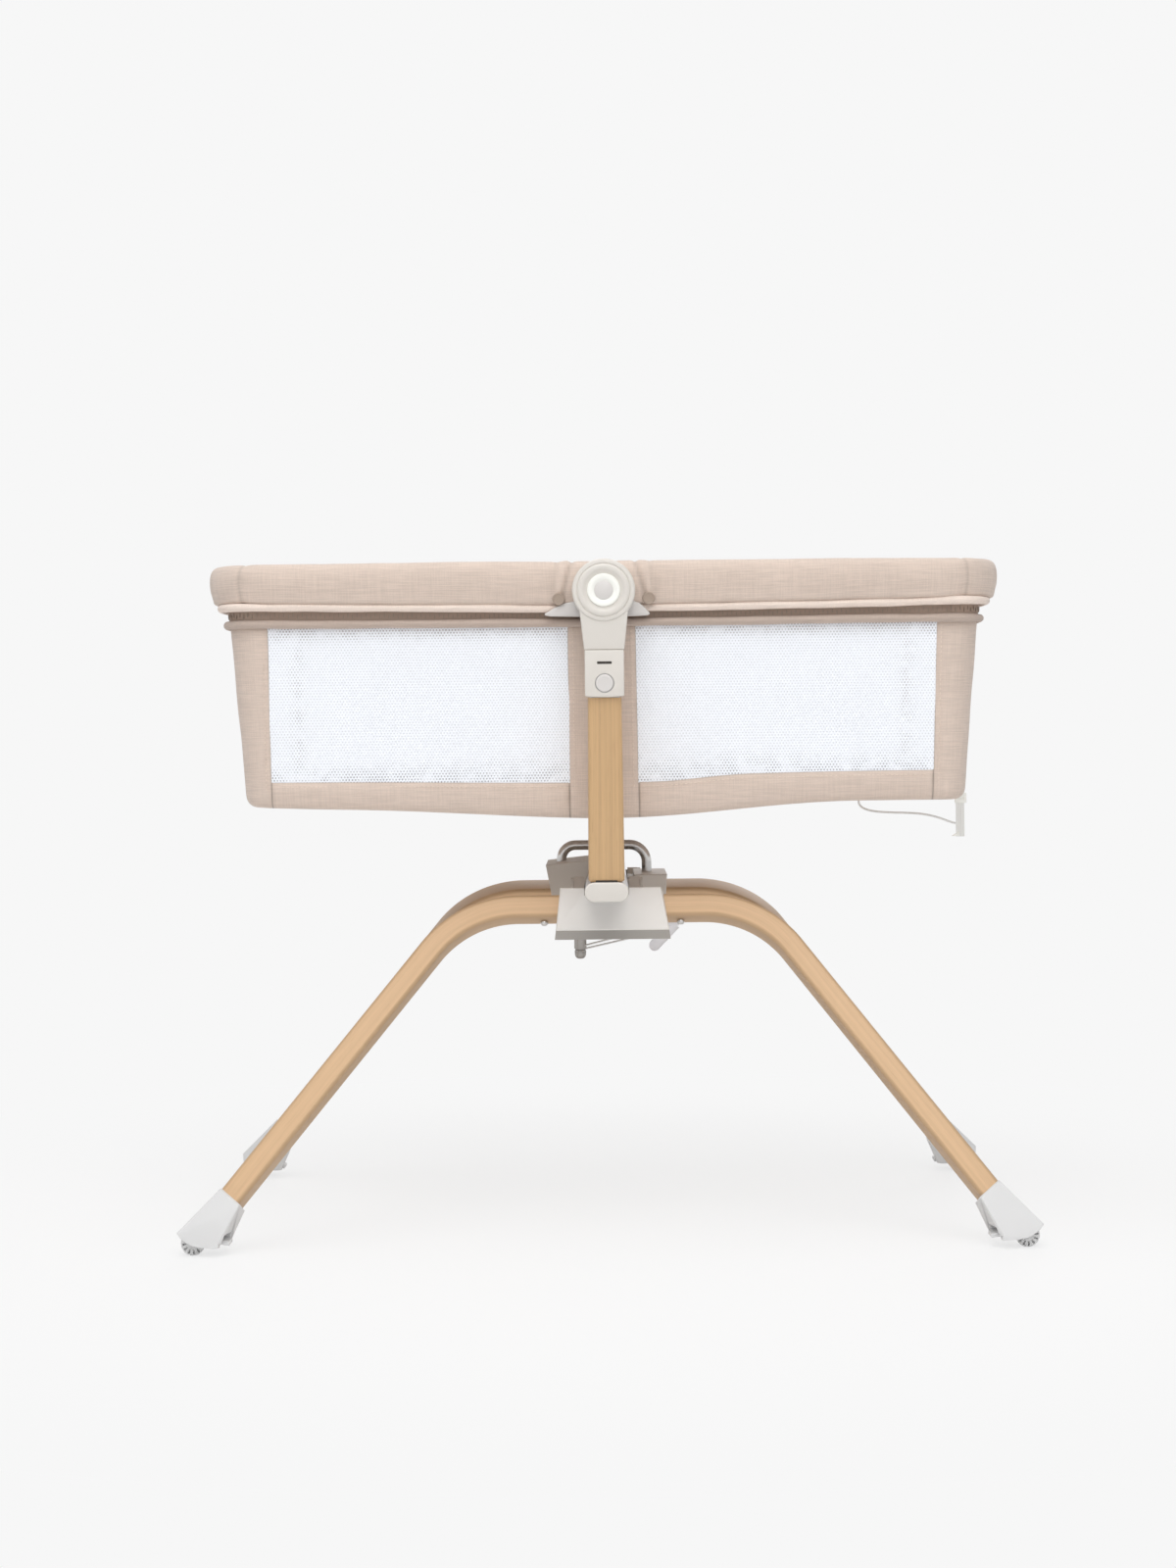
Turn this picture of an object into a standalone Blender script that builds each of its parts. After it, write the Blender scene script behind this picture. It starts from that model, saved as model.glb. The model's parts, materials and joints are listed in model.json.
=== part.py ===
"""Bedside crib on a folding base.

A fabric basket with a padded rim hangs between two posts, tilts on a pivot in each post's head and
slides up for height. The posts stand on a crossbar that rests on two bent arches. The arches fold
under the crossbar, and each of their four feet holds a small wheel with a brake pedal.

Metres, +Z up, origin on the floor under the middle. X runs along the crib, -Y is the near side.
"""

import math

import bmesh
import bpy
from mathutils import Vector

# Clearances
GAP = 0.0003
CUT_OVERRUN = 0.02

# Rim: a steel tube in a padded sleeve
RIM_LENGTH = 0.922
RIM_WIDTH = 0.520
SLEEVE_WIDTH = 0.034
SLEEVE_HEIGHT = 0.0505
SLEEVE_CORNER = 0.085
RIM_TUBE_RADIUS = 0.011
RIM_TUBE_DROP = 0.027
RIM_TUBE_END_X = 0.0125

# Basket shell
BASKET_INSET_X = 0.028
BASKET_INSET_Y = 0.020
BASKET_TAPER_X = 0.017
BASKET_TAPER_Y = 0.005
BASKET_DEPTH = 0.279
BASKET_SAG = 0.018
BASKET_CLEARANCE = 0.0337
SAG_REACH = 0.300
BASKET_CORNER = 0.042
BASKET_WALL = 0.004
BASKET_FLOOR = 0.004
BASKET_EDGE_ROUND = 0.012
HEM_HEIGHT = 0.0075
HEM_PROUD = 0.004
ZIP_HEIGHT = 0.010
LOWER_HEM_HEIGHT = 0.008
LOWER_HEM_PROUD = 0.003

# Windows in the long walls
WINDOW_INNER_TOP_X = 0.039
WINDOW_INNER_FOOT_X = 0.0405
WINDOW_OUTER_TOP_X = 0.386
WINDOW_OUTER_FOOT_X = 0.378
WINDOW_FOOT_RISE = 0.024
WINDOW_THICKNESS = 0.002

# Mattress and its board
BOARD_THICKNESS = 0.008
BOARD_MARGIN = 0.014
BOARD_CORNER = 0.040
MATTRESS_THICKNESS = 0.034
MATTRESS_MARGIN = 0.004
MATTRESS_CROWN = 0.006
MATTRESS_DRAW_IN = 0.005
MATTRESS_EDGE = 0.010

# Pivots between the posts' heads and the rim
PIVOT_DROP = 0.036
PIVOT_PIN_RADIUS = 0.010
PIVOT_ROOT_RADIUS = 0.005
PIVOT_ROOT_LENGTH = 0.012
BRACKET_HALF_X = 0.034
BRACKET_BACK_WALL = 0.0035
BRACKET_ROOF = 0.005
BRACKET_EDGE = 0.002

# Heads on the sliding tubes
HEAD_DEPTH = 0.0395
HEAD_SIDE_GAP = 0.0055
DISC_RADIUS = 0.0357
NECK_TOP_WIDTH = 0.0552
NECK_FOOT_WIDTH = 0.0453
NECK_DROP = 0.0674
HEAD_WIDTH = 0.0444
HEAD_HEIGHT = 0.0533
HEAD_BULGE = 0.0030
PIVOT_CAP_RADIUS = 0.0262
PIVOT_CAP_THICKNESS = 0.0045
CAP_RECESS = 0.0023
BUTTON_RADIUS = 0.0105
BUTTON_THICKNESS = 0.0045
BUTTON_TRAVEL = 0.003
BUTTON_RISE = 0.016
BUTTON_PROUD = 0.0008
SLOT_WIDTH = 0.0165
SLOT_HEIGHT = 0.003
SLOT_DEPTH = 0.002
SLOT_RISE = 0.039
HEAD_ROOF = 0.004

# Posts: a sleeve with a sliding tube inside
POST_TOP_WIDTH = 0.0385
POST_FOOT_WIDTH = 0.0410
POST_DEPTH = 0.028
POST_WALL = 0.0025
POST_CORNER = 0.005
TUBE_WALL = 0.0015
TUBE_FOOT_RISE = 0.0334

# Crossbar
CROSSBAR_WIDTH = 0.050
CROSSBAR_HEIGHT = 0.022
CROSSBAR_Z = 0.408
END_CAP_THICKNESS = 0.006
END_CAP_DOME = 0.0015

# Bent arches
ARCH_HEIGHT = 0.027
ARCH_THICKNESS = 0.038
ARCH_ROUND = 0.005
ARCH_Y = 0.150
ARCH_TILT = math.radians(18.9)
ARCH_FLAT_HALF = 0.110
ARCH_BEND_RADIUS = 0.129
LEG_SLOPE = math.radians(52.6)
LEG_MOUTH_Z = 0.0597
LEG_SOCKET_DEPTH = 0.020

# Brackets that hold the arches and fold on pins through the crossbar
PIN_Y = 0.105
PIN_RADIUS = 0.004
PIN_HEAD_RADIUS = 0.0065
PIN_HEAD_LENGTH = 0.003
SADDLE_TOP_HALF = 0.0592
SADDLE_FOOT_HALF = 0.0678
SADDLE_WALL = 0.0042
SADDLE_ROOF = 0.0062
SADDLE_SKIRT = 0.0421
SADDLE_CHAMFER_HEIGHT = 0.0104
SADDLE_CHAMFER_DEPTH = 0.003
SADDLE_EDGE = 0.0012
EAR_RADIUS = 0.0095
EAR_THICKNESS = 0.013
EAR_GAP = 0.0015

# Hub in the middle of the crossbar
HUB_HALF_Y = 0.068
HUB_BASE_HEIGHT = 0.0352
HUB_FLANK_HEIGHT = 0.018
HUB_SHOULDER_DROP = 0.0208
HUB_BASE_FOOT_HALF = 0.050
HUB_BASE_HALF = 0.069
HUB_SADDLE_HALF = 0.030
LEFT_COVER_OUTER_X = 0.0765
LEFT_COVER_INNER_X = 0.0165
LEFT_COVER_LOW_TOP_RISE = 0.0244
LEFT_COVER_HIGH_TOP_RISE = 0.0339
RIGHT_COVER_INNER_X = 0.0308
RIGHT_COVER_OUTER_X = 0.0710
RIGHT_COVER_TOP_RISE = 0.0149

# Fold handle, its bolt, wire and pull tab
HANDLE_TUBE_RADIUS = 0.006
HANDLE_LEFT_X = 0.0608
HANDLE_RIGHT_X = 0.0430
HANDLE_TOP_RISE = 0.0403
HANDLE_FOOT_DROP = 0.008
HANDLE_BEND = 0.0125
BOLT_X = 0.0370
BOLT_RADIUS = 0.0042
BOLT_DROP = 0.044
NUT_RADIUS = 0.0078
NUT_HEIGHT = 0.0085
NUT_DOME = 0.004
WIRE_RADIUS = 0.0011
WIRE_START_X = 0.030
WIRE_DROP = 0.016
WIRE_SPREAD = 0.0056
WIRE_SLOPE_DROP = 0.007
TAB_ROOT_X = 0.045
TAB_KNEE_X = 0.056
TAB_TIP_X = 0.081
TAB_KNEE_DROP = 0.034
TAB_TIP_DROP = 0.005
TAB_THICKNESS = 0.004
TAB_WIDTH = 0.014

# Feet
FOOT_WALL = 0.0022
FOOT_HALF_THICKNESS = 0.0225
FOOT_FLOOR_GAP = 0.0076
FOOT_TIP_REACH = 0.0590
FOOT_TIP_DROP = 0.0398
FOOT_TOE_SET_BACK = 0.0030
FOOT_HEEL_REACH = 0.0124
FOOT_HEEL_DROP = 0.0504
FOOT_ROUND = 0.0020
WHEEL_RADIUS = 0.014
WHEEL_WIDTH = 0.022
WHEEL_REACH = 0.0414
WHEEL_CLEARANCE = 0.0012
WHEEL_SIDE_GAP = 0.0006
AXLE_RADIUS = 0.003
AXLE_STUB = 0.006
PEDAL_PIVOT_REACH = 0.0195
PEDAL_PIVOT_Z = 0.0165
PEDAL_REACH = 0.0199
PEDAL_TIP_DROP = 0.0033
PEDAL_TOE = 0.0065
PEDAL_THICKNESS = 0.0045
PEDAL_WIDTH = 0.026
PEDAL_SLOT_ROOF = 0.0062
PEDAL_PIN_RADIUS = 0.0015
PEDAL_PIN_STUB = 0.004

# Tether strap, its buckle and its cord
STRAP_Y = -0.120
STRAP_WIDTH = 0.010
STRAP_THICKNESS = 0.0015
STRAP_TOP_RISE = 0.0142
STRAP_LENGTH = 0.0610
BUCKLE_WIDTH = 0.015
BUCKLE_HEIGHT = 0.012
BUCKLE_THICKNESS = 0.0055
BUCKLE_DROP = 0.015
BUCKLE_BAR = 0.0009
CORD_RADIUS = 0.00125
CORD_STEP = 0.006

# The cord's own route, from the shell's underside to the strap
CORD_ROUTE = [
    (0.3015, STRAP_Y, 0.5054),
    (0.3017, STRAP_Y - 0.0005, 0.5000),
    (0.3050, STRAP_Y - 0.0015, 0.4952),
    (0.3120, STRAP_Y - 0.0028, 0.4920),
    (0.3210, STRAP_Y - 0.0038, 0.4901),
    (0.3320, STRAP_Y - 0.0044, 0.4891),
    (0.3440, STRAP_Y - 0.0046, 0.4885),
    (0.3570, STRAP_Y - 0.0044, 0.4880),
    (0.3700, STRAP_Y - 0.0038, 0.4872),
    (0.3820, STRAP_Y - 0.0028, 0.4855),
    (0.3930, STRAP_Y - 0.0017, 0.4829),
    (0.4020, STRAP_Y - 0.0008, 0.4799),
    (0.4090, STRAP_Y - 0.0002, 0.4772),
    (0.4166, STRAP_Y, 0.4750),
]

# Counts of facets
CORNER_STEPS = 5
BEND_STEPS = 8
ROUND_SIDES = 24
BORE_SIDES = 16
SMALL_SIDES = 10
PIN_SIDES = 8

# Places worked out from the sizes above
BASKET_LOWEST_Z = CROSSBAR_Z + HANDLE_TOP_RISE + HANDLE_TUBE_RADIUS + BASKET_CLEARANCE
SHELL_FOOT_Z = BASKET_LOWEST_Z + BASKET_SAG
RIM_TOP_Z = SHELL_FOOT_Z + BASKET_DEPTH
BASKET_TOP_LENGTH = RIM_LENGTH - 2 * BASKET_INSET_X
BASKET_TOP_WIDTH = RIM_WIDTH - 2 * BASKET_INSET_Y
BASKET_FOOT_LENGTH = BASKET_TOP_LENGTH - 2 * BASKET_TAPER_X
BASKET_FOOT_WIDTH = BASKET_TOP_WIDTH - 2 * BASKET_TAPER_Y
RIM_TUBE_Z = RIM_TOP_Z - RIM_TUBE_DROP
SLEEVE_END_X = BRACKET_HALF_X + GAP
RIM_TUBE_OUT = SLEEVE_WIDTH / 2
RIM_TUBE_HALF_X = RIM_LENGTH / 2 - RIM_TUBE_OUT
RIM_TUBE_HALF_Y = RIM_WIDTH / 2 - RIM_TUBE_OUT
RIM_TUBE_CORNER = SLEEVE_CORNER - RIM_TUBE_OUT
SLEEVE_FOOT_Z = RIM_TOP_Z - SLEEVE_HEIGHT
SHELL_TOP_Z = SLEEVE_FOOT_Z - GAP
LOWER_HEM_TOP_Z = SHELL_TOP_Z - HEM_HEIGHT - ZIP_HEIGHT
LOWER_HEM_FOOT_Z = LOWER_HEM_TOP_Z - LOWER_HEM_HEIGHT
PIVOT_Z = RIM_TOP_Z - PIVOT_DROP
NECK_FOOT_Z = PIVOT_Z - NECK_DROP
HEAD_BACK_Y = RIM_WIDTH / 2 + HEAD_SIDE_GAP
HEAD_FACE_Y = HEAD_BACK_Y + HEAD_DEPTH
POST_Y = (HEAD_BACK_Y + HEAD_FACE_Y) / 2
HEAD_TOP_Z = NECK_FOOT_Z - GAP
HEAD_FOOT_Z = HEAD_TOP_Z - HEAD_HEIGHT
POST_TOP_Z = HEAD_FOOT_Z - GAP
CROSSBAR_TOP_Z = CROSSBAR_Z + CROSSBAR_HEIGHT / 2
CROSSBAR_FOOT_Z = CROSSBAR_Z - CROSSBAR_HEIGHT / 2
POST_FOOT_Z = CROSSBAR_TOP_Z + GAP
CROSSBAR_END_Y = HEAD_FACE_Y - END_CAP_THICKNESS - GAP
HUB_SHOULDER_Z = CROSSBAR_Z - HUB_SHOULDER_DROP
HUB_FOOT_Z = HUB_SHOULDER_Z - HUB_BASE_HEIGHT
HUB_FLANK_Z = HUB_FOOT_Z + HUB_FLANK_HEIGHT
LEFT_COVER_LOW_TOP_Z = CROSSBAR_Z + LEFT_COVER_LOW_TOP_RISE
LEFT_COVER_HIGH_TOP_Z = CROSSBAR_Z + LEFT_COVER_HIGH_TOP_RISE
RIGHT_COVER_TOP_Z = CROSSBAR_Z + RIGHT_COVER_TOP_RISE
HANDLE_TOP_Z = CROSSBAR_Z + HANDLE_TOP_RISE
HANDLE_FOOT_Z = CROSSBAR_Z - HANDLE_FOOT_DROP
BOLT_TIP_Z = HUB_FOOT_Z - BOLT_DROP
TAB_KNEE_Z = HUB_FOOT_Z - TAB_KNEE_DROP
TAB_TIP_Z = HUB_FOOT_Z - TAB_TIP_DROP
TILT_COS = math.cos(ARCH_TILT)
TILT_SIN = math.sin(ARCH_TILT)
ARCH_CORE_HEIGHT = ARCH_HEIGHT / 2 - ARCH_ROUND
ARCH_CORE_THICKNESS = ARCH_THICKNESS / 2 - ARCH_ROUND
ARCH_TOP_RISE = ARCH_CORE_HEIGHT * TILT_COS + ARCH_CORE_THICKNESS * TILT_SIN + ARCH_ROUND
ARCH_Z = CROSSBAR_FOOT_Z - GAP - ARCH_TOP_RISE
LEG_MOUTH_S = (ARCH_Z - LEG_MOUTH_Z) / TILT_COS
BEND_END_X = ARCH_FLAT_HALF + ARCH_BEND_RADIUS * math.sin(LEG_SLOPE)
BEND_END_S = ARCH_BEND_RADIUS * (1 - math.cos(LEG_SLOPE))
LEG_MOUTH_X = BEND_END_X + (LEG_MOUTH_S - BEND_END_S) / math.tan(LEG_SLOPE)
WHEEL_Z = WHEEL_RADIUS * math.cos(math.pi / ROUND_SIDES)
WHEEL_X = LEG_MOUTH_X + WHEEL_REACH
WHEEL_Y = ARCH_Y + (ARCH_Z - WHEEL_Z) * math.tan(ARCH_TILT)
PEDAL_PIVOT_X = LEG_MOUTH_X + PEDAL_PIVOT_REACH

SIDES = {"near": -1, "far": 1}
ENDS = {"left": -1, "right": 1}


# Scene and mesh helpers

def clear_scene():
    for old in list(bpy.data.objects):
        bpy.data.objects.remove(old, do_unlink=True)


def material(name, colour, roughness, metallic=0.0):
    found = bpy.data.materials.get(name)
    if found:
        return found
    made = bpy.data.materials.new(name)
    made.use_nodes = True
    shader = made.node_tree.nodes["Principled BSDF"]
    shader.inputs["Base Color"].default_value = (*colour, 1.0)
    shader.inputs["Roughness"].default_value = roughness
    shader.inputs["Metallic"].default_value = metallic
    return made


def fabric():
    return material("linen_fabric", (0.66, 0.54, 0.46), 0.9)


def net():
    return material("window_net", (0.84, 0.87, 0.94), 0.8)


def ash_wood():
    return material("ash_wood", (0.62, 0.42, 0.23), 0.5)


def grey_plastic():
    return material("warm_grey_plastic", (0.72, 0.69, 0.64), 0.45)


def shade_plastic():
    return material("shade_grey_plastic", (0.45, 0.42, 0.38), 0.5)


def foot_plastic():
    return material("pale_grey_plastic", (0.76, 0.76, 0.76), 0.4)


def wheel_rubber():
    return material("wheel_rubber", (0.60, 0.60, 0.60), 0.6)


def steel():
    return material("bright_steel", (0.75, 0.75, 0.76), 0.2, 1.0)


def aluminium():
    return material("satin_aluminium", (0.72, 0.73, 0.75), 0.35, 1.0)


def white_webbing():
    return material("white_webbing", (0.88, 0.88, 0.87), 0.8)


def clear_tab():
    return material("milky_plastic", (0.85, 0.86, 0.86), 0.3)


def mattress_cloth():
    return material("mattress_cloth", (0.86, 0.86, 0.85), 0.9)


def board():
    return material("fibre_board", (0.55, 0.50, 0.44), 0.7)


def finish_mesh(name, bm, look, origin=None, smooth=False):
    """Turns a bmesh into a linked object whose origin sits at the given point."""
    bmesh.ops.remove_doubles(bm, verts=bm.verts, dist=GAP / 30)
    bmesh.ops.recalc_face_normals(bm, faces=bm.faces)
    place = Vector(origin) if origin else Vector((0, 0, 0))
    bmesh.ops.translate(bm, verts=bm.verts, vec=-place)
    mesh = bpy.data.meshes.new(name)
    bm.to_mesh(mesh)
    bm.free()
    if smooth:
        mesh.shade_smooth()
        mesh.set_sharp_from_angle(angle=math.radians(35))
    made = bpy.data.objects.new(name, mesh)
    made.location = place
    bpy.context.scene.collection.objects.link(made)
    if look:
        mesh.materials.append(look)
    return made


def cut(target, tool, operation="DIFFERENCE"):
    """Adds a Boolean of the tool shape to the target and hides the tool shape."""
    tool.hide_render = True
    tool.display_type = "WIRE"
    change = target.modifiers.new(tool.name, "BOOLEAN")
    change.operation = operation
    change.solver = "EXACT"
    change.object = tool


def bevelled(target, width):
    """Rounds the sharp edges of a solid with one flat chamfer."""
    edge = target.modifiers.new("edges", "BEVEL")
    edge.width = width
    edge.segments = 1
    edge.limit_method = "ANGLE"
    edge.angle_limit = math.radians(40)


def prism(name, outline, low, high, place, look, **kwargs):
    """Extrudes a closed outline of (a, b) points from low to high; place turns (a, b, depth) into a point."""
    bm = bmesh.new()
    face = bm.faces.new([bm.verts.new(place(a, b, low)) for a, b in outline])
    moved = bmesh.ops.extrude_face_region(bm, geom=[face])
    top = [v for v in moved["geom"] if isinstance(v, bmesh.types.BMVert)]
    centre_a, centre_b = outline[0]
    travel = place(centre_a, centre_b, high) - place(centre_a, centre_b, low)
    bmesh.ops.translate(bm, verts=top, vec=travel)
    return finish_mesh(name, bm, look, **kwargs)


def along_y(a, b, depth):
    return Vector((a, depth, b))


def along_z(a, b, depth):
    return Vector((a, b, depth))


def along_x(a, b, depth):
    return Vector((depth, a, b))


def rings_to_mesh(bm, rings, closed_ends=True):
    """Joins rings of points, each a closed loop, into a skin, with a face on each end."""
    loops = [[bm.verts.new(point) for point in ring] for ring in rings]
    count = len(loops[0])
    for first, second in zip(loops, loops[1:]):
        for i in range(count):
            after = (i + 1) % count
            bm.faces.new((first[i], first[after], second[after], second[i]))
    if closed_ends:
        bm.faces.new(loops[0])
        bm.faces.new(list(reversed(loops[-1])))
    return loops


def loft(name, rings, look, **kwargs):
    bm = bmesh.new()
    rings_to_mesh(bm, rings)
    return finish_mesh(name, bm, look, **kwargs)


def hollow_loft(name, outer_rings, inner_rings, look, **kwargs):
    """A lofted tube with an open bore; both skins have as many points, and a flat rim joins them."""
    bm = bmesh.new()
    outer = rings_to_mesh(bm, outer_rings, closed_ends=False)
    inner = rings_to_mesh(bm, inner_rings, closed_ends=False)
    for loop_out, loop_in in ((outer[0], inner[0]), (outer[-1], inner[-1])):
        for i in range(len(loop_out)):
            after = (i + 1) % len(loop_out)
            bm.faces.new((loop_out[i], loop_out[after], loop_in[after], loop_in[i]))
    return finish_mesh(name, bm, look, **kwargs)


def circle(radius, sides, turn=0.0):
    """Points of a circle; turn shifts them by that share of one side."""
    return [
        (
            radius * math.cos(2 * math.pi * (i + turn) / sides),
            radius * math.sin(2 * math.pi * (i + turn) / sides),
        )
        for i in range(sides)
    ]


def turned(name, profile, axis, centre, sides, look, turn=0.5, **kwargs):
    """A turned solid from (radius, distance along the axis) pairs; axis is x, y or z."""
    place = {"x": along_x, "y": along_y, "z": along_z}[axis]
    middle = Vector(centre)
    rings = [
        [middle + place(a, b, step) for a, b in circle(radius, sides, turn)]
        for radius, step in profile
    ]
    return loft(name, rings, look, smooth=True, **kwargs)


def rod(name, radius, low, high, axis, centre, sides, look, **kwargs):
    return turned(name, [(radius, low), (radius, high)], axis, centre, sides, look, **kwargs)


def block(name, low, high, look, **kwargs):
    outline = [(low[0], low[1]), (high[0], low[1]), (high[0], high[1]), (low[0], high[1])]
    return prism(name, outline, low[2], high[2], along_z, look, **kwargs)


def rounded_box_outline(width, height, corner, steps):
    """A rectangle with round corners, centred, counter-clockwise from the lower right corner."""
    points = []
    for quarter, (sx, sy) in enumerate(((1, -1), (1, 1), (-1, 1), (-1, -1))):
        middle = (sx * (width / 2 - corner), sy * (height / 2 - corner))
        start = -math.pi / 2 + quarter * math.pi / 2
        for i in range(steps + 1):
            angle = start + i * math.pi / 2 / steps
            points.append((middle[0] + corner * math.cos(angle), middle[1] + corner * math.sin(angle)))
    return points


def smooth_route(points, step):
    """Points read at an even step from the smooth curve through a route's own points."""
    ghost = [2 * points[0] - points[1], *points, 2 * points[-1] - points[-2]]
    fine = []
    share_steps = 12
    for before, start, end, after in zip(ghost, ghost[1:], ghost[2:], ghost[3:]):
        for i in range(share_steps):
            t = i / share_steps
            fine.append(
                0.5 * (2 * start + (end - before) * t
                       + (2 * before - 5 * start + 4 * end - after) * t * t
                       + (3 * start - before - 3 * end + after) * t ** 3)
            )
    fine.append(points[-1])
    length = sum((b - a).length for a, b in zip(fine, fine[1:]))
    count = max(2, round(length / step))
    spacing = length / count
    even, travelled, target = [fine[0]], 0.0, spacing
    for a, b in zip(fine, fine[1:]):
        part = (b - a).length
        while travelled + part >= target and len(even) < count:
            even.append(a.lerp(b, (target - travelled) / part))
            target += spacing
        travelled += part
    even.append(points[-1])
    return even


def tube(name, points, radius, look, resolution=2):
    """A round wire or tube along a line of points, with flat closed ends."""
    curve = bpy.data.curves.new(name, "CURVE")
    curve.dimensions = "3D"
    curve.bevel_depth = radius
    curve.bevel_resolution = resolution
    curve.use_fill_caps = True
    line = curve.splines.new("POLY")
    line.points.add(len(points) - 1)
    for spot, point in zip(line.points, points):
        spot.co = (*point, 1.0)
    curve.materials.append(look)
    made = bpy.data.objects.new(name, curve)
    bpy.context.scene.collection.objects.link(made)
    return made


# Rim and basket

def rim_half_path(end, grow, start_x):
    """Plan points of one half of the rim, from the near hub round the end to the far hub."""
    half_x, half_y = RIM_TUBE_HALF_X + grow, RIM_TUBE_HALF_Y + grow
    corner = RIM_TUBE_CORNER + grow
    points = [(start_x, -half_y)]
    for quarter, middle_y in ((0, -(half_y - corner)), (1, half_y - corner)):
        for i in range(CORNER_STEPS + 1):
            angle = -math.pi / 2 + quarter * math.pi / 2 + i * math.pi / 2 / CORNER_STEPS
            points.append((half_x - corner + corner * math.cos(angle), middle_y + corner * math.sin(angle)))
    points.append((start_x, half_y))
    return [(end * x, y) for x, y in points]


def rim_rings(end, section, start_x):
    """Sweeps a section of (outward, up) offsets along one half of the rim tube's line."""
    paths = [rim_half_path(end, out, start_x) for out, _ in section]
    return [
        [Vector((*paths[i][k], RIM_TUBE_Z + section[i][1])) for i in range(len(section))]
        for k in range(len(paths[0]))
    ]


def sleeve_section():
    """The padded sleeve's outline: full at the top, drawn in towards its lower outer edge."""
    out = SLEEVE_WIDTH / 2
    up = RIM_TUBE_DROP
    down = SLEEVE_HEIGHT - RIM_TUBE_DROP
    outer_shares = [
        (0.58, -1.00), (0.82, -0.50), (0.97, 0.00), (1.00, 0.45), (0.86, 0.80), (0.50, 0.98),
        (0.00, 1.00), (-0.55, 0.88), (-0.90, 0.60), (-1.00, 0.10), (-0.96, -0.50), (-0.70, -1.00),
    ]
    return [(out * a, (up if b > 0 else down) * b) for a, b in outer_shares]


def rim_tubes():
    for name, end in ENDS.items():
        section = circle(RIM_TUBE_RADIUS, SMALL_SIDES + 2, 0.5)
        loft(f"rim_tube_{name}", rim_rings(end, section, RIM_TUBE_END_X), aluminium(), smooth=True)


def rim_sleeves():
    for name, end in ENDS.items():
        bore = circle(RIM_TUBE_RADIUS + GAP, SMALL_SIDES + 2, -2.5)
        outer = rim_rings(end, sleeve_section(), SLEEVE_END_X)
        inner = rim_rings(end, bore, SLEEVE_END_X)
        hollow_loft(f"rim_sleeve_{name}", outer, inner, fabric(), smooth=True)


def rim_brackets():
    """Blocks that join the two rim tubes and carry the pivot pins."""
    half_depth = RIM_TUBE_RADIUS + BRACKET_BACK_WALL
    for name, side in SIDES.items():
        outer_y = side * (RIM_TUBE_HALF_Y + half_depth)
        inner_y = side * (RIM_TUBE_HALF_Y - half_depth)
        made = block(
            f"rim_bracket_{name}",
            (-BRACKET_HALF_X, min(outer_y, inner_y), SLEEVE_FOOT_Z + GAP),
            (BRACKET_HALF_X, max(outer_y, inner_y), RIM_TUBE_Z + RIM_TUBE_RADIUS + BRACKET_ROOF),
            grey_plastic(),
        )
        bevelled(made, BRACKET_EDGE)
        for end_name, end in ENDS.items():
            socket = rod(
                f"cut_rim_socket_{name}_{end_name}", RIM_TUBE_RADIUS + GAP,
                end * (RIM_TUBE_END_X - GAP), end * (BRACKET_HALF_X + CUT_OVERRUN), "x",
                (0, side * RIM_TUBE_HALF_Y, RIM_TUBE_Z), SMALL_SIDES + 2, None,
            )
            cut(made, socket)
        root = rod(
            f"cut_pivot_root_{name}", PIVOT_ROOT_RADIUS + GAP,
            outer_y + side * CUT_OVERRUN, outer_y - side * (PIVOT_ROOT_LENGTH + GAP), "y",
            (0, 0, PIVOT_Z), SMALL_SIDES, None,
        )
        cut(made, root)


def pivot_pins():
    """Turned pins: a thick journal in the disc and a thin root in the rim bracket."""
    bracket_face = RIM_TUBE_HALF_Y + RIM_TUBE_RADIUS + BRACKET_BACK_WALL
    journal_end = HEAD_FACE_Y - CAP_RECESS - GAP - GAP
    for name, side in SIDES.items():
        profile = [
            (PIVOT_ROOT_RADIUS, side * (bracket_face - PIVOT_ROOT_LENGTH)),
            (PIVOT_ROOT_RADIUS, side * (bracket_face + GAP)),
            (PIVOT_PIN_RADIUS, side * (bracket_face + GAP)),
            (PIVOT_PIN_RADIUS, side * journal_end),
        ]
        turned(f"pivot_pin_{name}", profile, "y", (0, 0, PIVOT_Z), BORE_SIDES, steel())


def share_down(z):
    """0 at the shell's upper edge and 1 at its lower edge."""
    return (SHELL_TOP_Z - z) / (SHELL_TOP_Z - SHELL_FOOT_Z)


def wall_half_x(z):
    return (BASKET_TOP_LENGTH + (BASKET_FOOT_LENGTH - BASKET_TOP_LENGTH) * share_down(z)) / 2


def wall_half_y(z):
    return (BASKET_TOP_WIDTH + (BASKET_FOOT_WIDTH - BASKET_TOP_WIDTH) * share_down(z)) / 2


def shell_foot_z(x):
    """Height of the sagging underside at x."""
    near_middle = max(0.0, 1 - abs(x) / SAG_REACH)
    return SHELL_FOOT_Z - BASKET_SAG * 0.5 * (1 - math.cos(math.pi * near_middle))


def plan_ring(half_x, half_y, corner, side_steps=10):
    """A closed plan outline with round corners: the near half from left to right, then the far half."""
    near = []
    for i in range(CORNER_STEPS):
        angle = math.pi + i * math.pi / 2 / CORNER_STEPS
        near.append((-half_x + corner + corner * math.cos(angle), -half_y + corner + corner * math.sin(angle)))
    flat = 2 * (half_x - corner)
    for i in range(side_steps + 1):
        near.append((-half_x + corner + flat * i / side_steps, -half_y))
    for i in range(1, CORNER_STEPS + 1):
        angle = -math.pi / 2 + i * math.pi / 2 / CORNER_STEPS
        near.append((half_x - corner + corner * math.cos(angle), -half_y + corner + corner * math.sin(angle)))
    return near + [(x, -y) for x, y in reversed(near)]


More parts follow.
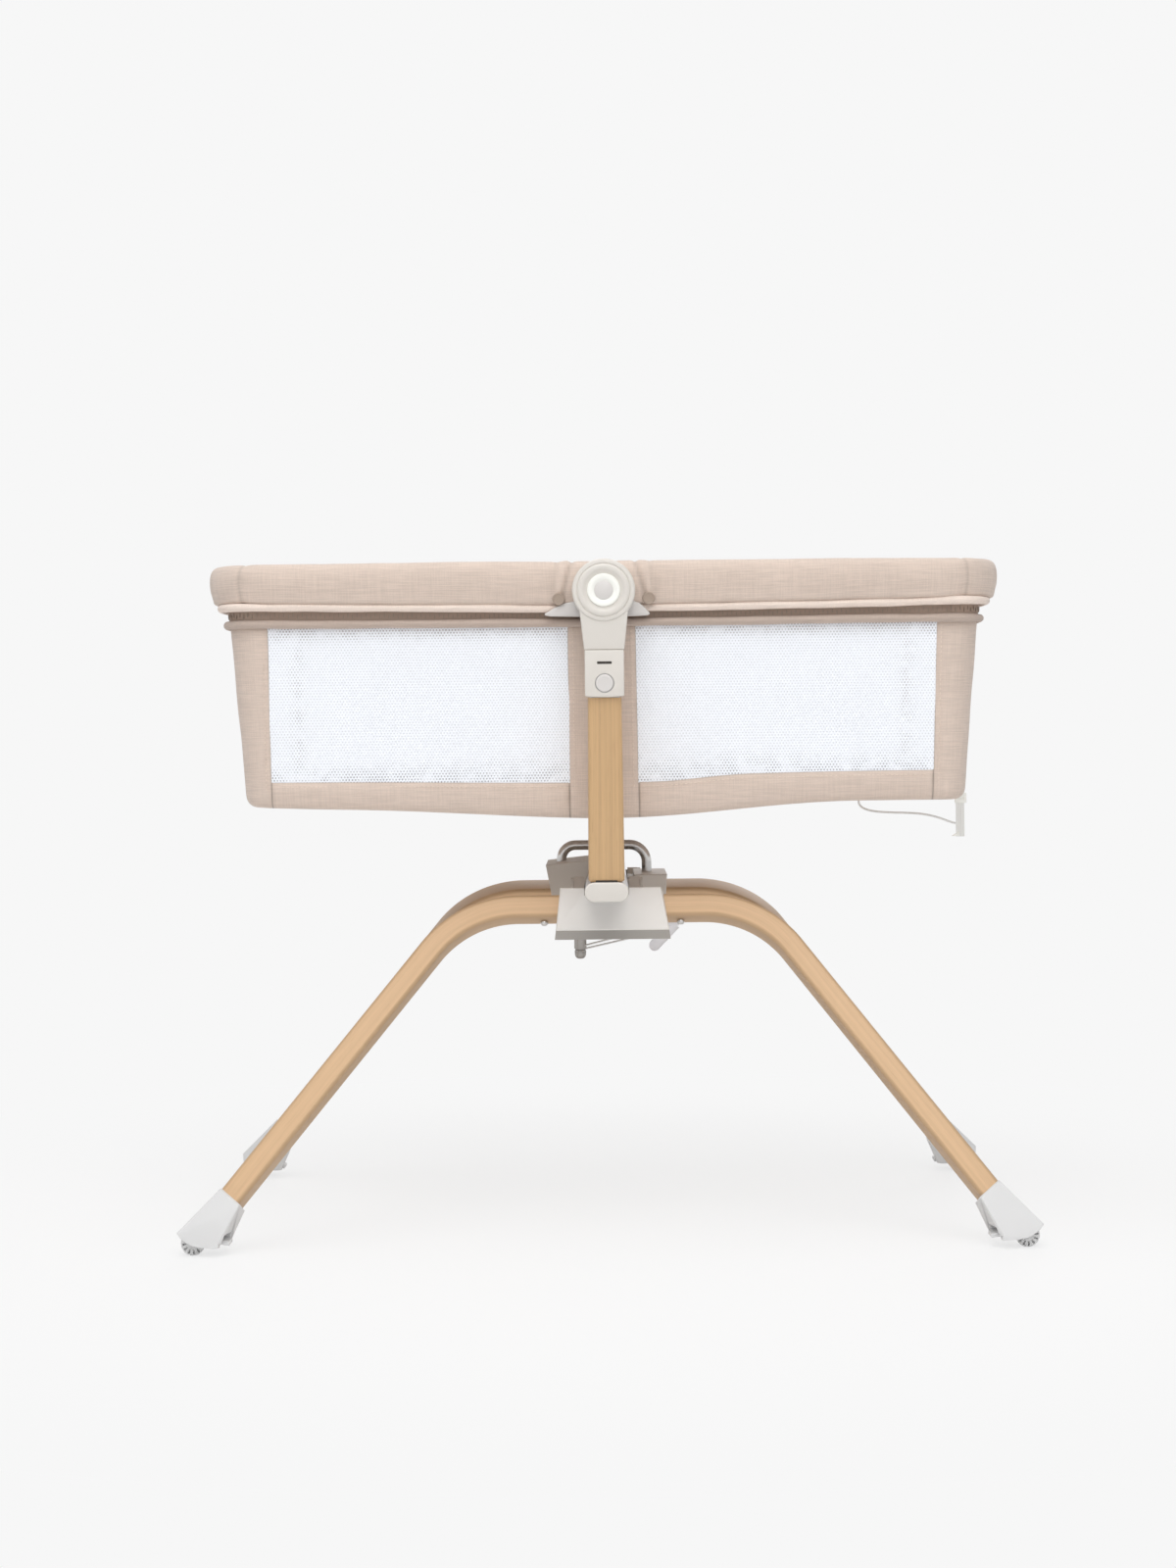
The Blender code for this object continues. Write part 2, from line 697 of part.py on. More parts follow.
def cap_ring(bm, loop):
    """Closes a plan outline with strips from its near half to its far half."""
    last = len(loop) - 1
    for i in range(last // 2):
        bm.faces.new((loop[i], loop[i + 1], loop[last - i - 1], loop[last - i]))


def stacked(name, levels, look, **kwargs):
    """A solid from plan rings, each a list of points, capped top and bottom with strips."""
    bm = bmesh.new()
    loops = rings_to_mesh(bm, levels, closed_ends=False)
    cap_ring(bm, loops[0])
    cap_ring(bm, loops[-1])
    return finish_mesh(name, bm, look, **kwargs)


def shell_ring(z, grow, over_foot=None):
    """A plan ring on the shell's wall, at z, or that far over the sagging underside."""
    level = z if over_foot is None else SHELL_FOOT_Z + over_foot
    half_x, half_y = wall_half_x(level) + grow, wall_half_y(level) + grow
    points = plan_ring(half_x, half_y, BASKET_CORNER + grow)
    if over_foot is None:
        return [Vector((x, y, z)) for x, y in points]
    return [Vector((x, y, shell_foot_z(x) + over_foot)) for x, y in points]


def basket_shell():
    """Fabric walls and floor in one, with the hem, the zip gap and the lower hem under the sleeve."""
    hem_foot = SHELL_TOP_Z - HEM_HEIGHT
    foot = SHELL_FOOT_Z
    levels = [
        shell_ring(foot, -(BASKET_WALL + BASKET_EDGE_ROUND), BASKET_FLOOR),
        shell_ring(foot, -BASKET_WALL, BASKET_EDGE_ROUND),
        shell_ring(SHELL_TOP_Z, -BASKET_WALL),
        shell_ring(SHELL_TOP_Z, HEM_PROUD),
        shell_ring(hem_foot, HEM_PROUD),
        shell_ring(hem_foot, 0),
        shell_ring(LOWER_HEM_TOP_Z, 0),
        shell_ring(LOWER_HEM_TOP_Z, LOWER_HEM_PROUD),
        shell_ring(LOWER_HEM_FOOT_Z, LOWER_HEM_PROUD),
        shell_ring(LOWER_HEM_FOOT_Z, 0),
        shell_ring(foot, 0, BASKET_EDGE_ROUND),
        shell_ring(foot, -BASKET_EDGE_ROUND / 3, BASKET_EDGE_ROUND / 3),
        shell_ring(foot, -BASKET_EDGE_ROUND, 0),
    ]
    made = stacked("basket_shell", levels, fabric(), smooth=True)
    for side_name, side in SIDES.items():
        for end_name, end in ENDS.items():
            outline = window_outline(end, 0)
            inner = side * (wall_half_y(SHELL_FOOT_Z) - CUT_OVERRUN)
            outer = side * (wall_half_y(LOWER_HEM_FOOT_Z) + CUT_OVERRUN)
            opening = prism(
                f"cut_window_{side_name}_{end_name}", outline, inner, outer, along_y, None,
            )
            cut(made, opening)


def window_outline(end, shrink):
    """A window's corners in X and Z; shrink pulls every edge in."""
    top = LOWER_HEM_FOOT_Z - GAP - shrink
    foot = SHELL_FOOT_Z + WINDOW_FOOT_RISE + shrink
    return [
        (end * (WINDOW_INNER_TOP_X + shrink), top),
        (end * (WINDOW_OUTER_TOP_X - shrink), top),
        (end * (WINDOW_OUTER_FOOT_X - shrink), foot),
        (end * (WINDOW_INNER_FOOT_X + shrink), foot),
    ]


def windows():
    """Net panels that fill the openings, at the middle of the wall's thickness."""
    set_in = (BASKET_WALL - WINDOW_THICKNESS) / 2
    for side_name, side in SIDES.items():
        for end_name, end in ENDS.items():
            outline = window_outline(end, GAP)
            rings = [
                [Vector((x, side * (wall_half_y(z) - depth), z)) for x, z in outline]
                for depth in (set_in, set_in + WINDOW_THICKNESS)
            ]
            loft(f"window_{side_name}_{end_name}", rings, net())


def board_top_z():
    return SHELL_FOOT_Z + BASKET_FLOOR + GAP + BOARD_THICKNESS


def base_board():
    half_x = BASKET_FOOT_LENGTH / 2 - BASKET_WALL - BOARD_MARGIN
    half_y = BASKET_FOOT_WIDTH / 2 - BASKET_WALL - BOARD_MARGIN
    ring = plan_ring(half_x, half_y, BOARD_CORNER, side_steps=1)
    levels = [
        [Vector((x, y, z)) for x, y in ring]
        for z in (board_top_z() - BOARD_THICKNESS, board_top_z())
    ]
    stacked("base_board", levels, board())


def mattress():
    """A foam pad: crowned top, sides drawn in between the corners, welt line at mid height."""
    half_x = BASKET_FOOT_LENGTH / 2 - BASKET_WALL - MATTRESS_MARGIN
    half_y = BASKET_FOOT_WIDTH / 2 - BASKET_WALL - MATTRESS_MARGIN
    foot = board_top_z() + GAP
    inset_and_rise_shares = [
        (1.0, 0.00), (0.35, 0.10), (0.0, 0.32), (0.12, 0.50), (0.0, 0.68), (0.35, 0.90), (1.2, 1.00),
    ]
    levels = []
    for inset, rise in inset_and_rise_shares:
        levels.append(mattress_ring(half_x, half_y, inset * MATTRESS_EDGE, foot + rise * MATTRESS_THICKNESS))
    for shrink_share, crown_share in ((0.80, 0.60), (0.45, 0.95)):
        outline = mattress_ring(half_x * shrink_share, half_y * shrink_share, MATTRESS_EDGE, 0)
        top = foot + MATTRESS_THICKNESS + crown_share * MATTRESS_CROWN
        levels.append([Vector((p.x, p.y, top)) for p in outline])
    stacked("mattress", levels, mattress_cloth(), smooth=True)


def mattress_ring(half_x, half_y, inset, z):
    points = []
    for x, y in plan_ring(half_x - inset, half_y - inset, BASKET_CORNER):
        pull_x = MATTRESS_DRAW_IN * math.cos(math.pi / 2 * min(1, abs(y) / half_y))
        pull_y = MATTRESS_DRAW_IN * math.cos(math.pi / 2 * min(1, abs(x) / half_x))
        reach_x = abs(x) / half_x
        reach_y = abs(y) / half_y
        points.append(Vector((
            x - math.copysign(pull_x * reach_x ** 4, x),
            y - math.copysign(pull_y * reach_y ** 4, y),
            z,
        )))
    return points


def tether():
    """A webbing strap on the right end wall, its buckle, and the thin cord that runs to it."""
    top = SHELL_FOOT_Z + STRAP_TOP_RISE
    inner_x = wall_half_x(top) + GAP
    half_y = STRAP_THICKNESS / 2
    block(
        "tether_strap",
        (inner_x, STRAP_Y - half_y, top - STRAP_LENGTH),
        (inner_x + STRAP_WIDTH, STRAP_Y + half_y, top),
        white_webbing(),
    )
    middle_x = inner_x + STRAP_WIDTH / 2
    buckle_z = top - BUCKLE_DROP
    buckle = block(
        "tether_buckle",
        (inner_x - GAP - BUCKLE_BAR, STRAP_Y - BUCKLE_THICKNESS / 2, buckle_z - BUCKLE_HEIGHT / 2),
        (middle_x + BUCKLE_WIDTH / 2, STRAP_Y + BUCKLE_THICKNESS / 2, buckle_z + BUCKLE_HEIGHT / 2),
        white_webbing(),
    )
    passage = block(
        "cut_buckle",
        (inner_x - GAP, STRAP_Y - half_y - GAP, buckle_z - BUCKLE_HEIGHT),
        (inner_x + STRAP_WIDTH + GAP, STRAP_Y + half_y + GAP, buckle_z + BUCKLE_HEIGHT),
        None,
    )
    cut(buckle, passage)
    route = smooth_route([Vector(point) for point in CORD_ROUTE], CORD_STEP)
    tube("tether_cord", route, CORD_RADIUS, white_webbing())


# Pivots, heads and posts

def neck_outline():
    """Disc and tapering neck in one outline, in X and height."""
    half_top = NECK_TOP_WIDTH / 2
    half_foot = NECK_FOOT_WIDTH / 2
    meet = math.asin(half_top / DISC_RADIUS)
    points = [(-half_foot, NECK_FOOT_Z), (half_foot, NECK_FOOT_Z)]
    sweep = 2 * math.pi - 2 * meet
    for i in range(ROUND_SIDES + 1):
        angle = -math.pi / 2 + meet + sweep * i / ROUND_SIDES
        points.append((DISC_RADIUS * math.cos(angle), PIVOT_Z + DISC_RADIUS * math.sin(angle)))
    return points


def necks():
    for name, side in SIDES.items():
        low, high = sorted((side * HEAD_FACE_Y, side * HEAD_BACK_Y))
        made = prism(f"pivot_neck_{name}", neck_outline(), low, high, along_y, grey_plastic(), smooth=True)
        bore = rod(
            f"cut_pivot_bore_{name}", PIVOT_PIN_RADIUS + GAP,
            side * (HEAD_BACK_Y - CUT_OVERRUN), side * (HEAD_FACE_Y + CUT_OVERRUN), "y",
            (0, 0, PIVOT_Z), BORE_SIDES, None,
        )
        recess = rod(
            f"cut_cap_recess_{name}", PIVOT_CAP_RADIUS + GAP,
            side * (HEAD_FACE_Y - CAP_RECESS), side * (HEAD_FACE_Y + CUT_OVERRUN), "y",
            (0, 0, PIVOT_Z), ROUND_SIDES, None,
        )
        cut(made, bore)
        cut(made, recess)


def pivot_caps():
    """Round face plates with a stepped ring, set into the discs."""
    for name, side in SIDES.items():
        back = side * (HEAD_FACE_Y - CAP_RECESS + GAP)
        face = side * (HEAD_FACE_Y - CAP_RECESS + GAP + PIVOT_CAP_THICKNESS / 2)
        centre_face = side * (HEAD_FACE_Y + GAP)
        edge_share, ring_share = 0.94, 0.67
        profile = [
            (PIVOT_CAP_RADIUS, back),
            (PIVOT_CAP_RADIUS, face),
            (PIVOT_CAP_RADIUS * edge_share, side * HEAD_FACE_Y + (face - back)),
            (PIVOT_CAP_RADIUS * ring_share, side * HEAD_FACE_Y + (face - back)),
            (PIVOT_CAP_RADIUS * ring_share, centre_face),
        ]
        turned(f"pivot_cap_{name}", profile, "y", (0, 0, PIVOT_Z), ROUND_SIDES, grey_plastic())


def heads():
    """Plastic heads on the sliding tubes, with a slot and a bore for the height button."""
    half_cavity_x = inner_tube_width() / 2 + GAP
    half_cavity_y = inner_tube_depth() / 2 + GAP
    for name, side in SIDES.items():
        low, high = sorted((side * HEAD_FACE_Y, side * HEAD_BACK_Y))
        half = HEAD_WIDTH / 2
        outline = [
            (-half, HEAD_TOP_Z), (-half, HEAD_FOOT_Z + HEAD_BULGE), (-half / 2, HEAD_FOOT_Z),
            (half / 2, HEAD_FOOT_Z), (half, HEAD_FOOT_Z + HEAD_BULGE), (half, HEAD_TOP_Z),
        ]
        made = prism(f"height_head_{name}", outline, low, high, along_y, grey_plastic())
        cavity = block(
            f"cut_head_cavity_{name}",
            (-half_cavity_x, side * POST_Y - half_cavity_y, HEAD_FOOT_Z - CUT_OVERRUN),
            (half_cavity_x, side * POST_Y + half_cavity_y, HEAD_TOP_Z - HEAD_ROOF),
            None,
        )
        button_bore = rod(
            f"cut_button_bore_{name}", BUTTON_RADIUS + GAP,
            side * (HEAD_FACE_Y + CUT_OVERRUN),
            side * (HEAD_FACE_Y - BUTTON_THICKNESS - BUTTON_TRAVEL - GAP), "y",
            (0, 0, HEAD_FOOT_Z + BUTTON_RISE), BORE_SIDES, None,
        )
        slot_low, slot_high = sorted((side * (HEAD_FACE_Y - SLOT_DEPTH), side * (HEAD_FACE_Y + CUT_OVERRUN)))
        slot_z = HEAD_FOOT_Z + SLOT_RISE
        slot = block(
            f"cut_slot_{name}",
            (-SLOT_WIDTH / 2, slot_low, slot_z - SLOT_HEIGHT / 2),
            (SLOT_WIDTH / 2, slot_high, slot_z + SLOT_HEIGHT / 2),
            None,
        )
        for cutter in (cavity, button_bore, slot):
            cut(made, cutter)


def height_buttons():
    for name, side in SIDES.items():
        face = side * (HEAD_FACE_Y + BUTTON_PROUD)
        back = side * (HEAD_FACE_Y - BUTTON_THICKNESS)
        centre = (0, side * HEAD_FACE_Y, HEAD_FOOT_Z + BUTTON_RISE)
        rounding = BUTTON_PROUD
        profile = [
            (BUTTON_RADIUS, back - centre[1]),
            (BUTTON_RADIUS, 0),
            (BUTTON_RADIUS - rounding, face - centre[1]),
        ]
        turned(f"height_button_{name}", profile, "y", centre, BORE_SIDES, grey_plastic(), origin=centre)


def inner_tube_width():
    return POST_TOP_WIDTH - 2 * POST_WALL - 2 * GAP


def inner_tube_depth():
    return POST_DEPTH - 2 * POST_WALL - 2 * GAP


def box_ring(width, depth, corner, centre_y, z):
    return [Vector((x, centre_y + y, z)) for x, y in rounded_box_outline(width, depth, corner, 2)]


def posts():
    """Outer sleeves of the posts, a little wider at the foot, and the tubes that slide in them."""
    for name, side in SIDES.items():
        centre_y = side * POST_Y
        outer = [
            box_ring(POST_FOOT_WIDTH, POST_DEPTH, POST_CORNER, centre_y, POST_FOOT_Z),
            box_ring(POST_TOP_WIDTH, POST_DEPTH, POST_CORNER, centre_y, POST_TOP_Z),
        ]
        bore_width, bore_depth = inner_tube_width() + 2 * GAP, inner_tube_depth() + 2 * GAP
        bore_corner = POST_CORNER - POST_WALL
        inner = [box_ring(bore_width, bore_depth, bore_corner, centre_y, z) for z in (POST_FOOT_Z, POST_TOP_Z)]
        hollow_loft(f"post_{name}", outer, inner, ash_wood(), smooth=True)
        heights = (POST_FOOT_Z + TUBE_FOOT_RISE, HEAD_TOP_Z - HEAD_ROOF - GAP)
        tube_corner = bore_corner - GAP
        skin = [box_ring(inner_tube_width(), inner_tube_depth(), tube_corner, centre_y, z) for z in heights]
        hole_width, hole_depth = inner_tube_width() - 2 * TUBE_WALL, inner_tube_depth() - 2 * TUBE_WALL
        hole = [box_ring(hole_width, hole_depth, tube_corner / 2, centre_y, z) for z in heights]
        hollow_loft(f"sliding_tube_{name}", skin, hole, aluminium(), smooth=True)


# Crossbar, hub and fold handle

def stadium(width, height, steps):
    """A bar's outline with half-round ends, in X and Z about the middle."""
    radius = height / 2
    reach = width / 2 - radius
    points = []
    for end in (1, -1):
        for i in range(steps + 1):
            angle = -math.pi / 2 * end + math.pi * i / steps
            points.append((end * reach + radius * math.cos(angle), radius * math.sin(angle)))
    return points


def crossbar():
    outline = [(x, CROSSBAR_Z + z) for x, z in stadium(CROSSBAR_WIDTH, CROSSBAR_HEIGHT, 8)]
    made = prism("crossbar", outline, -CROSSBAR_END_Y, CROSSBAR_END_Y, along_y, aluminium(), smooth=True)
    for name, side in SIDES.items():
        bore = rod(
            f"cut_pin_bore_{name}", PIN_RADIUS + GAP, -CROSSBAR_WIDTH, CROSSBAR_WIDTH, "x",
            (0, side * PIN_Y, CROSSBAR_Z), SMALL_SIDES + 2, None,
        )
        cut(made, bore)
        rings = []
        dome_foot = END_CAP_THICKNESS - END_CAP_DOME
        for depth, shrink in ((0, 0), (dome_foot, 0), (END_CAP_THICKNESS, END_CAP_DOME)):
            y = side * (CROSSBAR_END_Y + GAP + depth)
            edge = stadium(CROSSBAR_WIDTH - 2 * shrink, CROSSBAR_HEIGHT - 2 * shrink, 8)
            rings.append([Vector((x, y, CROSSBAR_Z + z)) for x, z in edge])
        loft(f"crossbar_cap_{name}", rings, grey_plastic(), smooth=True)


def fold_pins():
    """Pins through the crossbar that the arches fold on, with a head outside each ear."""
    ear_outer = CROSSBAR_WIDTH / 2 + EAR_GAP + EAR_THICKNESS
    for name, side in SIDES.items():
        profile = [
            (PIN_HEAD_RADIUS, -(ear_outer + GAP + PIN_HEAD_LENGTH)),
            (PIN_HEAD_RADIUS, -(ear_outer + GAP)),
            (PIN_RADIUS, -(ear_outer + GAP)),
            (PIN_RADIUS, ear_outer + GAP),
            (PIN_HEAD_RADIUS, ear_outer + GAP),
            (PIN_HEAD_RADIUS, ear_outer + GAP + PIN_HEAD_LENGTH),
        ]
        turned(f"fold_pin_{name}", profile, "x", (0, side * PIN_Y, CROSSBAR_Z), SMALL_SIDES + 2, steel())


def hub():
    """The block under the crossbar and the two covers over it that guide the fold handle."""
    base_outline = [
        (-HUB_BASE_FOOT_HALF, HUB_FOOT_Z), (HUB_BASE_FOOT_HALF, HUB_FOOT_Z),
        (HUB_BASE_HALF, HUB_FLANK_Z), (HUB_BASE_HALF, HUB_SHOULDER_Z),
        (HUB_SADDLE_HALF, HUB_SHOULDER_Z), (HUB_SADDLE_HALF, CROSSBAR_FOOT_Z - GAP),
        (-HUB_SADDLE_HALF, CROSSBAR_FOOT_Z - GAP), (-HUB_SADDLE_HALF, HUB_SHOULDER_Z),
        (-HUB_BASE_HALF, HUB_SHOULDER_Z), (-HUB_BASE_HALF, HUB_FLANK_Z),
    ]
    prism("hub_base", base_outline, -HUB_HALF_Y, HUB_HALF_Y, along_y, shade_plastic())
    cover_foot = HUB_SHOULDER_Z + GAP
    beside_bar = CROSSBAR_WIDTH / 2 + GAP
    beside_saddle = HUB_SADDLE_HALF + GAP
    left_outline = [
        (-LEFT_COVER_OUTER_X, LEFT_COVER_LOW_TOP_Z), (-HUB_BASE_HALF, cover_foot),
        (-beside_saddle, cover_foot), (-beside_saddle, CROSSBAR_Z), (-beside_bar, CROSSBAR_Z),
        (-beside_bar, CROSSBAR_TOP_Z + GAP), (LEFT_COVER_INNER_X, CROSSBAR_TOP_Z + GAP),
        (LEFT_COVER_INNER_X, LEFT_COVER_HIGH_TOP_Z),
    ]
    left = prism("hub_cover_left", left_outline, -HUB_HALF_Y, HUB_HALF_Y, along_y, shade_plastic())
    right_outline = [
        (RIGHT_COVER_INNER_X, cover_foot), (HUB_BASE_HALF, cover_foot),
        (RIGHT_COVER_OUTER_X, RIGHT_COVER_TOP_Z), (RIGHT_COVER_INNER_X, RIGHT_COVER_TOP_Z),
    ]
    right = prism("hub_cover_right", right_outline, -HUB_HALF_Y, HUB_HALF_Y, along_y, shade_plastic())
    for name, cover, x in (("left", left, -HANDLE_LEFT_X), ("right", right, HANDLE_RIGHT_X)):
        guide = rod(
            f"cut_handle_guide_{name}", HANDLE_TUBE_RADIUS + GAP,
            HANDLE_FOOT_Z - GAP, LEFT_COVER_HIGH_TOP_Z + CUT_OVERRUN, "z", (x, 0, 0), SMALL_SIDES + 2, None,
        )
        cut(cover, guide)


def fold_handle():
    """A bent steel tube; its two legs slide in the hub's covers."""
    points = [Vector((-HANDLE_LEFT_X, 0, HANDLE_FOOT_Z))]
    steps = 5
    left_bend_x, right_bend_x = -HANDLE_LEFT_X + HANDLE_BEND, HANDLE_RIGHT_X - HANDLE_BEND
    for middle_x, start in ((left_bend_x, math.pi), (right_bend_x, math.pi / 2)):
        for i in range(steps + 1):
            angle = start - i * math.pi / 2 / steps
            points.append(Vector((
                middle_x + HANDLE_BEND * math.cos(angle), 0,
                HANDLE_TOP_Z - HANDLE_BEND + HANDLE_BEND * math.sin(angle),
            )))
    points.append(Vector((HANDLE_RIGHT_X, 0, HANDLE_FOOT_Z)))
    tube("fold_handle", points, HANDLE_TUBE_RADIUS, steel(), resolution=2)


def underside():
    """What hangs under the hub: the lock bolt with its dome nut, the lock wire and the pull tab."""
    top = HUB_FOOT_Z - GAP
    dome_share = 0.6
    profile = [
        (BOLT_RADIUS, top), (BOLT_RADIUS, BOLT_TIP_Z + NUT_HEIGHT),
        (NUT_RADIUS, BOLT_TIP_Z + NUT_HEIGHT), (NUT_RADIUS, BOLT_TIP_Z + NUT_DOME),
        (NUT_RADIUS * dome_share, BOLT_TIP_Z),
    ]
    turned("lock_bolt", profile, "z", (-BOLT_X, 0, 0), SMALL_SIDES + 2, steel())
    near_bolt = -BOLT_X + BOLT_RADIUS + GAP + WIRE_RADIUS
    upper = HUB_FOOT_Z - WIRE_DROP
    lower = upper - WIRE_SLOPE_DROP
    half = WIRE_SPREAD / 2
    wire = [
        Vector((WIRE_START_X, -half, top)),
        Vector((WIRE_START_X, -half, upper + half)),
        Vector((WIRE_START_X - half, -half, upper)),
        Vector((near_bolt + half, -half, lower)),
        Vector((near_bolt, 0, lower)),
        Vector((near_bolt + half, half, lower)),
        Vector((WIRE_START_X - half, half, upper)),
        Vector((WIRE_START_X, half, upper + half)),
        Vector((WIRE_START_X, half, top)),
    ]
    tube("lock_wire", wire, WIRE_RADIUS, steel(), resolution=2)
    thick = TAB_THICKNESS
    tab = [
        (TAB_ROOT_X - thick / 2, top), (TAB_KNEE_X - thick / 2, TAB_KNEE_Z - thick / 2),
        (TAB_KNEE_X + thick / 2, TAB_KNEE_Z - thick / 2), (TAB_TIP_X + thick / 2, TAB_TIP_Z - thick / 2),
        (TAB_TIP_X, TAB_TIP_Z + thick / 2), (TAB_KNEE_X + thick / 2, TAB_KNEE_Z + thick),
        (TAB_ROOT_X + thick / 2, top),
    ]
    prism("pull_tab", tab, -TAB_WIDTH / 2, TAB_WIDTH / 2, along_y, clear_tab())


# Arches, brackets and feet

def arch_point(side, x, s, n):
    """A point in an arch's own plane: x along the crib, s down the plane, n out of its face."""
    return Vector((
        x,
        side * (ARCH_Y + s * TILT_SIN + n * TILT_COS),
        ARCH_Z - s * TILT_COS + n * TILT_SIN,
    ))


def arch_line():
    """Centreline of an arch in its plane, left to right, as (x, s, slope)."""
    end_x = LEG_MOUTH_X + LEG_SOCKET_DEPTH * math.cos(LEG_SLOPE)
    end_s = LEG_MOUTH_S + LEG_SOCKET_DEPTH * math.sin(LEG_SLOPE)
    right = []
    for i in range(BEND_STEPS + 1):
        angle = LEG_SLOPE * i / BEND_STEPS
        right.append((
            ARCH_FLAT_HALF + ARCH_BEND_RADIUS * math.sin(angle),
            ARCH_BEND_RADIUS * (1 - math.cos(angle)),
            angle,
        ))
    right.append((end_x, end_s, LEG_SLOPE))
    return [(-x, s, -slope) for x, s, slope in reversed(right)] + right


def arch_rings(side, line, grow):
    """Rings of the arch's section, grown by a clearance, square to its line."""
    section = rounded_box_outline(
        ARCH_HEIGHT + 2 * grow, ARCH_THICKNESS + 2 * grow, ARCH_ROUND + grow, 2
    )
    return [
        [arch_point(side, x - a * math.sin(slope), s + a * math.cos(slope), n) for a, n in section]
        for x, s, slope in line
    ]


def arches():
    for name, side in SIDES.items():
        loft(f"arch_{name}", arch_rings(side, arch_line(), 0), ash_wood(), smooth=True,
             origin=(0, side * PIN_Y, CROSSBAR_Z))


def saddle_ring(side, n, shrink, foot_s):
    """A bracket's trapezoid at depth n in the arch's frame."""
    top_s = -(ARCH_HEIGHT / 2 + GAP + SADDLE_ROOF)
    slope = (SADDLE_FOOT_HALF - SADDLE_TOP_HALF) / (SADDLE_SKIRT - top_s)
    foot_half = SADDLE_TOP_HALF + (foot_s - top_s) * slope
    return [
        arch_point(side, x, s, n)
        for x, s in (
            (-SADDLE_TOP_HALF + shrink, top_s + shrink), (SADDLE_TOP_HALF - shrink, top_s + shrink),
            (foot_half - shrink, foot_s), (-foot_half + shrink, foot_s),
        )
    ]


def arch_brackets():
    """Saddles over the arches with two ears each, notched for the crossbar."""
    face = ARCH_THICKNESS / 2 + GAP + SADDLE_WALL
    for name, side in SIDES.items():
        pin = (0, side * PIN_Y, CROSSBAR_Z)
        rings = [
            saddle_ring(side, -face, 0, SADDLE_SKIRT),
            saddle_ring(side, face - SADDLE_CHAMFER_DEPTH, 0, SADDLE_SKIRT),
            saddle_ring(side, face - SADDLE_EDGE, 0, SADDLE_SKIRT - SADDLE_CHAMFER_HEIGHT),
            saddle_ring(side, face, SADDLE_EDGE, SADDLE_SKIRT - SADDLE_CHAMFER_HEIGHT - SADDLE_EDGE),
        ]
        made = loft(f"arch_bracket_{name}", rings, grey_plastic(), origin=pin)
        half_inside = ARCH_THICKNESS / 2 + GAP
        channel_top = -(ARCH_HEIGHT / 2 + GAP)
        channel_foot = SADDLE_SKIRT + CUT_OVERRUN
        long_half = SADDLE_FOOT_HALF + CUT_OVERRUN
        channel = loft(
            f"cut_channel_{name}",
            [
                [
                    arch_point(side, x, s, n)
                    for s, n in (
                        (channel_top, -half_inside), (channel_top, half_inside),
                        (channel_foot, half_inside), (channel_foot, -half_inside),
                    )
                ]
                for x in (-long_half, long_half)
            ],
            None,
        )
        notch_half = CROSSBAR_WIDTH / 2 + EAR_GAP
        far_y = ARCH_Y * 2
        notch = block(
            f"cut_notch_{name}",
            (-notch_half, min(0, side * far_y), CROSSBAR_FOOT_Z - GAP),
            (notch_half, max(0, side * far_y), CROSSBAR_TOP_Z + CUT_OVERRUN),
            None,
        )
        for ear_name, end in ENDS.items():
            ear = bracket_ear(name, side, ear_name, end, face)
            cut(made, ear, "UNION")
        cut(made, channel)
        cut(made, notch)
        bore = rod(
            f"cut_ear_bore_{name}", PIN_RADIUS + GAP, -CROSSBAR_WIDTH, CROSSBAR_WIDTH, "x",
            pin, SMALL_SIDES + 2, None,
        )
        cut(made, bore)


def bracket_ear(name, side, ear_name, end, face):
    """A plate from the bracket's back wall to the fold pin, rounded about the pin."""
    root_top = arch_point(side, 0, -(ARCH_HEIGHT / 2 + GAP + SADDLE_ROOF), -face + SADDLE_WALL / 2)
    root_foot = arch_point(side, 0, ARCH_HEIGHT / 4, -face + SADDLE_WALL / 2)
    outline = [(root_foot.y, root_foot.z), (root_top.y, root_top.z)]
    steps = 8
    start = math.pi / 2
    for i in range(steps + 1):
        angle = start - math.pi * i / steps
        outline.append((
            side * (PIN_Y - EAR_RADIUS * math.cos(angle)),
            CROSSBAR_Z + EAR_RADIUS * math.sin(angle),
        ))
    low, high = sorted((
        end * (CROSSBAR_WIDTH / 2 + EAR_GAP), end * (CROSSBAR_WIDTH / 2 + EAR_GAP + EAR_THICKNESS)
    ))
    return prism(f"join_ear_{name}_{ear_name}", outline, low, high, along_x, None)


def foot_outline():
    """A right foot's outline in X and height at the arch's middle plane."""
    view_slope = math.atan(math.tan(LEG_SLOPE) * TILT_COS)
    half = ARCH_HEIGHT / 2 + FOOT_WALL
    out_x, out_z = half * math.sin(view_slope), half * math.cos(view_slope)
    mouth = (LEG_MOUTH_X, LEG_MOUTH_Z)
    tip = (mouth[0] + FOOT_TIP_REACH, mouth[1] - FOOT_TIP_DROP)
    heel = (mouth[0] + FOOT_HEEL_REACH, mouth[1] - FOOT_HEEL_DROP)
    below = -CUT_OVERRUN
    return [
        (mouth[0] + out_x, mouth[1] + out_z),
        tip,
        (tip[0] - FOOT_TOE_SET_BACK, FOOT_FLOOR_GAP),
        (tip[0] - FOOT_TOE_SET_BACK, below),
        (heel[0] + FOOT_TOE_SET_BACK, below),
        (heel[0] + FOOT_TOE_SET_BACK, FOOT_FLOOR_GAP),
        heel,
        (mouth[0] - out_x, mouth[1] - out_z),
    ]


def feet():
    """Feet with a socket for the leg, a pocket for the wheel and a slot for the brake pedal."""
    for side_name, side in SIDES.items():
        for end_name, end in ENDS.items():
            make_foot(f"{side_name}_{end_name}", side, end)


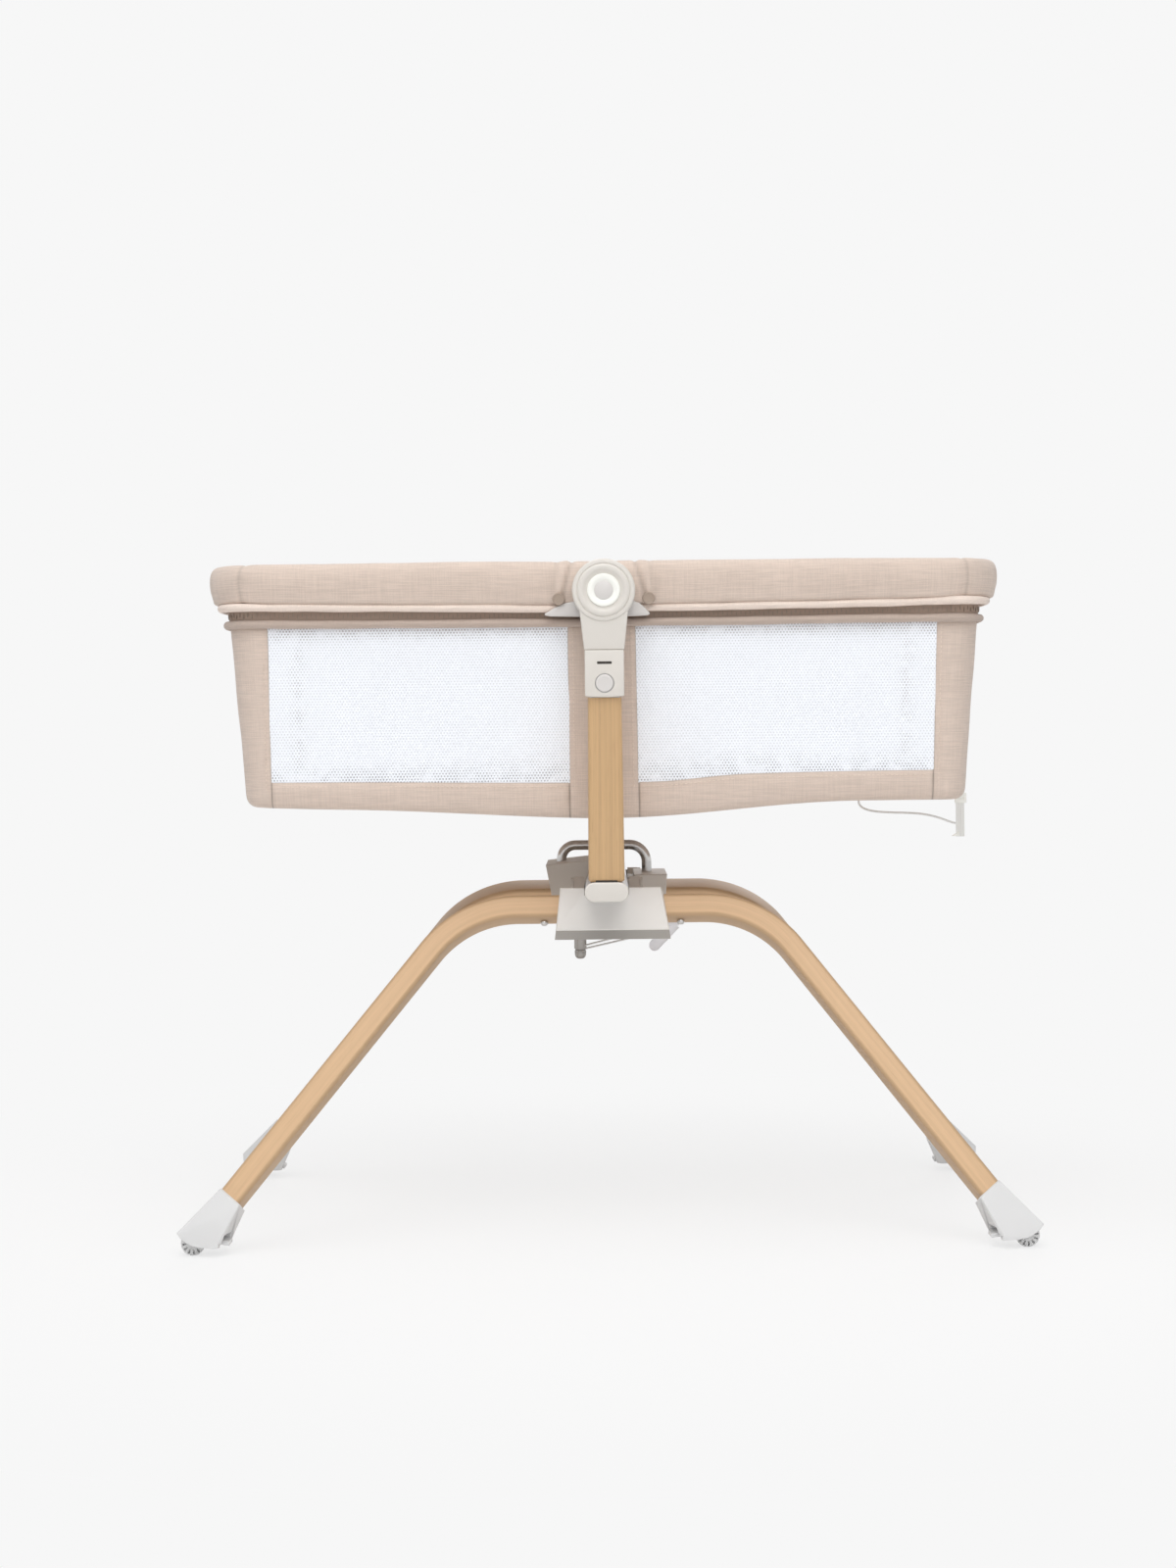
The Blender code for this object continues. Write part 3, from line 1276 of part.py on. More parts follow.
def make_foot(label, side, end):
    rings = []
    edge = FOOT_ROUND
    middle_x, middle_z = LEG_MOUTH_X + WHEEL_REACH / 2, LEG_MOUTH_Z / 2
    for n, shrink in (
        (-FOOT_HALF_THICKNESS, edge), (-FOOT_HALF_THICKNESS + edge, 0),
        (FOOT_HALF_THICKNESS - edge, 0), (FOOT_HALF_THICKNESS, edge),
    ):
        ring = []
        for x, z in foot_outline():
            away = Vector((x - middle_x, z - middle_z))
            pulled = away - away.normalized() * shrink
            s = (ARCH_Z - middle_z - pulled.y) / TILT_COS
            ring.append(arch_point(side, end * (middle_x + pulled.x), s, n))
        rings.append(ring)
    bm = bmesh.new()
    rings_to_mesh(bm, rings)
    bmesh.ops.recalc_face_normals(bm, faces=bm.faces)
    everything = list(bm.verts) + list(bm.edges) + list(bm.faces)
    done = bmesh.ops.bisect_plane(
        bm, geom=everything, plane_co=(0, 0, FOOT_FLOOR_GAP), plane_no=(0, 0, -1), clear_outer=True,
    )
    rim = [e for e in done["geom_cut"] if isinstance(e, bmesh.types.BMEdge)]
    bmesh.ops.contextual_create(bm, geom=rim)
    made = finish_mesh(f"foot_{label}", bm, foot_plastic(), smooth=True)
    line = [
        (LEG_MOUTH_X + share * (LEG_SOCKET_DEPTH + GAP) * math.cos(LEG_SLOPE),
         LEG_MOUTH_S + share * (LEG_SOCKET_DEPTH + GAP) * math.sin(LEG_SLOPE), LEG_SLOPE)
        for share in (1, -1)
    ]
    socket = loft(
        f"cut_leg_socket_{label}",
        arch_rings(side, [(end * x, s, end * slope) for x, s, slope in line], GAP), None,
    )
    wheel_at = (end * WHEEL_X, side * WHEEL_Y, WHEEL_Z)
    pocket_half = WHEEL_WIDTH / 2 + WHEEL_SIDE_GAP
    pocket = prism(
        f"cut_wheel_pocket_{label}", wheel_pocket_outline(end),
        side * WHEEL_Y - pocket_half, side * WHEEL_Y + pocket_half, along_y, None,
    )
    axle_half = WHEEL_WIDTH / 2 + AXLE_STUB + GAP
    axle = rod(
        f"cut_axle_{label}", AXLE_RADIUS + GAP, -axle_half, axle_half, "y",
        wheel_at, SMALL_SIDES + 2, None,
    )
    slot_half = PEDAL_WIDTH / 2 + WHEEL_SIDE_GAP
    slot_inner = PEDAL_PIVOT_X - PEDAL_REACH
    slot_x = sorted((end * slot_inner, end * (WHEEL_X - WHEEL_RADIUS + WHEEL_CLEARANCE)))
    slot = block(
        f"cut_pedal_slot_{label}",
        (slot_x[0], side * WHEEL_Y - slot_half, -CUT_OVERRUN),
        (slot_x[1], side * WHEEL_Y + slot_half, PEDAL_PIVOT_Z + PEDAL_SLOT_ROOF),
        None,
    )
    pin_half = PEDAL_WIDTH / 2 + PEDAL_PIN_STUB + GAP
    pin = rod(
        f"cut_pedal_pin_{label}", PEDAL_PIN_RADIUS + GAP, -pin_half, pin_half, "y",
        (end * PEDAL_PIVOT_X, side * WHEEL_Y, PEDAL_PIVOT_Z), PIN_SIDES, None,
    )
    for cutter in (socket, pocket, axle, slot, pin):
        cut(made, cutter)


def wheel_pocket_outline(end):
    """Round above the axle and straight down below it, in X and height."""
    radius = WHEEL_RADIUS + WHEEL_CLEARANCE
    points = [(end * WHEEL_X + radius, -CUT_OVERRUN)]
    steps = 10
    for i in range(steps + 1):
        angle = math.pi * i / steps
        points.append((end * WHEEL_X + radius * math.cos(angle), WHEEL_Z + radius * math.sin(angle)))
    points.append((end * WHEEL_X - radius, -CUT_OVERRUN))
    return points


def wheels():
    """Small wheels, each with its axle in one piece, one flat of the tread on the floor."""
    half = WHEEL_WIDTH / 2
    edge = WHEEL_CLEARANCE
    for side_name, side in SIDES.items():
        for end_name, end in ENDS.items():
            centre = (end * WHEEL_X, side * WHEEL_Y, WHEEL_Z)
            profile = [
                (AXLE_RADIUS, -half - AXLE_STUB), (AXLE_RADIUS, -half),
                (WHEEL_RADIUS - edge, -half), (WHEEL_RADIUS, -half + edge),
                (WHEEL_RADIUS, half - edge), (WHEEL_RADIUS - edge, half),
                (AXLE_RADIUS, half), (AXLE_RADIUS, half + AXLE_STUB),
            ]
            name = f"wheel_{side_name}_{end_name}"
            turned(name, profile, "y", centre, ROUND_SIDES, wheel_rubber(), origin=centre)


def brake_pedals():
    """Levers on a pin in the foot; the toe end faces the wheel's ribs."""
    for side_name, side in SIDES.items():
        for end_name, end in ENDS.items():
            label = f"{side_name}_{end_name}"
            pivot = (end * PEDAL_PIVOT_X, side * WHEEL_Y, PEDAL_PIVOT_Z)
            tip_x = PEDAL_PIVOT_X - PEDAL_REACH
            toe_x = PEDAL_PIVOT_X + PEDAL_TOE
            rise = PEDAL_TIP_DROP / (PEDAL_PIVOT_X - tip_x)
            half = PEDAL_THICKNESS / 2
            middle_line = [
                (tip_x, PEDAL_PIVOT_Z - PEDAL_TIP_DROP),
                (toe_x, PEDAL_PIVOT_Z + rise * PEDAL_TOE),
            ]
            outline = [(end * x, z - half) for x, z in middle_line]
            outline += [(end * x, z + half) for x, z in reversed(middle_line)]
            made = prism(
                f"brake_pedal_{label}", outline,
                side * WHEEL_Y - PEDAL_WIDTH / 2, side * WHEEL_Y + PEDAL_WIDTH / 2, along_y,
                foot_plastic(), origin=pivot,
            )
            bevelled(made, PEDAL_PIN_RADIUS / 2)
            stub = PEDAL_WIDTH / 2 + PEDAL_PIN_STUB
            pin = rod(
                f"join_pedal_shaft_{label}", PEDAL_PIN_RADIUS, -stub, stub, "y", pivot, PIN_SIDES, None,
            )
            cut(made, pin, "UNION")


def main():
    clear_scene()
    rim_tubes()
    rim_sleeves()
    rim_brackets()
    pivot_pins()
    basket_shell()
    windows()
    base_board()
    mattress()
    tether()
    necks()
    pivot_caps()
    heads()
    height_buttons()
    posts()
    crossbar()
    fold_pins()
    hub()
    fold_handle()
    underside()
    arches()
    arch_brackets()
    feet()
    wheels()
    brake_pedals()


main()
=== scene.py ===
"""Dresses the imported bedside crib: sewn basket, padded rim, net windows, ash frame and hub."""

import json
import math

import bmesh
import bpy
from mathutils import Matrix, Vector, noise

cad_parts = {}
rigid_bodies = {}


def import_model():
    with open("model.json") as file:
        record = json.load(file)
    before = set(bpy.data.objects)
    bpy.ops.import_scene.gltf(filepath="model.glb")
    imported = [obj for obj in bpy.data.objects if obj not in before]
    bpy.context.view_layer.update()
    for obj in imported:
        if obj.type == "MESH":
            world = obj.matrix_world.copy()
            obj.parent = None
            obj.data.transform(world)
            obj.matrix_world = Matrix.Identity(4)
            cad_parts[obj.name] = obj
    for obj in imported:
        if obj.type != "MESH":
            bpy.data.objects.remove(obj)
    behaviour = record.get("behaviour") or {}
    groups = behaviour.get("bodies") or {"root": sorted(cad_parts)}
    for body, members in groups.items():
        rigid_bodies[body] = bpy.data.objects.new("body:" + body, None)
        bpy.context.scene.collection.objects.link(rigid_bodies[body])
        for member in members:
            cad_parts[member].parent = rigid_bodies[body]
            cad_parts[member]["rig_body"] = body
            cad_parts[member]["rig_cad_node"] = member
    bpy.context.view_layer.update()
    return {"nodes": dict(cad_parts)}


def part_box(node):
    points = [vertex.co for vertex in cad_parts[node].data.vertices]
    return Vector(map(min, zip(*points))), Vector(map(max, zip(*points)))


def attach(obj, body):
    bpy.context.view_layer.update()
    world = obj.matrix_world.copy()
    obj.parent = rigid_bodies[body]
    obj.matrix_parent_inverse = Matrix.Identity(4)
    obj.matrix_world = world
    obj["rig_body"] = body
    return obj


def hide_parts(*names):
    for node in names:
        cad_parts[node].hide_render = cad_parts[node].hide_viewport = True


bl_info = {
    "name": "Bedside Crib Finish",
    "version": (1, 0, 0),
    "blender": (4, 5, 0),
    "location": "View3D > Sidebar > Crib",
    "description": "Sews, turns and finishes the pieces of a bedside crib round its packed frame",
    "category": "Object",
}

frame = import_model()

# Places read from the frame
SLEEVE_LOW, SLEEVE_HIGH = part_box("rim_sleeve_right")
SHELL_LOW, SHELL_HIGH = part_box("basket_shell")
WINDOW_LOW, WINDOW_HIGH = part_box("window_near_right")
MATTRESS_LOW, MATTRESS_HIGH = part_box("mattress")
NECK_LOW, NECK_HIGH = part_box("pivot_neck_far")
HEAD_LOW, HEAD_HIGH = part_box("height_head_far")
BUTTON_LOW, BUTTON_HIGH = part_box("height_button_far")
HANDLE_LOW, HANDLE_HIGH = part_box("fold_handle")
STRAP_LOW, STRAP_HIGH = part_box("tether_strap")
BUCKLE_LOW, BUCKLE_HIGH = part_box("tether_buckle")
TUBE_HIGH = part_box("rim_tube_right")[1]
CROSSBAR_FOOT_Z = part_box("crossbar")[0].z

SIDES = {"near": -1, "far": 1}
ENDS = {"left": -1, "right": 1}
QUARTERS = [(*side, *end) for side in SIDES.items() for end in ENDS.items()]

# Rim
TUBE_RADIUS = 0.011
SLEEVE_CORNER = 0.085
SLEEVE_SEAM_X = 0.409
RIM_END_RISE = 0.0052
SLEEVE_TUCK = 0.0263
SLEEVE_STEPS = 24
CORNER_STEPS = 30
SECTION_POINTS = 32
SNAP_X, SNAP_RISE = 0.0515, 0.0065
WING_LOW_Y, WING_HIGH_Y = 0.2530, 0.2575

# Basket
BASKET_CORNER, BASKET_FOOT_CORNER = 0.042, 0.031
WALL_TOP_HALF_X, WALL_TOP_HALF_Y = 0.4365, 0.240
WALL_FOOT_HALF_X, WALL_FOOT_HALF_Y = 0.4165, 0.235
CLOTH_THICKNESS = 0.0022
WINDOW_INNER, WINDOW_OUTER = 0.039, 0.3865
# Each end's windows: (inner, outer) edge at the top, then at the foot
WINDOW_EDGES = {
    -1: ((0.0425, 0.3865), (0.0415, 0.3845)),
    1: ((0.0365, 0.3825), (0.0385, 0.3775)),
}
EDGE_ROUND = 0.012
SEAM_WIDTH = 0.0022
SEAM_EDGE, SEAM_RUN = 0.0012, 0.0038
SHELL_FOOT = SHELL_LOW.z + 0.018
LOWER_HEM_Z = WINDOW_HIGH.z + 0.0018
HEM_ROLL_Z = LOWER_HEM_Z + 0.0046
UPPER_ROLL_Z = SHELL_HIGH.z - 0.0032

# The tether cord's route, in metres
CORD_ROUTE = [
    (0.3015, -0.1200, 0.5054), (0.3017, -0.1205, 0.5000), (0.3050, -0.1215, 0.4952),
    (0.3120, -0.1228, 0.4920), (0.3210, -0.1238, 0.4901), (0.3320, -0.1244, 0.4891),
    (0.3440, -0.1246, 0.4885), (0.3570, -0.1244, 0.4880), (0.3700, -0.1238, 0.4872),
    (0.3820, -0.1228, 0.4855), (0.3930, -0.1217, 0.4829), (0.4020, -0.1208, 0.4799),
    (0.4090, -0.1202, 0.4772), (0.4166, -0.1200, 0.4750),
]
CORD_DIAMETER = 0.0025

# Pivot discs and heads
PIVOT_Z = 0.749
DISC_RADIUS = 0.0357
NECK_TOP_WIDTH = 0.0552
NECK_FOOT_WIDTH = 0.0453
HEAD_BULGE = 0.0014


def srgb(red, green, blue):
    """A screen colour of 0 to 255 as Blender's linear values."""
    linear = []
    for step in (red, green, blue):
        share = step / 255
        linear.append(share / 12.92 if share <= 0.04045 else ((share + 0.055) / 1.055) ** 2.4)
    return (*linear, 1.0)


# Sizes and colours that a user would change

def size_setting(name, description, default):
    return bpy.props.FloatProperty(
        name=name, description=description, default=default, min=0, unit="LENGTH")


def colour_setting(name, description, default):
    return bpy.props.FloatVectorProperty(
        name=name, description=description, default=srgb(*default), subtype="COLOR", size=4,
        min=0, max=1)


class CribSizes(bpy.types.PropertyGroup):
    """Sizes of the finish, in metres."""

    seam_depth: size_setting("Seam depth", "How far the basket's cloth dips at a seam", 0.0014)
    piping_radius: size_setting("Piping radius", "Radius of the rolled hems round the basket", 0.0042)
    stitch_length: size_setting("Stitch length", "Length of one sewn stitch", 0.0030)
    thread_pitch: size_setting("Thread pitch", "Distance between two threads of the linen", 0.0007)
    net_pitch: size_setting("Net pitch", "Distance between two holes of the net", 0.0036)


class CribColours(bpy.types.PropertyGroup):
    """Colours of the finish."""

    linen: colour_setting("Linen", "Basket and rim cloth", (216, 198, 185))
    net: colour_setting("Net", "Window net", (246, 249, 255))
    post_wood: colour_setting("Post wood", "Veneer of the posts", (196, 161, 118))
    arch_wood: colour_setting("Arch wood", "Veneer of the bent arches", (213, 177, 137))
    warm_grey: colour_setting("Warm grey", "Moulded heads, necks and brackets", (217, 212, 205))
    # The hub's darker grey is painted shade, for the shade under the basket.
    shade_grey: colour_setting("Shade grey", "Moulded hub covers", (194, 187, 179))
    foot_grey: colour_setting("Foot grey", "Moulded feet and pedals", (219, 219, 219))


# Shader wiring

class Wiring:
    """Adds nodes to one tree and joins their sockets."""

    def __init__(self, tree):
        self.tree = tree

    def node(self, kind, feeds=(), **settings):
        made = self.tree.nodes.new("ShaderNode" + kind)
        set_values(made, settings)
        for key, value in dict(feeds).items():
            self.feed(made.inputs[key], value)
        return made

    def feed(self, socket, value):
        if isinstance(value, bpy.types.NodeSocket):
            self.tree.links.new(value, socket)
        else:
            socket.default_value = value

    def give(self, sockets, **values):
        """Feeds several named sockets."""
        for key, value in values.items():
            self.feed(sockets[key], value)

    def in_order(self, kind, values, **settings):
        """The first output of a node whose first inputs take the values."""
        made = self.node(kind, **settings)
        for socket, value in zip(made.inputs, values):
            self.feed(socket, value)
        return made.outputs[0]

    def maths(self, operation, *values):
        return self.in_order("Math", values, operation=operation)

    def times(self, first, second):
        return self.maths("MULTIPLY", first, second)

    def less(self, first, second):
        return self.maths("SUBTRACT", first, second)

    def vector(self, operation, *values):
        return self.in_order("VectorMath", values, operation=operation)

    def attribute(self, name, output):
        return self.node("Attribute", attribute_name=name).outputs[output]

    def noise(self, vector, scale, detail=2.0, roughness=0.5):
        feeds = {"Vector": vector, "Scale": scale, "Detail": detail, "Roughness": roughness}
        return self.node("TexNoise", feeds).outputs["Fac"]

    def stretched(self, vector, scales, detail=2.0, roughness=0.5):
        """Noise drawn out along the axes."""
        return self.noise(self.vector("MULTIPLY", vector, scales), 1.0, detail, roughness)

    def blend(self, share, first, second, mode="MIX"):
        made = self.node("Mix", data_type="RGBA", blend_type=mode)
        for place, value in ((0, share), (6, first), (7, second)):
            self.feed(made.inputs[place], value)
        return made.outputs[2]

    def band(self, value, low, high):
        """A smooth step of value from low to high."""
        feeds = {"Value": value, "From Min": low, "From Max": high}
        return self.node("MapRange", feeds, interpolation_type="SMOOTHSTEP").outputs[0]

    def shade(self, colour, value, amount):
        """Darkens and lightens a colour by a value round a half."""
        gain = self.maths("MULTIPLY_ADD", value, amount, 1.0)
        gain = self.less(gain, self.times(amount, 0.5))
        grey = self.node("CombineXYZ", {"X": gain, "Y": gain, "Z": gain})
        return self.blend(1.0, colour, grey.outputs[0], "MULTIPLY")

    def relief(self, shader, strength, depth, height):
        """Raises the shader's surface by a height."""
        bump = self.node("Bump", {"Strength": strength, "Distance": depth, "Height": height})
        self.feed(shader.inputs["Normal"], bump.outputs["Normal"])


FLOAT, COLOUR, VECTOR = "NodeSocketFloat", "NodeSocketColor", "NodeSocketVector"
WHITE = (1, 1, 1, 1)
# The 'seam' attribute holds painted shade: it darkens seam dips, cloth folds, net edges and arch
# edges.
CLOTH, GRAIN, PAINTED_SHADE = "cloth", "grain", "seam"
FINISH_OUTPUTS = {"Colour": COLOUR, "Height": FLOAT, "Roughness": FLOAT}


def node_group(name, inputs, outputs):
    """An empty shader node group with named sockets."""
    tree = bpy.data.node_groups.new(name, "ShaderNodeTree")
    for socket, (kind, value) in {"Vector": (VECTOR, None), **inputs}.items():
        made = tree.interface.new_socket(socket, in_out="INPUT", socket_type=kind)
        if value is not None:
            made.default_value = value
    for socket, kind in outputs.items():
        tree.interface.new_socket(socket, in_out="OUTPUT", socket_type=kind)
    nodes = tree.nodes
    return Wiring(tree), nodes.new("NodeGroupInput").outputs, nodes.new("NodeGroupOutput").inputs


def linen_weave():
    """Mottled linen: crossed threads, slubs along both, a slow change of tone and painted shade where
    Seam is high.
    """
    wires, given, made = node_group(
        "linen_weave",
        {"Colour": (COLOUR, WHITE), "Pitch": (FLOAT, 0.0007), "Slub": (FLOAT, 0.18),
         "Thread": (FLOAT, 0.16), "Seam": (FLOAT, 0.0)},
        {"Colour": COLOUR, "Height": FLOAT})
    place = given["Vector"]
    turns = wires.maths("DIVIDE", math.pi, given["Pitch"])
    parts = wires.node("SeparateXYZ", {"Vector": place}).outputs
    across, along = (wires.maths("SINE", wires.times(parts[k], turns)) for k in (0, 1))
    weave = wires.maths("MULTIPLY_ADD", wires.times(across, along), 0.5, 0.5)
    weft = wires.stretched(place, (24, 700, 1), 4.0, 0.7)
    warp = wires.stretched(place, (700, 24, 1), 4.0, 0.7)
    crossed = wires.maths("MULTIPLY_ADD", weft, 0.64, wires.times(warp, 0.36))
    slub = wires.band(crossed, 0.38, 0.62)
    tone = wires.noise(place, 9.0, 3.0, 0.5)
    # Seam darkens the linen as painted shade at seam dips and folds.
    seam = wires.less(0.5, given["Seam"])
    colour = given["Colour"]
    for value, amount in ((slub, given["Slub"]), (weave, given["Thread"]), (tone, 0.10), (seam, 0.55)):
        colour = wires.shade(colour, value, amount)
    wires.give(made, Colour=colour, Height=wires.maths("MULTIPLY_ADD", slub, 0.8, weave))
    return wires.tree


def net_holes():
    """A honeycomb of holes: Hole is 1 inside one, Height is high on the yarn."""
    wires, given, made = node_group(
        "net_holes", {"Pitch": (FLOAT, 0.003)}, {"Hole": FLOAT, "Height": FLOAT, "Tone": FLOAT})
    scale = wires.maths("DIVIDE", 1.0, given["Pitch"])
    parts = wires.node("SeparateXYZ", {"Vector": given["Vector"]}).outputs
    column = wires.times(parts[0], scale)
    row = wires.times(wires.times(parts[1], scale), 1 / math.sqrt(3))

    def from_middle(value, shift):
        return wires.less(wires.maths("FRACT", wires.maths("ADD", value, shift)), 0.5)

    reaches = []
    for shift in (0.0, 0.5):
        here_x = from_middle(column, shift)
        here_y = wires.times(from_middle(row, shift), math.sqrt(3))
        reaches.append(wires.maths("ADD", wires.times(here_x, here_x), wires.times(here_y, here_y)))
    distance = wires.maths("SQRT", wires.maths("MINIMUM", *reaches))
    wires.give(made, Hole=wires.band(distance, 0.31, 0.23), Height=wires.band(distance, 0.22, 0.50),
               Tone=wires.noise(given["Vector"], 14.0, 2.0))
    return wires.tree


def ash_grain():
    """Ash veneer: slow bands and fine pores that drift along the grain."""
    wires, given, made = node_group(
        "ash_grain",
        {"Light": (COLOUR, WHITE), "Strength": (FLOAT, 1.0), "Seam": (FLOAT, 0.0)}, FINISH_OUTPUTS)
    place, strength = given["Vector"], given["Strength"]
    drift = wires.stretched(place, (2.2, 14, 14))
    sway = wires.node("CombineXYZ", {"Y": wires.times(drift, 0.012)}).outputs[0]
    bent = wires.vector("ADD", place, sway)
    bands = wires.stretched(bent, (1.6, 190, 90), 3.0, 0.55)
    fibres = wires.stretched(bent, (9, 950, 700), 2.0, 0.6)
    pores = wires.band(wires.stretched(bent, (34, 1500, 1100), 1.0), 0.62, 0.72)
    colour = wires.shade(given["Light"], wires.band(bands, 0.30, 0.70), wires.times(strength, 0.17))
    colour = wires.shade(colour, fibres, wires.times(strength, 0.16))
    in_pores = wires.times(pores, wires.times(strength, 0.30))
    colour = wires.blend(in_pores, colour, (0.30, 0.17, 0.08, 1.0))
    # Seam darkens the veneer as painted shade, on the arches' rounded edges.
    colour = wires.shade(colour, wires.less(0.5, given["Seam"]), 0.24)
    wires.give(made, Colour=colour,
               Height=wires.less(wires.times(fibres, 0.5), pores),
               Roughness=wires.maths("MULTIPLY_ADD", fibres, 0.12, 0.40))
    return wires.tree


def moulding():
    """Moulded plastic: a fine texture, a faint flow of tone and light scuffs."""
    wires, given, made = node_group(
        "moulding", {"Colour": (COLOUR, WHITE), "Gloss": (FLOAT, 0.42)}, FINISH_OUTPUTS)
    place = given["Vector"]
    texture = wires.noise(place, 2600.0, 2.0, 0.6)
    flow = wires.noise(place, 16.0, 2.0)
    scuff = wires.band(wires.stretched(place, (260, 60, 140), 4.0, 0.7), 0.60, 0.78)
    clean = wires.maths("MULTIPLY_ADD", flow, 0.06, given["Gloss"])
    wires.give(made, Colour=wires.shade(wires.shade(given["Colour"], flow, 0.05), texture, 0.03),
               Height=texture, Roughness=wires.maths("MULTIPLY_ADD", scuff, 0.10, clean))
    return wires.tree


def drawn_metal():
    """Drawn or polished metal: fine lines and a faint haze in the roughness."""
    wires, given, made = node_group(
        "drawn_metal",
        {"Colour": (COLOUR, WHITE), "Base": (FLOAT, 0.15), "Haze": (FLOAT, 0.12)}, FINISH_OUTPUTS)
    haze = wires.noise(given["Vector"], 55.0, 3.0, 0.6)
    lines = wires.stretched(given["Vector"], (900, 40, 900), 2.0, 0.6)
    wires.give(made, Colour=wires.shade(given["Colour"], haze, 0.08), Height=lines,
               Roughness=wires.maths("MULTIPLY_ADD", haze, given["Haze"], given["Base"]))
    return wires.tree


# Looks

PILE = {"Roughness": 0.86, "Sheen Weight": 0.25, "Sheen Roughness": 0.5}
VARNISH = {"Coat Weight": 0.12, "Coat Roughness": 0.35}
# Each look: its shared group, the group's values, the relief's strength and depth, the attribute
# that places it, and the shader's own constants. A value given by name is one of the scene's
# sizes or colours, and three numbers are a screen colour.
FINISHES = {
    "post_ash": (ash_grain, {"Light": "post_wood", "Strength": 1.0}, (0.12, 0.0003), GRAIN, VARNISH),
    "arch_ash": (ash_grain, {"Light": "arch_wood", "Strength": 0.55}, (0.10, 0.0003), GRAIN, VARNISH),
    "fibre_board": (
        ash_grain, {"Light": (190, 170, 145), "Strength": 0.4}, (0.2, 0.0003), None, {}),
    "milky_tab": (
        moulding, {"Colour": (248, 248, 252), "Gloss": 0.26}, (0.05, 0.0001), None,
        {"Transmission Weight": 0.18, "IOR": 1.45}),
}
# Woven cloths: colour, thread pitch, slub, thread, relief strength and depth, place, constants
WEAVES = {
    "linen_cloth": ("linen", "thread_pitch", 0.18, 0.16, 0.45, 0.0005, CLOTH, PILE),
    # The upper hem's lighter linen is painted light: the roll as if lit from above.
    "linen_hem": ((243, 226, 214), "thread_pitch", 0.14, 0.16, 0.45, 0.0005, CLOTH, PILE),
    # The lower hem's darker linen is partly a darker thread and partly painted shade under the upper
    # hem.
    "linen_lower_hem": ((194, 176, 164), "thread_pitch", 0.14, 0.16, 0.45, 0.0005, CLOTH, PILE),
    "zip_tape": ((182, 160, 145), 0.0011, 0.12, 0.16, 0.5, 0.0004, CLOTH, {"Roughness": 0.8}),
    "sewing_thread": ((232, 216, 202), 0.0004, 0.1, 0.16, 0.3, 0.0002, None, {"Roughness": 0.7}),
    "mattress_cotton": ((240, 240, 238), 0.0009, 0.05, 0.08, 0.5, 0.0006, CLOTH,
                        {"Roughness": 0.9, "Sheen Weight": 0.2}),
    "white_webbing": ((236, 236, 233), 0.0012, 0.06, 0.12, 0.6, 0.0004, None, {"Roughness": 0.75}),
    "white_cord": ((232, 232, 230), 0.0008, 0.1, 0.2, 0.6, 0.0003, None, {"Roughness": 0.7}),
}
# Moulded plastics: colour, gloss, relief strength and depth
PLASTICS = {
    "warm_grey_plastic": ("warm_grey", 0.38, 0.12, 0.0001),
    # The hub's darker grey is painted shade under the basket.
    "shade_grey_plastic": ("shade_grey", 0.46, 0.2, 0.0001),
    # The right cover's lighter grey is painted light.
    "light_grey_plastic": ((203, 197, 190), 0.42, 0.15, 0.0001),
    # The saddle's lighter grey is painted light against the basket's shadow over it.
    "pale_grey_plastic": ((230, 226, 221), 0.42, 0.15, 0.0001),
    # The saddle band's darker grey is painted shade on its downward face.
    "saddle_band_plastic": ((158, 153, 147), 0.44, 0.15, 0.0001),
    "foot_grey_plastic": ("foot_grey", 0.36, 0.12, 0.0001),
    "white_face_ring": ((246, 246, 240), 0.30, 0.05, 0.0001),
    "grey_face_centre": ((214, 210, 207), 0.44, 0.15, 0.0001),
    "snap_brown": ((163, 146, 132), 0.34, 0.05, 0.0001),
    # A near-black for dark sheets that stand for shade in slots and at the posts' feet.
    "slot_shade": ((60, 54, 50), 0.6, 0.1, 0.0001),
    "wheel_tread": ((222, 222, 222), 0.5, 0.2, 0.0002),
}
# Metals: colour, least roughness, haze, relief strength
METALS = {
    "bright_steel": ((206, 204, 202), 0.10, 0.16, 0.02),
    "dull_steel": ((158, 154, 150), 0.10, 0.14, 0.02),
    "satin_aluminium": ((212, 214, 216), 0.26, 0.14, 0.05),
}
METAL_DEPTH = 0.0001
for key, (colour, pitch, slub, thread, strength, depth, place, constants) in WEAVES.items():
    FINISHES[key] = (linen_weave, {"Colour": colour, "Pitch": pitch, "Slub": slub, "Thread": thread},
                     (strength, depth), place, constants)
for key, (colour, gloss, strength, depth) in PLASTICS.items():
    FINISHES[key] = (moulding, {"Colour": colour, "Gloss": gloss}, (strength, depth), None, {})
for key, (colour, least, haze, strength) in METALS.items():
    FINISHES[key] = (drawn_metal, {"Colour": colour, "Base": least, "Haze": haze},
                     (strength, METAL_DEPTH), None, {"Metallic": 1.0})

GROUPS, LOOKS = {}, {}


def sizes():
    return bpy.context.scene.crib_sizes


def colours():
    return bpy.context.scene.crib_colours


def shared_group(builder):
    """A shared effect's one node group."""
    if builder.__name__ not in GROUPS:
        GROUPS[builder.__name__] = builder()
    return GROUPS[builder.__name__]


def new_material(name):
    """A material, its wiring and its shader."""
    made = LOOKS[name] = bpy.data.materials.new(name)
    made.use_nodes = True
    return made, Wiring(made.node_tree), made.node_tree.nodes["Principled BSDF"]


def chosen(value):
    """A look's value: a name of the scene's sizes or colours, or a screen colour."""
    if isinstance(value, str):
        return getattr(sizes() if value in CribSizes.__annotations__ else colours(), value)
    return srgb(*value) if isinstance(value, tuple) else value


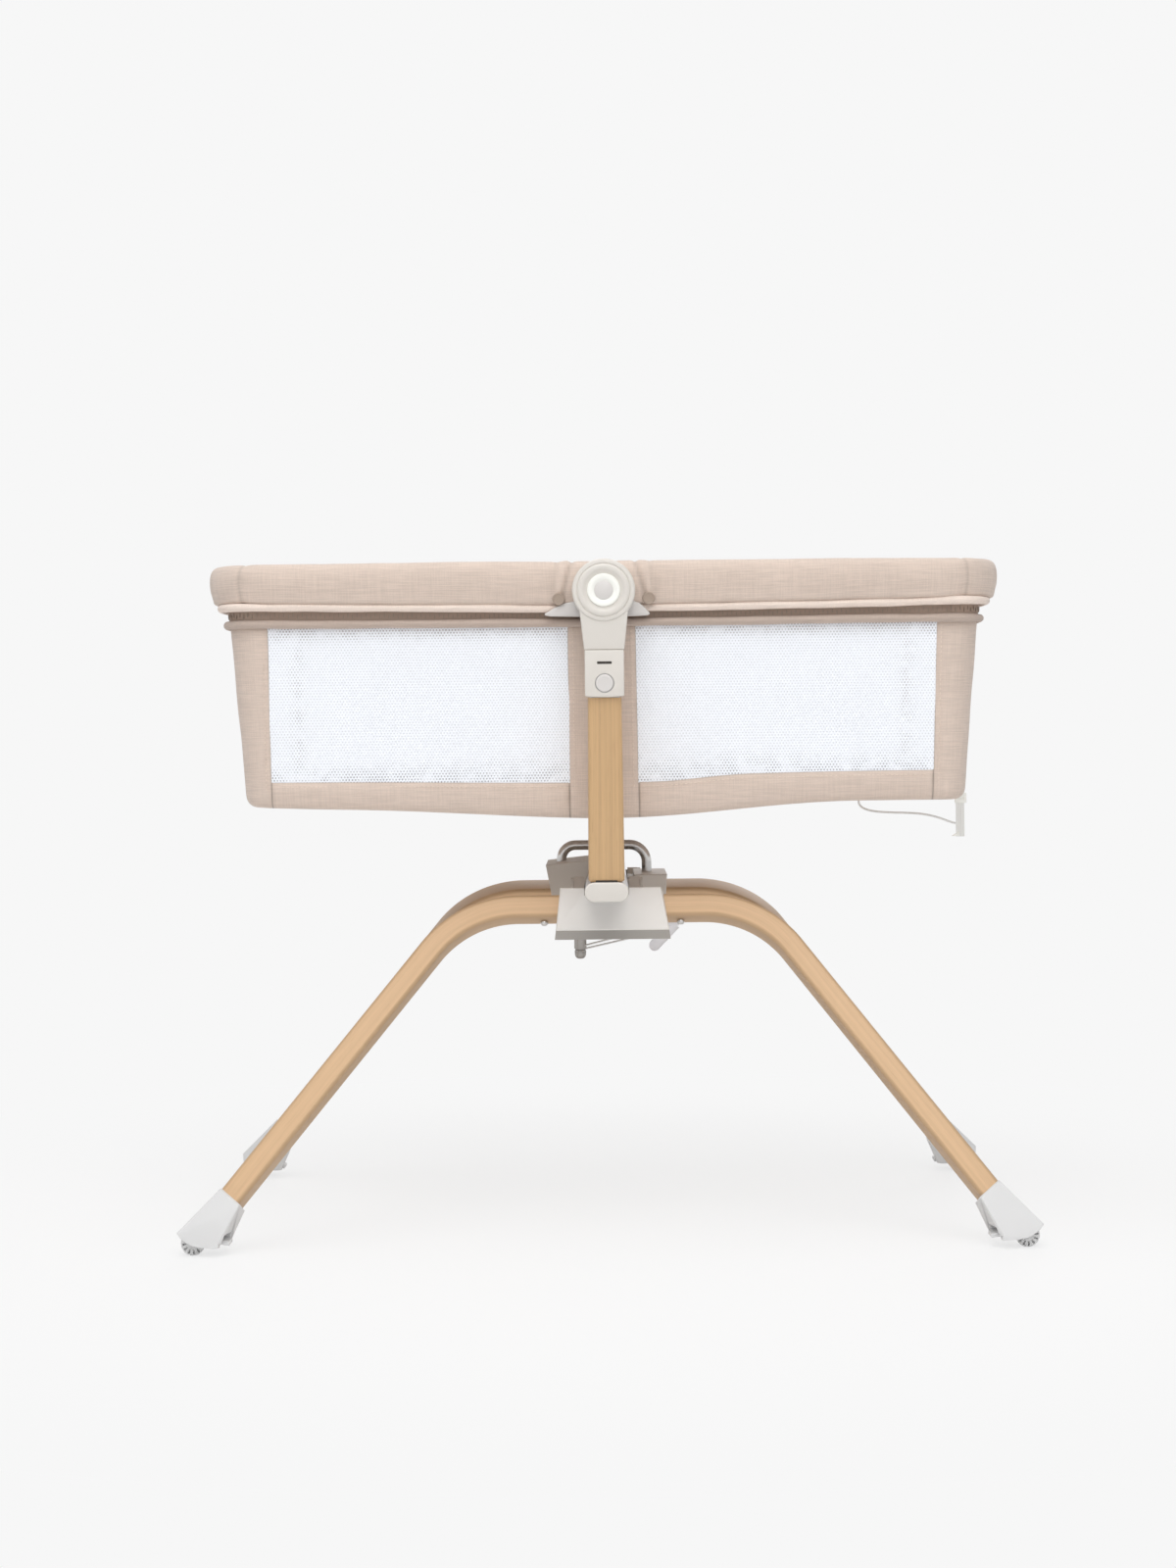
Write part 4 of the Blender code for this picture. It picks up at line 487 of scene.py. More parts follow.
def look(name):
    """The material of a look, which takes its changing values from a shared group."""
    if name in LOOKS:
        return LOOKS[name]
    if name == "net_mesh":
        return net_look()
    builder, feeds, bump, placed_by, constants = FINISHES[name]
    made, wires, shader = new_material(name)
    if placed_by:
        place = wires.attribute(placed_by, "Vector")
    else:
        place = wires.node("TexCoord").outputs["Object"]
    effect = wires.node("Group", node_tree=shared_group(builder))
    wires.give(effect.inputs, Vector=place, **{key: chosen(value) for key, value in feeds.items()})
    # A finish's Seam input is fed the painted shade attribute.
    if "Seam" in effect.inputs:
        wires.feed(effect.inputs["Seam"], wires.attribute(PAINTED_SHADE, "Fac"))
    wires.feed(shader.inputs["Base Color"], effect.outputs["Colour"])
    if "Roughness" in effect.outputs:
        wires.feed(shader.inputs["Roughness"], effect.outputs["Roughness"])
    wires.relief(shader, *bump, effect.outputs["Height"])
    wires.give(shader.inputs, **constants)
    return made


def net_look():
    """White net that lets a little through, more near its edges, where its holes are also darkened as
    painted shade.
    """
    made, wires, shader = new_material("net_mesh")
    place = wires.attribute(CLOTH, "Vector")
    holes = wires.node("Group", node_tree=shared_group(net_holes))
    wires.give(holes.inputs, Vector=place, Pitch=sizes().net_pitch)
    hole = holes.outputs["Hole"]
    patchy = wires.band(wires.noise(place, 60.0, 2.0), 0.34, 0.60)
    shaded_edge = wires.times(wires.attribute(PAINTED_SHADE, "Fac"), patchy)
    # Holes near the edges are darkened as painted shade, and let more through.
    depth = wires.times(hole, wires.maths("MULTIPLY_ADD", shaded_edge, 0.46, 0.06))
    tone = wires.less(holes.outputs["Tone"], wires.times(depth, 12.0))
    wires.feed(shader.inputs["Base Color"], wires.shade(colours().net, tone, 0.05))
    opening = wires.times(hole, wires.maths("MULTIPLY_ADD", shaded_edge, 0.36, 0.20))
    wires.give(shader.inputs, Alpha=wires.less(1.0, opening), Roughness=0.75)
    wires.relief(shader, 0.4, 0.0005, holes.outputs["Height"])
    return made


# Making and shaping a piece by its operators

def only(piece):
    """Makes one piece the only selected and the active one."""
    bpy.ops.object.select_all(action="DESELECT")
    piece.select_set(True)
    bpy.context.view_layer.objects.active = piece


def begin_edit(piece, kind="FACE", select="DESELECT"):
    only(piece)
    bpy.ops.object.mode_set(mode="EDIT")
    bpy.ops.mesh.select_mode(type=kind)
    bpy.ops.mesh.select_all(action=select)


def end_edit():
    bpy.ops.object.mode_set(mode="OBJECT")


def pick(piece, kind, test):
    """Selects the parts of the piece in edit mode that pass the test."""
    bm = bmesh.from_edit_mesh(piece.data)
    for part in getattr(bm, kind):
        if test(part):
            part.select_set(True)
    bm.select_flush_mode()
    bmesh.update_edit_mesh(piece.data)


def named(name):
    """Names the piece just added, and its mesh."""
    piece = bpy.context.object
    piece.name = name
    piece.data.name = name
    return piece


def set_down(piece):
    """Applies the piece's place and turn."""
    only(piece)
    bpy.ops.object.transform_apply(location=True, rotation=True, scale=True)


def extrude(travel):
    bpy.ops.mesh.extrude_region_move(TRANSFORM_OT_translate={"value": travel})


def outwards(piece):
    begin_edit(piece, select="SELECT")
    bpy.ops.mesh.remove_doubles(threshold=0.00001)
    bpy.ops.mesh.normals_make_consistent(inside=False)
    end_edit()


def modified(piece, kind, **settings):
    """Adds a modifier, sets it and applies it."""
    only(piece)
    bpy.ops.object.modifier_add(type=kind)
    change = piece.modifiers[-1]
    set_values(change, settings)
    bpy.ops.object.modifier_apply(modifier=change.name)


def round_edges(piece, width, segments=3, angle=30):
    modified(piece, "BEVEL", width=width, segments=segments, limit_method="ANGLE",
             angle_limit=math.radians(angle), harden_normals=False)


def smooth(piece, angle=35):
    only(piece)
    bpy.ops.object.shade_smooth_by_angle(angle=math.radians(angle))


def subdivided(piece, levels):
    modified(piece, "SUBSURF", levels=levels, render_levels=levels)


def slab(name, low, high):
    """A cube primitive at its size and place."""
    low, high = Vector(low), Vector(high)
    bpy.ops.mesh.primitive_cube_add(size=1, location=(low + high) / 2, scale=high - low)
    piece = named(name)
    set_down(piece)
    return piece


def disc(name, count, radius=1):
    """A filled circle primitive of so many points."""
    bpy.ops.mesh.primitive_circle_add(vertices=count, radius=radius, fill_type="NGON")
    return named(name)


def plate(name, outline, low, high):
    """An outline of (x, z) extruded from low to high y."""
    piece = disc(name, len(outline))
    for point, (x, z) in zip(piece.data.vertices, outline):
        point.co = (x, low, z)
    begin_edit(piece, select="SELECT")
    extrude((0, high - low, 0))
    end_edit()
    outwards(piece)
    return piece


TURNS = {"Y": (-math.pi / 2, 0, 0), "Z": (0, 0, 0)}


def turned(name, profile, centre=(0, 0, 0), axis="Z", sides=64):
    """A disc extruded and scaled ring by ring along an axis: (radius, distance)."""
    radius, height = profile[0]
    piece = disc(name, sides, radius)
    begin_edit(piece, select="SELECT")
    bpy.ops.transform.translate(value=(0, 0, height))
    for next_radius, next_height in profile[1:]:
        extrude((0, 0, next_height - height))
        share = next_radius / radius
        bpy.ops.transform.resize(value=(share, share, 1), center_override=(0, 0, next_height))
        radius, height = next_radius, next_height
    end_edit()
    piece.rotation_euler = TURNS[axis]
    piece.location = centre
    set_down(piece)
    outwards(piece)
    return piece


def faced(name, face, z, profile, sides=64):
    """A far piece turned across the crib: (radius, rise over its face)."""
    rings = [(radius, face + rise) for radius, rise in profile]
    return turned(name, rings, (0, 0, z), "Y", sides)


def run(name, section, start, heading, across, moves):
    """Extrudes a section along straight runs and spins it round bends, in one plane.

    section holds (inward, sideways) pairs; across is the plane's normal. A move is a distance,
    or an (angle, radius, steps) bend towards the inner side.
    """
    heading, across, spot = Vector(heading).normalized(), Vector(across).normalized(), Vector(start)
    inward = across.cross(heading)
    piece = disc(name, len(section))
    for point, (a, b) in zip(piece.data.vertices, section):
        point.co = spot + inward * a + across * b
    begin_edit(piece, select="SELECT")
    for move in moves:
        if isinstance(move, tuple):
            angle, radius, steps = move
            centre = spot + inward * radius
            bpy.ops.mesh.spin(steps=steps, angle=-angle, center=centre, axis=across)
            turn = Matrix.Rotation(angle, 3, across)
            spot = centre + turn @ (spot - centre)
            heading = turn @ heading
            inward = turn @ inward
        else:
            extrude(heading * move)
            spot = spot + heading * move
    end_edit()
    outwards(piece)
    return piece


def ring_section(radius, sides=20):
    return [radius * ray(2 * math.pi * i / sides) for i in range(sides)]


def round_corners(half_x, half_y, corner, steps):
    """The points of a rectangle's four round corners, from its near right one on."""
    return [[Vector((sx * (half_x - corner), sy * (half_y - corner)))
             + corner * ray((quarter - 1 + i / steps) * math.pi / 2) for i in range(steps + 1)]
            for quarter, (sx, sy) in enumerate(((1, -1), (1, 1), (-1, 1), (-1, -1)))]


def rounded_section(width, height, corner, steps=5):
    """A rectangle with round corners, centred."""
    return sum(round_corners(width / 2, height / 2, corner, steps), [])


def discard(piece):
    """Removes a used tool or master."""
    bpy.data.objects.remove(piece, do_unlink=True)


def cut_away(piece, tool):
    """Takes the tool's shape out of the piece."""
    modified(piece, "BOOLEAN", operation="DIFFERENCE", solver="EXACT", object=tool)
    discard(tool)


def joined(name, pieces):
    """Joins several pieces into one."""
    only(pieces[0])
    for piece in pieces:
        piece.select_set(True)
    bpy.ops.object.join()
    return named(name)


def copied(piece, name, moved):
    """A copy with its own mesh, moved or mirrored into place."""
    only(piece)
    bpy.ops.object.duplicate()
    made = named(name)
    made.data.transform(moved)
    if moved.determinant() < 0:
        outwards(made)
    return made


MIRROR_Y = Matrix.Diagonal((1, -1, 1, 1))


def on_both_sides(piece):
    """A far piece and its mirrored copy, with their sides' names and directions."""
    base = piece.name
    near = copied(piece, f"{base}_near", MIRROR_Y)
    piece.name = piece.data.name = f"{base}_far"
    return ("near", SIDES["near"], near), ("far", SIDES["far"], piece)


def put_on(piece, finish_name, slot, body, *nodes):
    """Gives a piece its look, its body and the nodes it replaces; slot is not used."""
    piece.data.materials.clear()
    piece.data.materials.append(look(finish_name))
    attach(piece, body)
    if nodes:
        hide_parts(*nodes)


def finish(piece, angle, finish_name, slot, body, *nodes):
    """Smooths a piece up to an angle and puts its look and body on it; slot is not used."""
    smooth(piece, angle)
    put_on(piece, finish_name, slot, body, *nodes)


def finish_both(piece, angle, finish_name, slot, body, *nodes):
    """Finishes a far piece and its mirrored copy; {} is the side's name."""
    for side_name, _, made in on_both_sides(piece):
        finish(made, angle, finish_name, slot, body.format(side_name),
               *(node.format(side_name) for node in nodes))


def refined(node, name, width, segments=2, angle=30):
    """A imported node's copy with its triangles merged and its edges rounded."""
    source = frame["nodes"][node]
    only(source)
    bpy.ops.object.duplicate()
    piece = named(name)
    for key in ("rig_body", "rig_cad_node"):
        if key in piece:
            del piece[key]
    bpy.ops.object.parent_clear(type="CLEAR_KEEP_TRANSFORM")
    begin_edit(piece, select="SELECT")
    bpy.ops.mesh.remove_doubles(threshold=0.00002)
    bpy.ops.mesh.dissolve_limited(angle_limit=math.radians(1))
    bpy.ops.mesh.normals_make_consistent(inside=False)
    end_edit()
    if width:
        round_edges(piece, width, segments, angle)
    smooth(piece)
    return piece


def store(piece, name, values, kind="FLOAT_VECTOR"):
    """Keeps a value for every vertex."""
    layer = piece.data.attributes.new(name, kind, "POINT")
    key = "vector" if kind == "FLOAT_VECTOR" else "value"
    for item, value in zip(layer.data, values):
        setattr(item, key, value)


def set_attribute(piece, name, reader):
    """Keeps a place in the material's space for every vertex."""
    store(piece, name, [reader(vertex.co) for vertex in piece.data.vertices])


def from_bmesh(name, bm):
    """Makes a piece of a mesh under work."""
    bmesh.ops.recalc_face_normals(bm, faces=bm.faces)
    mesh = bpy.data.meshes.new(name)
    bm.to_mesh(mesh)
    bm.free()
    piece = bpy.data.objects.new(name, mesh)
    bpy.context.scene.collection.objects.link(piece)
    return piece


def skin(name, rings, closed_round=True, caps=False):
    """A mesh through rings of points."""
    bm = bmesh.new()
    loops = [[bm.verts.new(point) for point in ring] for ring in rings]
    count = len(loops[0])
    for first, second in zip(loops, loops[1:]):
        for i in range(count if closed_round else count - 1):
            after = (i + 1) % count
            bm.faces.new((first[i], first[after], second[after], second[i]))
    if caps:
        bm.faces.new(loops[0])
        bm.faces.new(list(reversed(loops[-1])))
    return from_bmesh(name, bm)


def rounded_loop(half_x, half_y, corner, corner_steps, long_steps, short_steps):
    """Points right round a rectangle with round corners."""
    corners = round_corners(half_x, half_y, corner, corner_steps)
    points = []
    for quarter, arc in enumerate(corners):
        following = corners[(quarter + 1) % 4][0]
        steps = long_steps if quarter % 2 else short_steps
        points += arc[:-1] + [arc[-1].lerp(following, i / steps) for i in range(steps)]
    return points


def outward_at(line, index):
    """The outward direction of a closed level line at one of its points."""
    before, after = line[index - 1], line[(index + 1) % len(line)]
    return Vector(((after - before).y, -(after - before).x)).normalized()


def catmull(before, start, end, after, t):
    """A point at share t of a smooth curve from start to end."""
    return 0.5 * (2 * start + (end - before) * t + (2 * before - 5 * start + 4 * end - after) * t * t
                  + (3 * start - before - 3 * end + after) * t ** 3)


def mix(a, b, t):
    return a + (b - a) * t


def ray(angle):
    """The plan direction at an angle."""
    return Vector((math.cos(angle), math.sin(angle)))


def soft_noise(x, y, z):
    """A soft wave between -1 and 1."""
    return noise.noise(Vector((x, y, z)))


def soft_step(value, low, high):
    """0 below low, 1 above high, smooth between."""
    share = max(0.0, min(1.0, (value - low) / (high - low)))
    return share * share * (3 - 2 * share)


def bell(distance, width):
    """1 at no distance, soft over a width."""
    return math.exp(-(distance / width) ** 2)


# Camera and stage

CAMERA_DISTANCE, CAMERA_HEIGHT, CAMERA_ROLL = 3.48, 0.602, 0.0105
CAMERA_SETTINGS = {
    "lens": 64.69, "sensor_width": 36.0, "sensor_fit": "AUTO", "shift_x": -0.0108,
    "shift_y": -0.0406, "clip_end": 60,
}


def set_values(item, values):
    for key, value in values.items():
        setattr(item, key, value)


def make_camera():
    """A camera level with the basket, square to its long side."""
    bpy.ops.object.camera_add(location=(0, -CAMERA_DISTANCE, CAMERA_HEIGHT),
                              rotation=(math.pi / 2, CAMERA_ROLL, 0))
    camera = bpy.context.object
    camera.name = "photo_camera"
    set_values(camera.data, CAMERA_SETTINGS)
    bpy.context.scene.camera = camera


BACKDROP = srgb(247, 247, 247)
FLOOR_TONE = (0.22, 0.22, 0.22, 1.0)
FLOOR_LIFT = 0.70
FLOOR_RADIUS = 14
FADE_START, FADE_END = 0.6, 1.3
WORLD_STRENGTH = 0.50
# Each lamp's place, width and power
LAMPS = {
    "top_light": ((-0.5, -0.9, 3.4), 2.6, 38.0),
    "front_light": ((0.25, -2.9, 2.9), 3.2, 53.0),
    "back_light": ((0.6, 3.4, 2.0), 2.4, 24.0),
}
LAMP_AIM = Vector((0, 0, 0.45))


def floor_material():
    """Pale floor that fades into the backdrop's tone."""
    made, wires, shader = new_material("pale_floor")
    seen = wires.node("LightPath").outputs["Is Camera Ray"]
    wires.give(shader.inputs, **{
        "Base Color": wires.blend(seen, BACKDROP, FLOOR_TONE), "Roughness": 0.9,
        "Specular IOR Level": 0.1, "Emission Color": WHITE,
        "Emission Strength": wires.times(seen, FLOOR_LIFT)})
    place = wires.node("TexCoord").outputs["Object"]
    reach = wires.node("VectorMath", operation="LENGTH")
    wires.feed(reach.inputs[0], place)
    fade = wires.times(wires.band(reach.outputs["Value"], FADE_START, FADE_END), seen)
    glow = wires.node("Emission", {"Color": BACKDROP, "Strength": 1.0}).outputs[0]
    mixed = wires.in_order("MixShader", (fade, shader.outputs[0], glow))
    wires.feed(made.node_tree.nodes["Material Output"].inputs["Surface"], mixed)
    return made


def make_world():
    """A plain backdrop for camera and mirrors, and a softer white light."""
    world = bpy.data.worlds.new("soft_studio")
    bpy.context.scene.world = world
    world.use_nodes = True
    wires = Wiring(world.node_tree)
    rays = wires.node("LightPath").outputs
    mirrored = wires.maths("MAXIMUM", rays["Is Glossy Ray"], rays["Is Transmission Ray"])
    seen = wires.maths("MAXIMUM", rays["Is Camera Ray"], mirrored)
    light, plain = (
        wires.node("Background", {"Color": colour, "Strength": strength}).outputs[0]
        for colour, strength in ((WHITE, WORLD_STRENGTH), (BACKDROP, 1.0)))
    mixed = wires.in_order("MixShader", (seen, light, plain))
    wires.feed(world.node_tree.nodes["World Output"].inputs["Surface"], mixed)


def make_stage():
    """The floor, the world and three round lamps aimed at the crib."""
    floor = disc("studio_floor", 96, FLOOR_RADIUS)
    floor.data.materials.append(floor_material())
    make_world()
    for name, (place, width, power) in LAMPS.items():
        bpy.ops.object.light_add(type="AREA", location=place)
        lamp = bpy.context.object
        lamp.name = name
        set_values(lamp.data, {"shape": "DISK", "size": width, "energy": power})
        aim = LAMP_AIM - Vector(place)
        lamp.rotation_euler = aim.to_track_quat("-Z", "Y").to_euler()
    bpy.context.scene.view_settings.view_transform = "Standard"


# Tether cord, strap and buckle

CURVE_CUTS = 12
CORD_STEP = 0.003
SLOT_PLAY_X, SLOT_PLAY_Y = 0.0002, 0.0004
BUCKLE_RAIL, BUCKLE_DISH = 0.0028, 0.0015
HOOK_HALF_WIDTH = 0.0019
# The hook's outline as distances from the strap's lower left corner
TAIL_HOOK = [
    (0.0005, 0.004), (-0.0045, 0.0015), (-0.005, 0.0005), (0.001, 0.0005), (0.0035, 0.0005),
    (0.0035, 0.006),
]
EYELET_RADIUS, EYELET_WIRE = 0.0038, 0.0011


def smooth_points(route, step):
    """Points at an even step along the smooth curve through a route."""
    points = [Vector(p) for p in route]
    ghost = [2 * points[0] - points[1], *points, 2 * points[-1] - points[-2]]
    fine = [catmull(*stretch, i / CURVE_CUTS)
            for stretch in zip(ghost, ghost[1:], ghost[2:], ghost[3:]) for i in range(CURVE_CUTS)]
    fine.append(points[-1])
    length = sum((b - a).length for a, b in zip(fine, fine[1:]))
    count = max(2, round(length / step))
    even, travelled, target = [fine[0]], 0.0, length / count
    for a, b in zip(fine, fine[1:]):
        part = (b - a).length
        while travelled + part >= target and len(even) < count:
            even.append(a.lerp(b, (target - travelled) / part))
            target += length / count
        travelled += part
    even.append(points[-1])
    return even


def make_tether_cord():
    """The thin cord from the underside's eyelet to the strap."""
    points = smooth_points(CORD_ROUTE, CORD_STEP)
    bpy.ops.curve.primitive_bezier_curve_add()
    cord = named("tether_cord_braid")
    cord.data.splines.clear()
    line = cord.data.splines.new("POLY")
    line.points.add(len(points) - 1)
    for spot, point in zip(line.points, points):
        spot.co = (*point, 1.0)
    set_values(cord.data, {"dimensions": "3D", "bevel_depth": CORD_DIAMETER / 2,
                           "bevel_resolution": 3, "use_fill_caps": True})
    put_on(cord, "white_cord", "white_webbing", "basket", "tether_cord")


def make_tether_strap():
    """A webbing strap with a ladder buckle and a hooked tail."""
    strap = slab("tether_webbing", STRAP_LOW, STRAP_HIGH)
    begin_edit(strap, select="SELECT")
    bpy.ops.mesh.subdivide(number_cuts=7)
    end_edit()
    round_edges(strap, 0.0003, 1)
    finish(strap, 35, "white_webbing", "white_webbing", "basket", "tether_strap")
    make_buckle()
    middle_y = (STRAP_LOW.y + STRAP_HIGH.y) / 2
    outline = [(STRAP_LOW.x + x, STRAP_LOW.z + z) for x, z in TAIL_HOOK]
    hook = plate("tether_tail_hook", outline, middle_y - HOOK_HALF_WIDTH, middle_y + HOOK_HALF_WIDTH)
    round_edges(hook, 0.0004, 2)
    finish(hook, 35, "white_face_ring", "white_webbing", "basket")
    exit_x, exit_y, _ = CORD_ROUTE[0]
    bpy.ops.mesh.primitive_torus_add(
        major_radius=EYELET_RADIUS, minor_radius=EYELET_WIRE, major_segments=32, minor_segments=10,
        location=(exit_x, exit_y, underside_z(exit_x) + 0.0002))
    eyelet = named("cord_eyelet")
    set_down(eyelet)
    finish(eyelet, 35, "bright_steel", "bright_steel", "basket")


def make_buckle():
    """The ladder buckle: slotted for the strap, dished in each face."""
    low, high = BUCKLE_LOW, BUCKLE_HIGH
    buckle = slab("tether_ladder_buckle", low, high)
    play = Vector((SLOT_PLAY_X, SLOT_PLAY_Y, 0.01))
    slot_low = Vector((STRAP_LOW.x, STRAP_LOW.y, low.z)) - play
    slot_high = Vector((STRAP_HIGH.x, STRAP_HIGH.y, high.z)) + play
    cut_away(buckle, slab("buckle_slot", slot_low, slot_high))
    sixth = (high.z - low.z) / 6
    middle = (low.z + high.z) / 2
    for face in (low.y, high.y):
        window = slab("buckle_window", (low.x + BUCKLE_RAIL, face - BUCKLE_DISH, middle - sixth),
                      (high.x - BUCKLE_RAIL, face + BUCKLE_DISH, middle + sixth))
        cut_away(buckle, window)
    round_edges(buckle, 0.0005, 2)
    finish(buckle, 35, "white_face_ring", "white_webbing", "basket", "tether_buckle")


# Rim

# The sleeve's section as shares of its half width and height, from its outer foot
SLEEVE_SECTION_SHARES = [
    (0.58, -1.00), (0.82, -0.50), (0.97, 0.00), (1.00, 0.45), (0.86, 0.80), (0.50, 0.98),
    (0.00, 1.00), (-0.55, 0.88), (-0.90, 0.60), (-1.00, 0.10), (-0.96, -0.50), (-0.70, -1.00),
]
# The press stud's (radius, rise over the sleeve)
STUD = [
    (0.0068, -0.0016), (0.0072, -0.0004), (0.0072, 0.0008), (0.0066, 0.0016), (0.0058, 0.0017),
    (0.0052, 0.0012), (0.0015, 0.0011),
]
# Half a wing, from the disc outwards: reach past its root and height over the sleeve's foot
WING_ROOT = 0.034
WING = [
    (0.0, 0.0040), (0.012, 0.0016), (0.022, -0.0030), (0.030, -0.0080), (0.034, -0.0100),
    (0.033, -0.0120), (0.027, -0.0130), (0.0, -0.0136),
]
LEFT_WING_SHARE, RIGHT_WING_SHARE = 1.0, 0.55


def rim_centre_line():
    """Plan points of the rim's right half with their outward directions, near end first."""
    half_x, half_y = TUBE_HIGH.x - TUBE_RADIUS, TUBE_HIGH.y - TUBE_RADIUS
    corner = SLEEVE_CORNER - (SLEEVE_HIGH.y - half_y)
    bend_x, bend_y = half_x - corner, half_y - corner
    start_x = SLEEVE_LOW.x - SLEEVE_TUCK
    long_run = [start_x + 0.0026 * i for i in range(20)]
    long_run += [mix(long_run[-1], bend_x, i / 34) for i in range(1, 34)]

    def bend(middle_y, start):
        angles = [start + i * math.pi / 2 / CORNER_STEPS for i in range(CORNER_STEPS + 1)]
        outs = [ray(angle) for angle in angles]
        return [(Vector((bend_x, middle_y)) + corner * out, out) for out in outs]

    points = [(Vector((x, -half_y)), Vector((0, -1))) for x in long_run]
    points += bend(-bend_y, -math.pi / 2)
    points += [(Vector((half_x, -bend_y + 2 * bend_y * i / SLEEVE_STEPS)), Vector((1, 0)))
               for i in range(1, SLEEVE_STEPS)]
    points += bend(bend_y, 0.0)
    points += [(Vector((x, half_y)), Vector((0, 1))) for x in reversed(long_run)]
    return points


def sleeve_outline(share):
    """The sleeve's section as (outward, up) at a share, straight at its foot."""
    count = len(SLEEVE_SECTION_SHARES)
    spot = share * count
    first = int(spot) % count
    t = spot - int(spot)
    around = [Vector(SLEEVE_SECTION_SHARES[(first + k) % count]) for k in (-1, 0, 1, 2)]
    return around[1].lerp(around[2], t) if first == count - 1 else catmull(*around, t)


def sleeve_seams(points, travelled):
    """Distances along the sleeve of the two sewn corner seams."""
    found = []
    for (a, _), (b, _), start in zip(points, points[1:], travelled):
        if a.x < SLEEVE_SEAM_X <= b.x or b.x < SLEEVE_SEAM_X <= a.x:
            found.append(start + (SLEEVE_SEAM_X - a.x) / (b.x - a.x) * (b - a).length)
    return found


def make_sleeve(end_name, end):
    """One padded half of the rim, with its seams, dents and gathered ends."""
    points = rim_centre_line()
    travelled = [0.0]
    for (a, _), (b, _) in zip(points, points[1:]):
        travelled.append(travelled[-1] + (b - a).length)
    total = travelled[-1]
    seams = sleeve_seams(points, travelled)
    half_width = SLEEVE_HIGH.y - TUBE_HIGH.y + TUBE_RADIUS
    tube_z = TUBE_HIGH.z - TUBE_RADIUS
    up, down = SLEEVE_HIGH.z - tube_z, tube_z - SLEEVE_LOW.z
    rings, cloth_places, seam_and_fold_shade = [], [], []
    for (spot, out), along in zip(points, travelled):
        from_end = min(along, total - along)
        seam = min(abs(along - s) for s in seams)
        gather = 1 - 0.16 * bell(from_end, 0.004)
        foot = down - rim_rise(spot.x)
        pinch = 0.0013 * bell(seam, 0.0030)
        ring = []
        around = 0.0
        for i in range(SECTION_POINTS):
            share = i / SECTION_POINTS
            a, b = sleeve_outline(share)
            lean = soft_noise(along * 9, share * 3.0, end * 5.0)
            ripple = soft_noise(along * 38, share * 5.0, 3.0 + end)
            swelling = 0.0011 * lean + 0.0005 * ripple
            reach = from_end + SLEEVE_LOW.x - SLEEVE_TUCK - (0.0430 - 0.0067 * b)
            fold = (0.0010 * bell(reach - 0.006, 0.0035) - 0.0026 * bell(reach, 0.0022)
                    - 0.0011 * bell(reach - 0.013 - 0.004 * b, 0.0030))
            offset = Vector((a * half_width, b * (up if b > 0 else foot))) * gather
            offset += Vector((a, b)).normalized() * (swelling + fold - pinch)
            offset.y = max(min(offset.y, up + 0.0006), -foot)
            place = spot + out * offset.x
            point = Vector((end * place.x, place.y, tube_z + offset.y))
            around += (point - ring[-1]).length if ring else 0.0
            ring.append(point)
            cloth_places.append(Vector((along + end * 3.0, around, 0)))
            # Painted shade: the cloth darkens along the sewn seams and in the gathered folds.
            seam_and_fold_shade.append(max(0.55 * bell(seam, SEAM_EDGE), -fold * 150))
        rings.append(ring)
    piece = skin(f"padded_sleeve_{end_name}", rings, caps=True)
    store(piece, CLOTH, cloth_places)
    store(piece, PAINTED_SHADE, seam_and_fold_shade, "FLOAT")
    subdivided(piece, 1)
    finish(piece, 50, "linen_cloth", "linen", "basket", f"rim_sleeve_{end_name}")


def make_snaps():
    """One round press stud, copied to the sleeves beside the pivots."""
    stud = turned("press_stud", STUD, axis="Y", sides=40)
    for side_name, side, end_name, end in QUARTERS:
        place = Matrix.Translation((end * SNAP_X, side * (SLEEVE_HIGH.y - 0.0006),
                                    SLEEVE_LOW.z + SNAP_RISE))
        snap = copied(stud, f"snap_{side_name}_{end_name}", place @ Matrix.Diagonal((1, side, 1, 1)))
        finish(snap, 35, "snap_brown", "shade_plastic", "basket")
    discard(stud)


def make_rim_brackets():
    """The moulded blocks under the cloth that join the rim's halves."""
    for side_name in SIDES:
        node = f"rim_bracket_{side_name}"
        block = refined(node, f"rim_bracket_moulding_{side_name}", 0.0030, 4, 40)
        put_on(block, "warm_grey_plastic", "grey_plastic", "basket", node)


def make_rim_wings():
    """Pale moulded wings that show under the sleeves beside each disc."""
    right, left = ([(WING_ROOT + x * share, SLEEVE_LOW.z + z) for x, z in WING]
                   for share in (RIGHT_WING_SHARE, LEFT_WING_SHARE))
    outline = right + [(-x, z) for x, z in reversed(left)]
    wing = plate("rim_wing", outline, WING_LOW_Y, WING_HIGH_Y)
    round_edges(wing, 0.0012, 3)
    # The wings take the face centres' darker grey as painted shade under the sleeves.
    finish_both(wing, 35, "grey_face_centre", "grey_plastic", "basket")


# Basket

def wall_share(z):
    """0 at the shell's top and 1 at its foot."""
    return (SHELL_HIGH.z - z) / (SHELL_HIGH.z - SHELL_FOOT)


def wall_half_x(z):
    return mix(WALL_TOP_HALF_X, WALL_FOOT_HALF_X, wall_share(z))


def wall_half_y(z):
    return mix(WALL_TOP_HALF_Y, WALL_FOOT_HALF_Y, wall_share(z))


def wall_corner(z):
    """The basket's corner radius, tighter at the foot."""
    return mix(BASKET_CORNER, BASKET_FOOT_CORNER, wall_share(z))


def hollow(x, middle, reach):
    """1 in the middle, 0 past the reach, smooth between."""
    near = max(0.0, 1 - abs(x - middle) / reach)
    return 0.5 * (1 - math.cos(math.pi * near))


